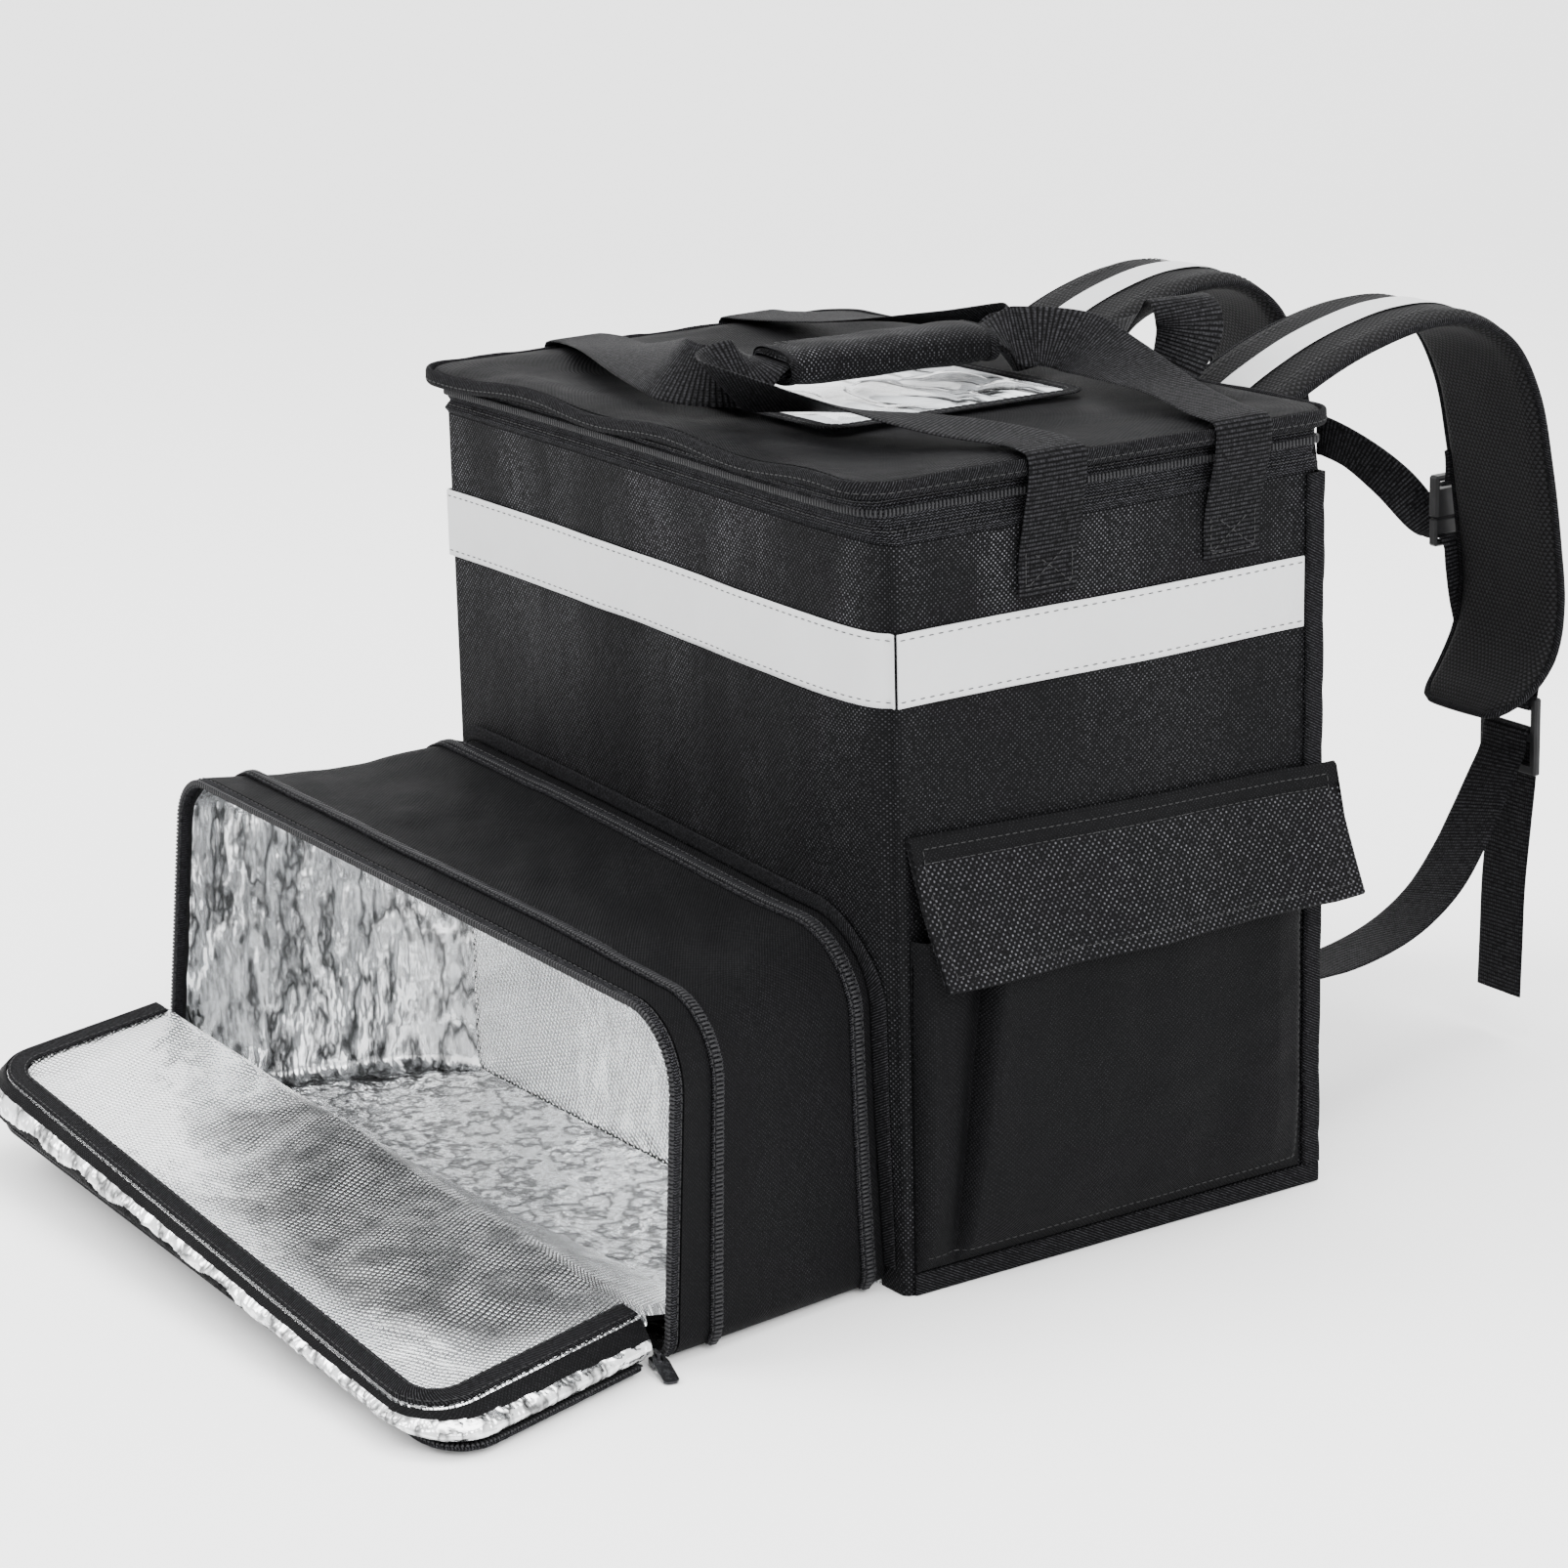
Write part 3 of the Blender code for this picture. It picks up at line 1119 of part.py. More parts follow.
def strap_tab(name, side):
    """Webbing tab that ties the ladder lock's top bar to the strap's outer face."""
    half = WEBBING_THICKNESS / 2 + GAP
    lock = reach_back(LOCK_Y, side)
    out = LOCK_THICKNESS / 2 + half
    under = LOCK_TOP - LOCK_BAR - half
    face = reach_back(np.array((0.4130, 0.4140, 0.4100)), side) + (0.0006 if side < 0 else 0)
    rows = [
        (face[0], 0.285), (face[1], 0.262), (face[2], 0.238), (lock + out + 0.0020, LOCK_TOP + 0.008),
        (lock + out + 0.0002, LOCK_TOP), (lock + out + 0.0002, under + 0.0035), (lock + out - 0.0006, under),
        (lock, under - 0.0014), (lock - out + 0.0006, under), (lock - out - 0.0002, under + 0.0035),
        (lock - out, LOCK_TOP), (lock - out - 0.0005, LOCK_TOP + 0.004),
    ]
    rows = [(side * LOCK_X, y, z, 1, 0, 0) for y, z in rows]
    strap_between(name, rows, WIDE_WEBBING, WEBBING_THICKNESS, "black_webbing")


def chest_strap():
    """Fastened buckle between two webbings, with the free end of the left one."""
    bottom = BUCKLE_TOP - SOCKET_HEIGHT - GAP - PLUG_HEIGHT
    size = (BUCKLE_THICKNESS, BUCKLE_WIDTH, SOCKET_HEIGHT)
    socket = box("buckle_socket", size, "black_plastic", 0.0015)
    socket.location = (CHEST_X, CHEST_Y, BUCKLE_TOP - SOCKET_HEIGHT / 2)
    slot_size = (BUCKLE_THICKNESS * 3, NARROW_WEBBING + 0.001, BUCKLE_SLOT)
    slot = box("socket_slot_guide", slot_size, "black_plastic")
    slot.location = (CHEST_X, CHEST_Y, BUCKLE_TOP - 0.003 - BUCKLE_SLOT / 2)
    boolean(socket, slot, "DIFFERENCE")
    size = (BUCKLE_THICKNESS * 0.8, BUCKLE_WIDTH, PLUG_HEIGHT)
    plug = box("buckle_plug", size, "black_plastic", 0.0012)
    plug.location = (CHEST_X, CHEST_Y, bottom + PLUG_HEIGHT / 2)
    slot = box("plug_slot_guide", slot_size, "black_plastic")
    slot.location = (CHEST_X, CHEST_Y, bottom + 0.003 + BUCKLE_SLOT / 2)
    boolean(plug, slot, "DIFFERENCE")
    edge = STRAP_X - STRAP_WIDTH / 2 - GAP
    high = BUCKLE_TOP - 0.003 - BUCKLE_SLOT / 2
    inside = edge - WEBBING_THICKNESS / 2 - GAP
    rows = [
        (inside, CHEST_Y - 0.0040, 0.3560, 0, 1, 0), (inside - 0.001, CHEST_Y - 0.002, 0.3480, 0, 1, 0),
        (CHEST_X + 0.0078, CHEST_Y, high + 0.0040, 0, 1, 0),
        (CHEST_X + 0.0055, CHEST_Y, high + 0.0003, 0, 1, 0), (CHEST_X - 0.0010, CHEST_Y, high, 0, 1, 0),
    ]
    strap_between("chest_webbing_right", rows, NARROW_WEBBING, WEBBING_THICKNESS, "black_webbing")
    low = bottom + 0.003 + BUCKLE_SLOT / 2
    rows = [
        (-edge + 0.0006, 0.3730, 0.3500, 0, 0, 1), (-edge + 0.0080, 0.3731, 0.3498, 0, 0, 1),
        (-0.022, 0.3790, 0.3430, 0.3, 0.05, 1),
        (0.000, 0.3920, 0.3250, 0.4, 0.5, 0.8), (0.0165, CHEST_Y - 0.0025, 0.3045, 0.2, 0.9, 0.25),
        (0.0240, CHEST_Y, 0.2975, 0, 1, 0),
        (CHEST_X - 0.0070, CHEST_Y, low - 0.0014, 0, 1, 0),
        (CHEST_X, CHEST_Y, low + 0.0002, 0, 1, 0), (CHEST_X + 0.0055, CHEST_Y, low - 0.0005, 0, 1, 0),
        (CHEST_X + 0.0080, CHEST_Y, low - 0.0050, 0, 1, 0),
        (CHEST_X + 0.0085, CHEST_Y + 0.001, 0.282, 0, 1, 0),
        (CHEST_X + 0.0085, CHEST_Y + 0.004, 0.262, -0.05, 1, 0),
        (CHEST_X + 0.0090, CHEST_Y + 0.009, 0.240, -0.12, 1, 0),
    ]
    strap_between("chest_webbing_left", rows, NARROW_WEBBING, WEBBING_THICKNESS, "black_webbing")


def main():
    clear_scene()
    main_body()
    lid_zip_band()
    lid()
    lid_binding()
    window()
    stripes()
    body_tapes()
    handles()
    handle_grip()
    grab_loop()
    side_pocket()
    side_flap()
    front_sleeve()
    sleeve_zips()
    expansion_tape()
    front_panel()
    panel_binding()
    panel_gusset()
    panel_zip()
    zip_slider()
    pull_tab()
    for name, side in (("right", 1), ("left", -1)):
        shoulder_strap(f"shoulder_strap_{name}", side)
        lower_webbing(f"lower_webbing_{name}", side)
        ladder_lock(f"ladder_lock_{name}", side)
        strap_tab(f"strap_tab_{name}", side)
    chest_strap()


main()
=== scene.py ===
"""Looks of the insulated delivery backpack: cloth, foil, webbing, zips and padding on its frame.

Metres, +Z up, the front compartment towards -Y. Each piece is a surface worked out with numpy.
"""
import math

import bpy
import numpy as np
from mathutils import Matrix


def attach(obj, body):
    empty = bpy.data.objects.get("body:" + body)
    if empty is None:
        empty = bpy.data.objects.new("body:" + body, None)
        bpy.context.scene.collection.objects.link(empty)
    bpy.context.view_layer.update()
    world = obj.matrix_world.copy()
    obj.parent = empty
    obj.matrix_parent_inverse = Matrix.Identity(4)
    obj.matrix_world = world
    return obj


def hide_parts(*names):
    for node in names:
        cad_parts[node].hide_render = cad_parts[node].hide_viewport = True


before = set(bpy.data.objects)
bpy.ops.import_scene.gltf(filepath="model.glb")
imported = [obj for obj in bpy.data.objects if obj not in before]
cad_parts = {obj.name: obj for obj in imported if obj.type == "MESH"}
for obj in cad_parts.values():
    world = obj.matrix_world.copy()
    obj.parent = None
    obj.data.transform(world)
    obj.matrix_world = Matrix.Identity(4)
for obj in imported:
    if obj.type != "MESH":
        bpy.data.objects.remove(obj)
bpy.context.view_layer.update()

bl_info = {
    "name": "Delivery Backpack",
    "version": (1, 0, 0),
    "blender": (4, 5, 0),
    "location": "3D View > Sidebar > Backpack",
    "description": "Builds an insulated delivery backpack with its stage",
    "category": "Add Mesh",
}

BODY = "pack"
CLOTH_MAP = "cloth"

# Clearances between pieces that touch on the real pack
GAP = 0.0004
LAY = 0.0006

# Main compartment
BODY_WIDTH = 0.445
BODY_DEPTH = 0.280
BODY_HEIGHT = 0.406
BODY_WALL = 0.008
BODY_CORNER = 0.005
FRONT_BULGE = 0.012
SIDE_BULGE = 0.003
BULGE_SKEW = 5.0
BULGE_FULLNESS = 0.4
BULGE_ROWS = (
    (0.00, 0.00), (0.09, 0.28), (0.20, 0.56), (0.34, 0.80), (0.54, 0.98), (0.79, 0.98),
    (0.89, 0.76), (0.95, 0.58), (1.00, 0.50),
)
# Each wall: columns, signs of x and y at its seat, and the seed of its dents
FACES = {
    "front": (150, 1, -1, 11), "right": (110, 1, 1, 23),
    "back": (100, -1, 1, 37), "left": (90, -1, -1, 41),
}
CORNER_POINTS = 6
BODY_ROWS = 90
FRONT_RUN = BODY_WIDTH - 2 * BODY_CORNER
SIDE_RUN = BODY_DEPTH - 2 * BODY_CORNER

# Lid, its binding and the zip band under it
LID_HEIGHT = 0.4365
LID_RISE_RIGHT = 0.0187
LID_RISE_BACK = -0.007
LID_THICKNESS = 0.008
LID_OVERHANG = 0.0065
LID_CORNER = 0.020
LID_PUFF = 0.0024
LID_PUFF_ROWS = ((0.0, 0.3), (0.30, 0.3), (0.78, 0.3), (0.88, 1.0), (0.96, 0.8), (1.0, 0.0))
LID_WAVE = 0.0022
LID_FRONT_PUSH = 0.020
LID_CORNER_PULL = 0.005
BAND_THICKNESS = 0.003
BAND_LEAN = 0.85
BINDING_THICKNESS = 0.003
BINDING_HEIGHT = 0.009

# Clear document window on the lid
WINDOW_WIDTH = 0.186
WINDOW_DEPTH = 0.176
WINDOW_X = 0.012
WINDOW_Y = -0.008
WINDOW_BORDER = 0.010
WINDOW_TAPE = 0.0014
WINDOW_CORNER = 0.016
WINDOW_HEM = 0.0022
FILM_THICKNESS = 0.0006

# Reflective bands
STRIPE_TOP = 0.3605
STRIPE_HEIGHT = 0.0385
STRIPE_THICKNESS = 0.0010
STRIPE_REACH = 0.0046
STRIPE_HEM = 0.0030

# Webbing, handles and their grip
WIDE_WEBBING = 0.038
NARROW_WEBBING = 0.025
WEBBING_THICKNESS = 0.0016
HANDLE_END = 0.3685
HANDLE_FRONT_Y = -0.045
HANDLE_BACK_Y = 0.078
GRIP_X = 0.030
GRIP_Y = -0.012
GRIP_Z = 0.4612
GRIP_LENGTH = 0.128
GRIP_WIDTH = 0.046
GRIP_HEIGHT = 0.020
GRIP_ROOM = 0.0092
GRIP_YAW = math.radians(7)
GRIP_STACK = 0.0024
HANDLE_TWIST = 0.020
HANDLE_TURN = 0.0265
HANDLE_BANK = math.radians(49)
HANDLE_DROP = -0.0015
SEWN_BOX_EDGE = 0.004
SEWN_BOX_TOP = 0.026

# Grab loop at the top of the back
LOOP_X = 0.043
LOOP_SPREAD = 0.031
LOOP_FOOT = 0.392
LOOP_TOP = 0.474

# Pocket on the right wall and its flap
POCKET_FRONT = -0.1345
POCKET_BACK = 0.1275
POCKET_BOTTOM = 0.0135
POCKET_TOP = 0.196
POCKET_DEPTH = 0.013
POCKET_SLANT = 0.022
POCKET_CLOTH = 0.0018
POCKET_GRID = (120, 100)
POCKET_COLUMNS = (
    (0.000, 0.00), (0.008, 0.42), (0.025, 0.72), (0.045, 0.76), (0.064, 0.58), (0.080, 0.22),
    (0.092, 0.10), (0.100, 0.70), (0.108, 1.12), (0.130, 1.18), (0.220, 1.04), (0.500, 1.00),
    (0.900, 1.00), (0.965, 0.85), (1.000, 0.00),
)
POCKET_ROWS = ((0.00, 0.0), (0.05, 0.45), (0.16, 0.85), (0.35, 1.0), (0.70, 1.0), (1.00, 1.0))
FLAP_FRONT = -0.1365
FLAP_LENGTH = 0.2855
FLAP_TOP_FRONT = 0.2515
FLAP_TOP_BACK = 0.2425
FLAP_BOTTOM = 0.1745
FLAP_FLARE = 0.026
FLAP_SLANT = 0.006
FLAP_WAVE = 0.0015
FLAP_THICKNESS = 0.0026
FLAP_HEM = 0.0125
FLAP_GRID = (120, 60)

# Binding tapes on the body's edges
TAPE_WIDTH = 0.010
TAPE_THICKNESS = 0.0015
BASE_TAPE_HEIGHT = 0.012

# Front compartment
SLEEVE_BACK_LEFT = -0.2215
SLEEVE_BACK_RIGHT = 0.2060
SLEEVE_BACK_HEIGHT_LEFT = 0.2140
SLEEVE_BACK_HEIGHT_RIGHT = 0.2010
SLEEVE_LIFT = 0.0008
SLEEVE_WALL = 0.005
SLEEVE_RIGHT_CORNER = 0.042
SLEEVE_LEFT_CORNER = 0.026
SLEEVE_BOTTOM_CORNER = 0.014
SLEEVE_SAG = 0.004
SLEEVE_LEFT_SPREAD = 0.020
MOUTH_LEFT_TOP = (-0.262, -0.298, 0.2115)
MOUTH_LEFT_BOTTOM = (-0.290, -0.305, 0.0008)
MOUTH_RIGHT_TOP = (0.236, -0.2815, 0.1885)
MOUTH_RIGHT_BOTTOM = (0.223, -0.2835, 0.0008)
ZIP_PROUD = 0.0022
OPENING_ZIP_DEPTH = 0.006
EXPANSION_TAPE_WIDTH = 0.010
CORNER_STEPS = 14
SIDE_STEPS = (90, 46, 90, 46)
SLEEVE_ROWS = (60, 50)

# Front panel, folded down
PANEL_CORNERS = (
    (-0.284, -0.3130, 0.0660), (0.209, -0.2920, 0.0260),
    (-0.262, -0.4370, 0.0600), (0.247, -0.4480, 0.0190),
)
ZIP_CORNERS = (
    (-0.294, -0.3145, 0.0350), (0.2235, -0.3010, 0.0042),
    (-0.270, -0.4370, 0.0290), (0.267, -0.4450, 0.0040),
)
PANEL_THICKNESS = 0.009
PANEL_CORNER = 0.036
PANEL_TONGUE = 0.044
PANEL_TONGUE_INSET_LEFT = 0.034
PANEL_TONGUE_INSET_RIGHT = 0.010
PANEL_TAPE_WIDTH = 0.015
PANEL_TAPE_THICKNESS = 0.0016
GUSSET_THICKNESS = 0.0016
GUSSET_CLEAR = 0.0012
GUSSET_BULGE = 0.009
GUSSET_RUFFLE = 0.0014
GUSSET_SEAM = 0.64
PANEL_ZIP_WIDTH = 0.007
PANEL_ZIP_THICKNESS = 0.0028
EDGE_START = 0.008
PANEL_COLUMNS = 190
PANEL_SIDE_POINTS = 40
PANEL_CORNER_POINTS = 22

# Shoulder straps and their webbing, seen from the right
STRAP_X = 0.090
STRAP_WIDTH = 0.080
STRAP_THICKNESS = 0.010
STRAP_EDGE = 0.004
STRAP_ROUTE = (
    (0.1456, 0.330), (0.1458, 0.358), (0.1570, 0.386), (0.1830, 0.4125), (0.2250, 0.4340),
    (0.2620, 0.4460), (0.3000, 0.4525), (0.3350, 0.4500), (0.3640, 0.4330), (0.3830, 0.4010),
    (0.3940, 0.3570), (0.4020, 0.3100), (0.4060, 0.2700), (0.4010, 0.2430), (0.3860, 0.2220),
    (0.3660, 0.2080),
)
STRAP_REACH_LEFT = 0.885
STRAP_CLOSE = 0.025
STRAP_ROUND_FROM = 0.90
STRAP_TIP = 0.55
STRIPE_FROM = 0.11
STRIPE_TO = 0.72
STRAP_STRIPE_WIDTH = 0.024
STRAP_STRIPE_THICKNESS = 0.0008
LOWER_ROUTE = (
    (0.172, 0.1418, 0.152), (0.171, 0.1436, 0.124), (0.168, 0.1570, 0.106),
    (0.162, 0.1920, 0.0995), (0.150, 0.2400, 0.0985), (0.136, 0.2830, 0.1025),
    (0.124, 0.3180, 0.1130), (0.112, 0.3470, 0.1290), (0.104, 0.3680, 0.1470),
    (0.100, 0.3830, 0.1640), (0.099, 0.3915, 0.1760), (0.099, 0.3942, 0.1835),
    (0.099, 0.3946, 0.1895), (0.099, 0.3959, 0.1933), (0.099, 0.3990, 0.1946),
    (0.099, 0.4021, 0.1933), (0.099, 0.4034, 0.1895), (0.099, 0.4034, 0.1800),
    (0.099, 0.4030, 0.1640), (0.099, 0.4000, 0.1350), (0.099, 0.3960, 0.0950),
    (0.100, 0.3940, 0.0600), (0.100, 0.3930, 0.0270),
)
LOCK_X = 0.099
LOCK_Y = 0.3990
LOCK_TOP = 0.2140
LOCK_BAR = 0.0055
LOCK_THICKNESS = 0.0050
CHEST_X = 0.0370
CHEST_Y = 0.4050
BUCKLE_TOP = 0.3360
SOCKET_HEIGHT = 0.0260
PLUG_HEIGHT = 0.0170
BUCKLE_SLOT = 0.0050

# Camera of the photograph
CAMERA_AZIMUTH = math.radians(55.972)
CAMERA_ELEVATION = math.radians(16.126)
CAMERA_ROLL = math.radians(-1.386)
CAMERA_DISTANCE = 2.6709
CAMERA_TARGET = (0.0, 0.0, 0.2)
CAMERA_RIGHT = -0.0498
CAMERA_UP = 0.0062
CAMERA_LENS = 107.66
CAMERA_SENSOR = 36.0
CAMERA_CLIP = 50.0

# Stage: the floor runs back, then bends up; each light has a name, a place, a width and a power
FLOOR_FRONT = -4.0
FLOOR_BEND = 3.0
FLOOR_RADIUS = 1.5
FLOOR_HALF_WIDTH = 6.0
FLOOR_DROP = 0.0002
WORLD_STRENGTH = 2.3
LIGHTS = (
    ("key", (-1.6, -2.2, 2.6), 2.2, 130.0), ("side", (2.8, -0.6, 1.9), 1.8, 110.0),
    ("top", (0.2, 0.4, 3.2), 2.4, 120.0),
)

# Weaves: lengths of their waves in metres; gain, coarseness and evenness of the shell cloth's painted
# sheen and wear
TWILL_RIB = 0.0016
TWILL_SLANT = 0.0030
TWILL_PICK = 0.0011
WEBBING_THREAD = 0.0017
ZIP_RIB = 0.0015
ZIP_LEAN = 0.0044
FOIL_GRID = 0.0068
MESH_HOLE = 0.0026
CLOTH_TONES = {"side": (1.5, 1.0, 0.16), "flap": (1.5, 1.35, 0.40), "quiet": (0.35, 0.85, 0.20)}

# Which directions of a grid join their ends: none, the columns with a fan at each end row, or both
OPEN = (False, False)
CAPPED = (False, True)
RING = (True, True)
UP = (0.0, 0.0, 1.0)
ALONG_X = (1.0, 0.0, 0.0)
SHARP_ANGLE = math.radians(60)

# A sheet's rounded edge: its bulge as a share of the thickness, and its width on the map
EDGE_BULGE = 0.35
EDGE_MAP = 0.001


def metres(label, description, default):
    """A length, shown in metres."""
    return bpy.props.FloatProperty(
        name=label, description=description, default=default, unit="LENGTH")


def shade(label, description, default):
    """A linear colour, shown as a swatch."""
    return bpy.props.FloatVectorProperty(
        name=label, description=description, default=default, subtype="COLOR")


class BackpackSizes(bpy.types.PropertyGroup):
    """Sizes of the cloth, the thread and the folds."""

    thread_pitch: metres("Thread pitch", "Distance between the shell cloth's threads", 0.00140)
    rib_pitch: metres("Rib pitch", "Distance between the webbing's ribs", 0.0024)
    tooth_pitch: metres("Tooth pitch", "Distance between a zip's teeth", 0.0024)
    stitch_length: metres("Stitch length", "Length of one stitch", 0.0032)
    stitch_gap: metres("Stitch gap", "Gap between two stitches", 0.0014)
    stitch_radius: metres("Stitch radius", "Radius of the sewing thread", 0.00032)
    dent_depth: metres("Dent depth", "Depth of the soft dents in the walls", 0.0022)
    foil_depth: metres("Foil crumple", "Height of the foil's crumpled facets", 0.0012)
    piping_radius: metres("Piping radius", "Radius of the piping on the shoulder straps", 0.0022)


class BackpackColours(bpy.types.PropertyGroup):
    """Colours of the materials."""

    cloth: shade("Shell cloth", "Coated shell cloth", (0.0034, 0.0034, 0.0037))
    tape: shade("Binding tape", "Ribbed binding tape", (0.0042, 0.0042, 0.0046))
    webbing: shade("Webbing", "Handles and straps", (0.0030, 0.0030, 0.0033))
    zip_tape: shade("Zip tape", "Woven tape of the zips", (0.0036, 0.0036, 0.0040))
    teeth: shade("Zip teeth", "Nylon teeth", (0.013, 0.013, 0.014))
    reflective: shade("Reflective tape", "Silver-grey safety bands", (0.44, 0.445, 0.45))
    foil: shade("Foil", "Insulating foil lining", (0.86, 0.87, 0.88))
    # The film's pale colour is a painted reflection of the studio light.
    film: shade("Film", "Clear film of the document window", (0.62, 0.64, 0.66))
    mesh: shade("Spacer mesh", "Open mesh of the shoulder straps", (0.0034, 0.0034, 0.0037))
    plastic: shade("Plastic", "Buckles and adjusters", (0.006, 0.006, 0.0065))
    metal: shade("Metal", "Zip slider and its tab", (0.035, 0.035, 0.038))
    thread: shade("Thread", "Sewing thread on the dark cloth", (0.0045, 0.0045, 0.0050))
    pale_thread: shade(
        "Band thread", "Sewing thread on the reflective bands", (0.035, 0.035, 0.037))
    floor: shade("Floor", "Plain pale floor", (0.93, 0.93, 0.93))


class Wire:
    """A shader value, so that maths on it is written as a Python expression."""

    def __init__(self, finish, socket):
        self.finish = finish
        self.socket = socket

    def maths(self, operation, *values):
        """The named operation on wires or numbers."""
        return self.finish.add("ShaderNodeMath", {"operation": operation}, dict(enumerate(values)))

    def __add__(self, other):
        return self.maths("ADD", self, other)

    def __sub__(self, other):
        return self.maths("SUBTRACT", self, other)

    def __rsub__(self, other):
        return self.maths("SUBTRACT", other, self)

    def __mul__(self, other):
        return self.maths("MULTIPLY", self, other)

    def __truediv__(self, other):
        return self.maths("DIVIDE", self, other)

    def __pow__(self, other):
        return self.maths("POWER", self, other)

    __radd__ = __add__
    __rmul__ = __mul__

    def sine(self):
        """The sine of the value."""
        return self.maths("SINE", self)

    def ripple(self):
        """A sine wave between 0 and 1."""
        return self.sine() * 0.5 + 0.5

    def size(self):
        """The value without its sign."""
        return self.maths("ABSOLUTE", self)

    def clamped(self):
        """The value kept between 0 and 1."""
        return self.finish.add("ShaderNodeClamp", {}, {"Value": self})

    def between(self, low, high):
        """0 below the low value, 1 above the high one, smooth between them."""
        settings = {"interpolation_type": "SMOOTHSTEP"}
        values = {"Value": self, "From Min": low, "From Max": high}
        return self.finish.add("ShaderNodeMapRange", settings, values)


class Finish:
    """A Principled material whose nodes are added by one method."""

    def __init__(self, name, **constants):
        self.material = bpy.data.materials.new(name)
        self.material.use_nodes = True
        self.tree = self.material.node_tree
        self.shader = self.tree.nodes["Principled BSDF"]
        for socket, value in constants.items():
            self.shader.inputs[socket.replace("_", " ")].default_value = value

    def add(self, kind, settings, values, output=0):
        """Add a node with its settings, feed its inputs and hand out one of its outputs."""
        node = self.tree.nodes.new(kind)
        for key, value in settings.items():
            setattr(node, key, value)
        for key, value in values.items():
            self.feed(node.inputs[key], value)
        return Wire(self, node.outputs[output])

    def feed(self, socket, value):
        """Link a wire to a socket, or set the socket to a plain value."""
        if isinstance(value, Wire):
            self.tree.links.new(value.socket, socket)
        else:
            socket.default_value = value

    def along_cloth(self):
        """The piece's own map: metres along the cloth and metres across it."""
        return self.split(self.add("ShaderNodeUVMap", {"uv_map": CLOTH_MAP}, {}))

    def split(self, place):
        """The three parts of a place."""
        return [self.add("ShaderNodeSeparateXYZ", {}, {0: place}, axis) for axis in range(3)]

    def object_place(self):
        """The place on the piece, in metres."""
        return self.add("ShaderNodeTexCoord", {}, {}, "Object")

    def stretched(self, scale):
        """The place on the piece times a scale for each axis."""
        values = {0: self.object_place(), 1: scale}
        return self.add("ShaderNodeVectorMath", {"operation": "MULTIPLY"}, values)

    def noise(self, scale, detail=3.0, roughness=0.55, place=None):
        """Cloudy noise, finer as the scale grows."""
        values = {"Vector": place or self.object_place(), "Scale": scale, "Detail": detail,
                  "Roughness": roughness}
        return self.add("ShaderNodeTexNoise", {}, values)

    def mixed(self, share, first, second):
        """The first colour, turning to the second as the share grows."""
        values = {0: share, 6: first, 7: second}
        return self.add("ShaderNodeMix", {"data_type": "RGBA", "clamp_factor": True}, values, 2)

    def tinted(self, share, name, low, high):
        """A named colour, from its low gain to its high gain as the share grows."""
        return self.mixed(share, colour(name, low), colour(name, high))

    def bump(self, height, distance, before=None):
        """A normal that leans with a height, on top of the normal before it."""
        values = {"Height": height, "Distance": distance, "Strength": 1.0}
        if before is not None:
            values["Normal"] = before
        return self.add("ShaderNodeBump", {}, values)

    def use(self, **values):
        """Feed the shader's named inputs and hand out the material."""
        for socket, value in values.items():
            self.feed(self.shader.inputs[socket.replace("_", " ")], value)
        return self.material


def colour(name, gain=1.0):
    """One of the colours times a gain, kept at or below 1."""
    value = getattr(bpy.context.scene.backpack_colours, name)
    return (*(min(part * gain, 1.0) for part in value), 1.0)


def sizes():
    """The sizes set in the panel."""
    return bpy.context.scene.backpack_sizes


def turn(wave):
    """Radians in a metre for a wave of the given length."""
    return 2 * math.pi / wave


def once(maker):
    """Make a material at its first use and hand out the same one afterwards."""
    made = {}

    def handed(*words):
        if words not in made:
            made[words] = maker(*words)
        return made[words]

    return handed


@once
def shell_cloth(tone):
    """Coated basket weave: raised dots where the threads cross, bright in upright streaks of painted
    sheen and wear.
    """
    gain, coarse, even = CLOTH_TONES[tone]
    f = Finish(f"shell_cloth_{tone}", Specular_IOR_Level=0.03)
    u, v, _ = f.along_cloth()
    weave = turn(2 * sizes().thread_pitch * coarse)
    height = (u * weave).sine() * (v * weave).sine() * 0.5 + 0.5
    streaks = f.noise(15.0, 4.0, 0.60, f.stretched((1.0, 1.0, 0.30))).between(0.40, 0.76)
    grit = f.noise(420.0, 2.0, 0.6)
    _, y, z = f.split(f.object_place())
    # Painted sheen: the bright dots grow stronger higher up the walls and weaker towards the back.
    high = z.between(0.25, 0.39) * 0.60 + 0.28
    sheen_and_wear = streaks * high * (1 - y.between(-0.10, 0.05) * 0.65) + even
    # The bright dots on the weave are a painted highlight, partly wear.
    rubbed = (height.between(0.60, 0.98) * sheen_and_wear * grit.between(0.30, 0.70) * gain).clamped()
    ground = f.tinted(f.noise(5.0, 3.0, 0.5), "cloth", 0.7, 1.3)
    base = f.mixed(rubbed, ground, colour("cloth", 34.0))
    slow = f.bump(f.noise(34.0, 4.0, 0.6), 0.0014)
    fine = f.bump(height + grit * 0.3, 0.00040, slow)
    return f.use(Base_Color=base, Roughness=0.56 - streaks * 0.08 + grit * 0.10, Normal=fine)


@once
def binding_tape():
    """Twill tape: slanting ribs across a woven ground, paler on the ribs."""
    f = Finish("binding_tape", Specular_IOR_Level=0.03)
    u, v, _ = f.along_cloth()
    ribs = (u * turn(TWILL_RIB) + v * turn(TWILL_SLANT)).ripple()
    picks = (v * turn(TWILL_PICK)).ripple()
    grit = f.noise(700.0, 3.0, 0.65)
    base = f.tinted((ribs * grit).between(0.25, 0.8), "tape", 0.6, 9.0)
    rough = 0.78 - ribs * 0.12
    return f.use(Base_Color=base, Roughness=rough, Normal=f.bump(ribs + picks * 0.4, 0.0003))


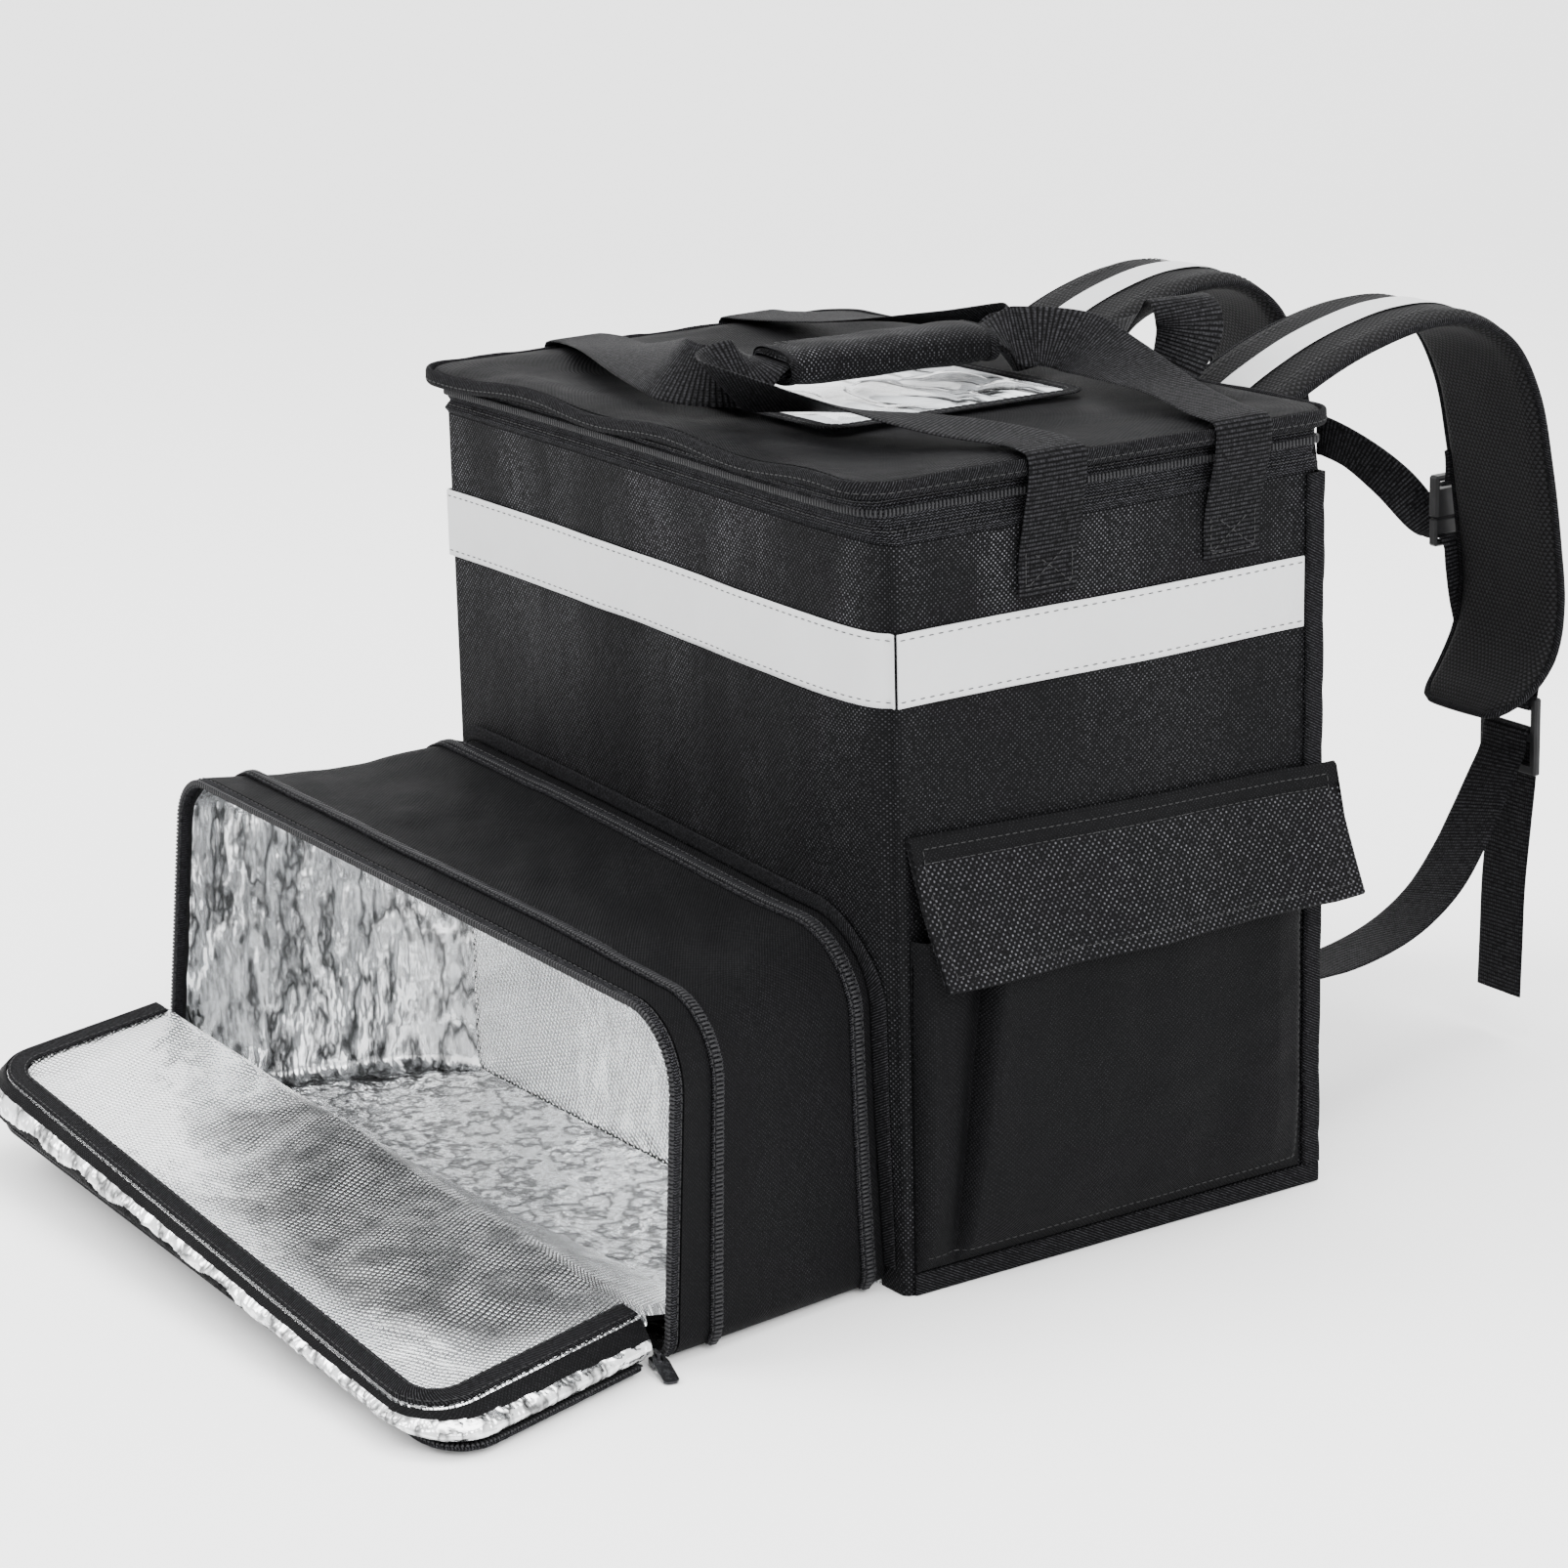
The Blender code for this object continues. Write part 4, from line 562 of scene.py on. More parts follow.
@once
def webbing_cloth():
    """Ribbed webbing: ribs across it, crossed by fine threads that run along it."""
    f = Finish("webbing_cloth", Specular_IOR_Level=0.03)
    u, v, _ = f.along_cloth()
    rib = (u * turn(2 * sizes().rib_pitch)).sine().size()
    threads = (v * turn(WEBBING_THREAD)).ripple()
    grit = f.noise(500.0, 2.0, 0.6)
    lit = rib.between(0.35, 1.0) * (threads * 0.5 + 0.5) * grit.between(0.25, 0.75)
    base = f.tinted(lit, "webbing", 0.6, 8.5)
    height = rib ** 0.6 + threads * 0.3
    return f.use(Base_Color=base, Roughness=0.62 - lit * 0.12, Normal=f.bump(height, 0.0004))


@once
def zip_tape_cloth():
    """Herringbone zip tape: ribs that lean one way and then the other."""
    f = Finish("zip_tape_cloth", Specular_IOR_Level=0.03)
    u, v, _ = f.along_cloth()
    lean = (v * turn(ZIP_LEAN)).sine().size() * 3.0
    ribs = (u * turn(ZIP_RIB) + lean).ripple()
    grit = f.noise(800.0, 2.0, 0.6)
    base = f.tinted((ribs * grit).between(0.25, 0.7), "zip_tape", 0.6, 13.0)
    return f.use(Base_Color=base, Roughness=0.62 + grit * 0.15, Normal=f.bump(ribs, 0.0003))


@once
def zip_teeth_nylon():
    """Moulded nylon, glossy on top with a slight grain."""
    f = Finish("zip_teeth_nylon", Specular_IOR_Level=0.12)
    grit = f.noise(400.0, 3.0, 0.6)
    base = f.tinted(grit, "teeth", 0.6, 1.8)
    return f.use(Base_Color=base, Roughness=0.24 + grit * 0.2, Normal=f.bump(grit, 0.0001))


@once
def reflective_tape():
    """Glass-bead tape: an even satin grey with a fine bead grain and faint creases."""
    f = Finish("reflective_tape", Specular_IOR_Level=0.5, Coat_Weight=0.25, Coat_Roughness=0.3)
    cloud = f.noise(14.0, 4.0, 0.6)
    beads = f.noise(2600.0, 1.0, 0.5)
    crease = f.noise(60.0, 5.0, 0.7)
    base = f.tinted(cloud, "reflective", 0.90, 1.10)
    fine = f.bump(beads, 0.00005, f.bump(crease, 0.0006))
    return f.use(Base_Color=base, Roughness=0.36 + beads * 0.12, Normal=fine)


@once
def foil_lining():
    """Bright foil pressed with a slanting grid, over broad soft crumples, with painted reflections.
    """
    f = Finish("foil_lining", Metallic=1.0)
    u, v, _ = f.along_cloth()
    grid_turn = turn(FOIL_GRID)
    first = ((u + v * 0.55) * grid_turn).sine().size()
    second = ((v - u * 0.35) * grid_turn).sine().size()
    grid = (first * second).between(0.20, 0.85)
    broad = f.noise(11.0, 3.0, 0.55)
    small = f.noise(90.0, 4.0, 0.65)
    sheen = f.noise(30.0, 4.0, 0.6).between(0.36, 0.68)
    x, y, _ = f.split(f.object_place())
    # Painted dark reflection of the body round the panel's middle; painted highlights on the cells.
    away = ((x - 0.05) / 0.19) ** 2.0 + ((y + 0.33) / 0.095) ** 2.0 + (broad - 0.5) * 2.0
    bright = away.between(0.45, 1.20)
    lit = (bright + (1 - bright) * (grid * (sheen * 0.62 + 0.14) + small * 0.10)).clamped()
    base = f.tinted(lit, "foil", 0.05, 1.12)
    slow = f.bump(small, 0.0009, f.bump(broad, 0.010))
    return f.use(Base_Color=base, Roughness=0.16 + small * 0.10, Normal=f.bump(grid, 0.0007, slow))


@once
def crumpled_foil():
    """Loose foil with sharp creases and painted reflections along them."""
    f = Finish("crumpled_foil", Metallic=1.0)
    upright = f.stretched((1.0, 1.0, 0.35))
    small = f.noise(60.0, 3.0, 0.6, upright)
    broad = f.noise(24.0, 4.0, 0.6, upright)
    # Painted reflections: bright and dark bands along the creases.
    painted_crease_reflections = (broad * 22.0).sine().size() * 0.7 + small * 0.3
    base = f.tinted(painted_crease_reflections.between(0.06, 0.90), "foil", 0.12, 1.0)
    slow = f.bump(broad, 0.008)
    return f.use(Base_Color=base, Roughness=0.15 + small * 0.12, Normal=f.bump(small, 0.0025, slow))


@once
def clear_film():
    """Clear vinyl: glossy, faintly hazy, long soft wrinkles; pale with dark streaks of painted
    reflection.
    """
    f = Finish("clear_film", Specular_IOR_Level=0.8, Coat_Weight=1.0, Coat_Roughness=0.04, IOR=1.5)
    u, v, _ = f.split(f.object_place())
    turned = {0: u * 14.0 + v * 9.0, 1: v * 60.0 - u * 34.0}
    streak = f.noise(1.0, 4.0, 0.6, f.add("ShaderNodeCombineXYZ", {}, turned))
    # Painted reflection: dark streaks along the wrinkles across the pale film.
    dark = streak.between(0.52, 0.60)
    base = f.tinted(dark, "film", 1.3, 0.04)
    slow = f.bump(streak, 0.0022)
    return f.use(Base_Color=base, Roughness=0.09 + dark * 0.08, Alpha=0.86, Normal=slow)


@once
def spacer_mesh():
    """Open spacer mesh: rows of small holes, each row half a step on."""
    f = Finish("spacer_mesh", Specular_IOR_Level=0.12)
    u, v, _ = f.along_cloth()
    step = turn(MESH_HOLE)
    waves = ((u * step).sine() + ((u * 0.5 + v * 0.87) * step).sine()
             + ((u * 0.5 - v * 0.87) * step).sine())
    holes = waves.between(-0.4, 1.2)
    grit = f.noise(700.0, 2.0, 0.6)
    base = f.tinted(holes * grit * 1.6, "mesh", 0.4, 3.6)
    return f.use(Base_Color=base, Roughness=0.80 - holes * 0.10, Normal=f.bump(holes, 0.0005))


@once
def moulded_plastic():
    """Moulded plastic: satin with a fine spark grain and rubbed patches."""
    f = Finish("moulded_plastic", Specular_IOR_Level=0.16)
    grain = f.noise(1500.0, 2.0, 0.5)
    rub = f.noise(60.0, 3.0, 0.6).between(0.45, 0.75)
    base = f.tinted(rub * 0.5, "plastic", 0.9, 2.6)
    rough = 0.40 - rub * 0.10 + grain * 0.08
    return f.use(Base_Color=base, Roughness=rough, Normal=f.bump(grain, 0.00006))


@once
def slider_metal():
    """Dark plated zinc with lighter rubbed patches."""
    f = Finish("slider_metal", Metallic=0.9)
    rub = f.noise(420.0, 4.0, 0.65).between(0.48, 0.80)
    base = f.tinted(rub, "metal", 0.8, 4.0)
    return f.use(Base_Color=base, Roughness=0.36 - rub * 0.12, Normal=f.bump(rub, 0.00008))


@once
def sewing_thread(tone):
    """Twisted sewing thread."""
    f = Finish(f"sewing_{tone}", Specular_IOR_Level=0.35)
    twist = f.noise(1800.0, 2.0, 0.5)
    base = f.tinted(twist, tone, 0.7, 1.5)
    return f.use(Base_Color=base, Roughness=0.55 + twist * 0.2, Normal=f.bump(twist, 0.0001))


@once
def floor_paper():
    """Plain pale paper with a very faint tooth."""
    f = Finish("floor_paper", Specular_IOR_Level=0.1)
    base = f.tinted(f.noise(30.0, 4.0, 0.5), "floor", 0.985, 1.0)
    return f.use(Base_Color=base, Roughness=0.85)


def ramp(value, start, reach):
    """0 at the start, 1 a reach further on, straight between; a negative reach runs back."""
    return np.clip((value - start) / reach, 0, 1)


def full_turn(count):
    """Even angles once round."""
    return np.linspace(0, 2 * math.pi, count, endpoint=False)


def shares_of(counts):
    """A grid of shares from 0 to 1 in both directions, with the given counts."""
    return np.meshgrid(*(np.linspace(0, 1, count) for count in counts), indexing="ij")


def closed(ring):
    """A loop's points with the first one again at the end."""
    return np.vstack([ring, ring[:1]])


def arc(centre, radius, angles):
    """Points at a distance from a centre, one for each angle."""
    return np.asarray(centre) + radius * np.stack([np.cos(angles), np.sin(angles)], axis=1)


def joined(arcs, steps):
    """A closed outline of four arcs and the straight runs between them, each in its own steps."""
    points = []
    for number, (bend, count) in enumerate(zip(arcs, steps)):
        shares = np.linspace(0, 1, count + 1)[1:-1, None]
        points += [bend, bend[-1] + (arcs[(number + 1) % 4][0] - bend[-1]) * shares]
    return np.vstack(points)


def add_mesh(name, vertices, faces, loops_map, material, face_material=None):
    """Make an object from arrays, and turn its faces outward by its signed volume."""
    mesh = bpy.data.meshes.new(name)
    corners = np.where(faces[:, 3] < 0, 3, 4)
    keep = faces >= 0
    flat = faces[keep]
    tri = np.concatenate([faces[:, :3], faces[:, [0, 2, 3]][faces[:, 3] >= 0]])
    a, b, c = (vertices[tri[:, i]] for i in range(3))
    volume = np.sum(a * np.cross(b, c)) / 6
    mesh.vertices.add(len(vertices))
    mesh.vertices.foreach_set("co", np.ascontiguousarray(vertices, np.float32).ravel())
    mesh.loops.add(len(flat))
    mesh.polygons.add(len(faces))
    starts = np.concatenate([[0], np.cumsum(corners)[:-1]])
    mesh.polygons.foreach_set("loop_start", starts.astype(np.int32))
    mesh.loops.foreach_set("vertex_index", flat.astype(np.int32))
    layer = mesh.uv_layers.new(name=CLOTH_MAP)
    layer.data.foreach_set("uv", loops_map[keep].astype(np.float32).ravel())
    materials = material if isinstance(material, (list, tuple)) else [material]
    for each in materials:
        mesh.materials.append(each)
    if face_material is not None:
        mesh.polygons.foreach_set("material_index", face_material.astype(np.int32))
    mesh.update(calc_edges=True)
    if volume < 0:
        mesh.flip_normals()
    mesh.shade_smooth()
    mesh.set_sharp_from_angle(angle=SHARP_ANGLE)
    item = bpy.data.objects.new(name, mesh)
    bpy.context.scene.collection.objects.link(item)
    return item


def run_lengths(grid, wrapped):
    """Metres along the grid's rows and columns, from the mean distance between neighbours."""
    lengths = []
    for axis in (0, 1):
        points = np.concatenate([grid, grid.take([0], axis)], axis) if wrapped[axis] else grid
        steps = np.linalg.norm(np.diff(points, axis=axis), axis=2).mean(axis=1 - axis)
        lengths.append(np.concatenate([[0.0], np.cumsum(steps)]))
    return lengths


def surface(name, grid, material, wrapped=CAPPED, across=None, bands=None):
    """A grid of points as one surface; a wrapped direction joins its ends.

    The map is metres: rows give u and columns give v, unless across gives v for each column.
    Bands give each row of faces its material's number. A capped grid has a fan at each end row.
    """
    rows, columns = grid.shape[:2]
    along, side = run_lengths(grid, wrapped)
    if across is not None:
        side = across
    r = np.arange(rows if wrapped[0] else rows - 1)
    c = np.arange(columns if wrapped[1] else columns - 1)
    i, j = (part.ravel() for part in np.meshgrid(r, c, indexing="ij"))
    ii, jj = (i + 1) % rows * columns, (j + 1) % columns
    faces = np.stack([i * columns + j, i * columns + jj, ii + jj, ii + j], axis=1)
    u = np.stack([along[i], along[i], along[i + 1], along[i + 1]], axis=1)
    v = np.stack([side[j], side[j + 1], side[j + 1], side[j]], axis=1)
    loops_map = np.stack([u, v], axis=2)
    number = np.zeros(len(faces), int) if bands is None else np.asarray(bands)[i]
    vertices = grid.reshape(-1, 3)
    if wrapped == CAPPED:
        middles = np.stack([grid[0].mean(axis=0), grid[-1].mean(axis=0)])
        cc = np.arange(columns)
        nn = (cc + 1) % columns
        top, low = len(vertices) + np.zeros(columns, int), (rows - 1) * columns
        none = np.full(columns, -1)
        first = np.stack([top, nn, cc, none], axis=1)
        last = np.stack([top + 1, cc + low, nn + low, none], axis=1)
        span = np.linalg.norm(grid[[0, -1]] - middles[:, None], axis=2).mean(axis=1)
        zero = np.zeros(columns)
        for row, reach in ((along[0], -span[0]), (along[rows - 1], span[1])):
            fan_u = np.stack([zero + row + reach, zero + row, zero + row, zero], axis=1)
            fan_v = np.stack([side[cc], side[cc + 1], side[cc], zero], axis=1)
            loops_map = np.concatenate([loops_map, np.stack([fan_u, fan_v], axis=2)])
        faces = np.concatenate([faces, first, last])
        number = np.concatenate([number, np.repeat([number[0], number[-1]], columns)])
        vertices = np.concatenate([vertices, middles])
    item = add_mesh(name, vertices, faces, loops_map, material, None if bands is None else number)
    item["flat_u"] = float(along[-1])
    item["flat_v"] = float(side[-1])
    return item


def swept(name, lines, material, wrapped, slot, node):
    """A tape: each line is one point of its section, all the way along."""
    grid = np.array(lines).transpose(1, 0, 2)
    return dress(surface(name, grid, material, wrapped), slot, node)


def tape_turns(count, side_power=0.5, top_power=0.5):
    """Shares of a tape's width and height round its section, a circle pushed out by two powers."""
    for angle in full_turn(count):
        cosine, sine = math.cos(angle), math.sin(angle)
        yield (0.5 - 0.5 * np.sign(cosine) * abs(cosine) ** side_power,
               0.5 + 0.5 * np.sign(sine) * abs(sine) ** top_power)


def sheet_surface(name, near, far, material):
    """A cloth sheet: the far face, a rounded edge and the near face, as one wrapped grid."""
    near_edges, far_edges = near[:, [0, -1]], far[:, [0, -1]]
    thick = np.linalg.norm(far_edges - near_edges, axis=2, keepdims=True)
    edges = (near_edges + far_edges) / 2 + unit(far_edges - far[:, [1, -2]]) * thick * EDGE_BULGE
    wide = np.concatenate([far, edges[:, 1:], near[:, ::-1], edges[:, :1]], axis=1)
    steps = np.linalg.norm(np.diff(far, axis=1), axis=2).mean(axis=0)
    face = np.concatenate([[0.0], np.cumsum(steps)])
    across = np.concatenate([face, face[-1:] + EDGE_MAP, face[::-1], [-EDGE_MAP], [0.0]])
    item = surface(name, wide, material, CAPPED, across)
    item["flat_v"] = float(face[-1])
    return item


def refinish(item, number, chosen):
    """Give the faces picked by their centres and normals another of the item's materials."""
    faces = item.data.polygons
    values = np.zeros(len(faces), np.int32)
    centres, normals = np.zeros(len(faces) * 3, np.float32), np.zeros(len(faces) * 3, np.float32)
    faces.foreach_get("material_index", values)
    faces.foreach_get("center", centres)
    faces.foreach_get("normal", normals)
    values[chosen(centres.reshape(-1, 3), normals.reshape(-1, 3))] = number
    faces.foreach_set("material_index", values)


def unit(vectors):
    """The vectors at a length of 1."""
    return vectors / np.maximum(np.linalg.norm(vectors, axis=-1, keepdims=True), 1e-12)


def folds(points, wavelength, seed, count=16):
    """Seeded sine waves in many directions, added up and kept between -1 and 1."""
    chance = np.random.default_rng(seed)
    directions = unit(chance.normal(size=(count, 3)))
    lengths = wavelength * chance.uniform(0.6, 1.7, count)
    starts = chance.uniform(0, 2 * math.pi, count)
    waves = np.sin(points @ (directions * (2 * math.pi / lengths)[:, None]).T + starts)
    return np.tanh(waves.sum(axis=-1) / math.sqrt(count) * 1.2)


def crumple(points, wavelength, seed):
    """Sharp facets: the sizes of folds at four scales, each half as long and about half as high."""
    scales = [np.abs(folds(points, wavelength / 2 ** k, seed + k, 10)) * 0.55 ** k for k in range(4)]
    return sum(scales) / 1.6


def both_faces(s, half):
    """A section's loop: across it and back, with its half thickness up and then down."""
    return np.concatenate([s[:-1], s[:0:-1]]), np.concatenate([half[:-1], -half[:0:-1]])


def through(x, table):
    """A smooth curve through a table's points: cubic pieces that share their slopes."""
    xs, ys = np.asarray(table, float).T
    slopes = np.gradient(ys, xs)
    x = np.clip(x, xs[0], xs[-1])
    i = np.clip(np.searchsorted(xs, x) - 1, 0, len(xs) - 2)
    wide = xs[i + 1] - xs[i]
    t = (x - xs[i]) / wide
    lift = ys[i] * (1 + 2 * t) * (1 - t) ** 2 + ys[i + 1] * t ** 2 * (3 - 2 * t)
    return lift + wide * (slopes[i] * t * (1 - t) ** 2 - slopes[i + 1] * t ** 2 * (1 - t))


def smooth_path(rows, fine=24):
    """Close points of a centripetal curve through the rows; extra columns go along."""
    rows = np.asarray(rows, float)
    ends = np.vstack([2 * rows[0] - rows[1], rows, 2 * rows[-1] - rows[-2]])
    gaps = np.linalg.norm(np.diff(ends[:, :3], axis=0), axis=1) ** 0.5
    a, b, c, d = ends[:-3, None], ends[1:-2, None], ends[2:-1, None], ends[3:, None]
    before, here, after = (gap[:, None, None] for gap in (gaps[:-2], gaps[1:-1], gaps[2:]))
    t = np.linspace(0, 1, fine, endpoint=False)[None, :, None]
    leave = here * ((b - a) / before - (c - a) / (before + here) + (c - b) / here)
    arrive = here * ((c - b) / here - (d - b) / (here + after) + (d - c) / after)
    cubic = 2 * (b - c) + leave + arrive
    square = 3 * (c - b) - 2 * leave - arrive
    points = b + leave * t + square * t ** 2 + cubic * t ** 3
    return np.vstack([points.reshape(-1, rows.shape[1]), rows[-1:]])


def evenly(path, step):
    """The path's points again, an even distance apart."""
    run = np.concatenate([[0.0], np.cumsum(np.linalg.norm(np.diff(path[:, :3], axis=0), axis=1))])
    wanted = np.linspace(0, run[-1], max(int(run[-1] / step), 2) + 1)
    return np.stack([np.interp(wanted, run, column) for column in path.T], axis=1)


def frames(centre, across):
    """Unit directions along a path, across it and out of its face."""
    steps = unit(np.diff(centre, axis=0))
    along = unit(np.vstack([steps[:1], steps[1:] + steps[:-1], steps[-1:]]))
    across = unit(across - np.sum(across * along, axis=1, keepdims=True) * along)
    return along, across, np.cross(along, across)


def strap_surface(name, centre, across, normal, width, thickness, material, columns=14):
    """A strap: its section is flat with round edges, thinning as the tenth power near them."""
    s = np.sin(np.linspace(-math.pi / 2, math.pi / 2, columns + 1))
    side, up = both_faces(s, np.sqrt(np.maximum(1 - np.abs(s) ** 10, 0)) * thickness / 2)
    grid = (centre[:, None] + across[:, None] * (width / 2) * side[:, None]
            + normal[:, None] * up[:, None])
    v = np.concatenate([(s + 1) / 2, 2 - (s[-2::-1] + 1) / 2])
    return surface(name, grid, material, CAPPED, v * width)


def tube(name, centre, radius, material, around=10):
    """A round section carried along a path."""
    _, across, normal = frames(centre, unit(np.array([0.13, 0.29, 0.95])))
    angles = full_turn(around)[:, None]
    grid = centre[:, None] + radius * (across[:, None] * np.cos(angles)
                                       + normal[:, None] * np.sin(angles))
    return surface(name, grid, material)


def copies(name, template, faces, centre, along, across, normal, material):
    """One small shape set at many places, each with its own directions."""
    made = (centre[:, None] + along[:, None] * template[:, :1]
            + across[:, None] * template[:, 1:2] + normal[:, None] * template[:, 2:])
    starts = (np.arange(len(centre)) * len(template))[:, None, None]
    every = (starts + faces).reshape(-1, 4)
    return add_mesh(name, made.reshape(-1, 3), every, np.zeros((len(every), 4, 2)), material)


def stitch_shape(length, radius):
    """A short thread: four six-sided rings that taper to both ends."""
    angles = full_turn(6)
    rings = []
    for share, size in ((-0.5, 0.35), (-0.3, 1.0), (0.3, 1.0), (0.5, 0.35)):
        rings.append(np.stack([np.full(6, share * length), np.cos(angles) * radius * size,
                               np.sin(angles) * radius * size * 0.8], axis=1))
    base = np.arange(6)
    after = (base + 1) % 6
    ring_faces = np.stack([base, after, after + 6, base + 6], axis=1)
    faces = [ring_faces + 6 * k for k in range(3)]
    faces.append(np.array([[3, 2, 1, 0], [5, 4, 3, 0], [18, 19, 20, 21], [18, 21, 22, 23]]))
    return np.vstack(rings), np.vstack(faces)


def with_normals(path, normal):
    """A path's points, each followed by a direction."""
    return np.hstack([path, np.broadcast_to(normal, path.shape)])


def tooth_shape(length, width, height):
    """A zip tooth: a block with a narrower, rounded top."""
    bottom = np.array([(-1, -1, 0), (1, -1, 0), (1, 1, 0), (-1, 1, 0)], float)
    middle = bottom * (1, 1, 1) + (0, 0, 0.6)
    top = bottom * (0.45, 0.75, 1) + (0, 0, 1)
    template = np.vstack([bottom, middle, top]) * (length / 2, width / 2, height)
    faces = [(3, 2, 1, 0), (8, 9, 10, 11)]
    for low in (0, 4):
        faces += [(low + k, low + (k + 1) % 4, low + 4 + (k + 1) % 4, low + 4 + k) for k in range(4)]
    return template, np.array(faces)


def stitches(name, lines, tone="thread", spread=1.0):
    """Stitches along lines, each a path with the direction out of its cloth."""
    s = sizes()
    template, faces = stitch_shape(s.stitch_length, s.stitch_radius)
    sets = []
    for path, normal in lines:
        both = evenly(with_normals(path, normal), s.stitch_length + s.stitch_gap * spread)
        middle = (both[1:] + both[:-1]) / 2
        along = unit(np.diff(both[:, :3], axis=0))
        up = unit(middle[:, 3:])
        side = unit(np.cross(up, along))
        sets.append((middle[:, :3] + up * s.stitch_radius * 0.5, along, side, np.cross(along, side)))
    parts = (np.vstack(part) for part in zip(*sets))
    item = copies(name, template, faces, *parts, sewing_thread(tone))
    return dress(item, "black_cloth" if tone == "thread" else "reflective_grey")


def teeth(name, lines, width=0.0034, height=0.0013):
    """Zip teeth along lines, each a path with the direction out of its tape."""
    pitch = sizes().tooth_pitch
    template, faces = tooth_shape(pitch * 0.62, width, height)
    sets = []
    for path, normal in lines:
        both = evenly(with_normals(path, normal), pitch)
        along = unit(np.gradient(both[:, :3], axis=0))
        up = unit(both[:, 3:] - np.sum(both[:, 3:] * along, axis=1, keepdims=True) * along)
        sets.append((both[:, :3], along, np.cross(up, along), up))
    parts = (np.vstack(part) for part in zip(*sets))
    return dress(copies(name, template, faces, *parts, zip_teeth_nylon()), "zip_black")


def dress(item, slot, *nodes):
    """Let a piece ride on the pack and hide the solids it stands for; the slot that names its finish
    is not used.
    """
    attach(item, BODY)
    if nodes:
        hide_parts(*nodes)
    return item


def as_sheet(item):
    """Hand the piece back unchanged."""
    return item


def bulge_share(height):
    """How much of a wall's bulge there is at a height."""
    return through(np.asarray(height) / BODY_HEIGHT, BULGE_ROWS)


def front_shape(share):
    """The front wall's bulge along its width, fullest near its right end."""
    return np.sin(math.pi * np.clip(share, 0, 1) ** BULGE_SKEW).clip(0) ** BULGE_FULLNESS


def side_shape(share):
    """The side walls' bulge along their depth: a squared sine."""
    return np.sin(math.pi * np.clip(share, 0, 1)) ** 2


def side_seat(y, height):
    """How far the right wall stands from the middle, without its dents."""
    share = ramp(y, -SIDE_RUN / 2, SIDE_RUN)
    return BODY_WIDTH / 2 + SIDE_BULGE * side_shape(share) * bulge_share(height)


def wall(face, share, height, out=0.0, corner=BODY_CORNER):
    """A point on one of the body's walls, with its soft dents and the ridge of its corner seams."""
    share, height, out = np.broadcast_arrays(np.asarray(share, float), height, out)
    _, right, back, seed = FACES[face]
    wide = face in ("front", "back")
    half_along = (BODY_WIDTH if wide else BODY_DEPTH) / 2 - corner
    half_out = (BODY_DEPTH if wide else BODY_WIDTH) / 2
    along = half_along * (2 * share - 1)
    flat = np.stack([along, np.full_like(along, half_out), height], axis=-1)
    broad = 0.5 + 0.5 * folds(flat, 0.16, seed)
    small = 0.5 + 0.5 * folds(flat * (1, 1, 0.6), 0.055, seed + 5)
    fade = (np.sin(math.pi * np.clip(share, 0, 1)).clip(0) ** 0.5
            * ramp(height, 0, 0.04) * ramp(height, BODY_HEIGHT, -0.03))
    dent = sizes().dent_depth * (0.7 * broad + 0.3 * small) * fade
    if face == "front":
        swell = FRONT_BULGE * front_shape(share) * bulge_share(height)
    elif face == "back":
        swell = 0.0
    else:
        swell = SIDE_BULGE * side_shape(share) * bulge_share(height)
    away = half_out + out + swell - dent
    x, y = (along, away) if wide else (away, along)
    return np.stack([right * x, back * y, height], axis=-1)


def body_grid(heights, insets):
    """Loops round the main compartment, one for each height and inset."""
    heights = np.asarray(heights, float)[:, None]
    insets = np.broadcast_to(np.asarray(insets, float), len(heights))[:, None]
    corner = np.maximum(BODY_CORNER, insets + BODY_CORNER / 5)
    radius = corner - insets
    parts = []
    for number, (face, (count, right, back, _)) in enumerate(FACES.items()):
        parts.append(wall(face, np.linspace(0, 1, count)[None], heights, -insets, corner))
        angles = (number - 1) * math.pi / 2 + np.linspace(0, math.pi / 2, CORNER_POINTS + 2)[1:-1]
        x = right * (BODY_WIDTH / 2 - corner) + radius * np.cos(angles)[None]
        y = back * (BODY_DEPTH / 2 - corner) + radius * np.sin(angles)[None]
        parts.append(np.stack([x, y, np.broadcast_to(heights, x.shape)], axis=-1))
    return np.concatenate(parts, axis=1)


def level_out(ring):
    """Level directions out of one loop."""
    return plan_normals(ring[None])[0]


def plan_normals(grid):
    """Level directions out of the loops of a grid."""
    ahead = np.roll(grid, -1, axis=1) - np.roll(grid, 1, axis=1)
    ahead[..., 2] = 0
    ahead = unit(ahead)
    return np.stack([ahead[..., 1], -ahead[..., 0], np.zeros(ahead.shape[:2])], axis=-1)


def inside_sleeve(centres, normals):
    """The faces of the front wall that close the front compartment at its back."""
    x, z = centres[:, 0], centres[:, 2]
    left, right = SLEEVE_BACK_LEFT + SLEEVE_WALL, SLEEVE_BACK_RIGHT - SLEEVE_WALL
    top = SLEEVE_BACK_HEIGHT_RIGHT - SLEEVE_WALL + (right - x) * 0.03
    inside = (normals[:, 1] < -0.5) & (centres[:, 1] < -BODY_DEPTH / 2 + BODY_WALL / 2)
    inside &= (x > left) & (x < right) & (z < top)
    for corner, edge in ((SLEEVE_RIGHT_CORNER, right - x), (SLEEVE_LEFT_CORNER, x - left)):
        radius = corner - SLEEVE_WALL
        inside &= np.hypot((radius - edge).clip(0), (radius - (top - z)).clip(0)) < radius
    return inside


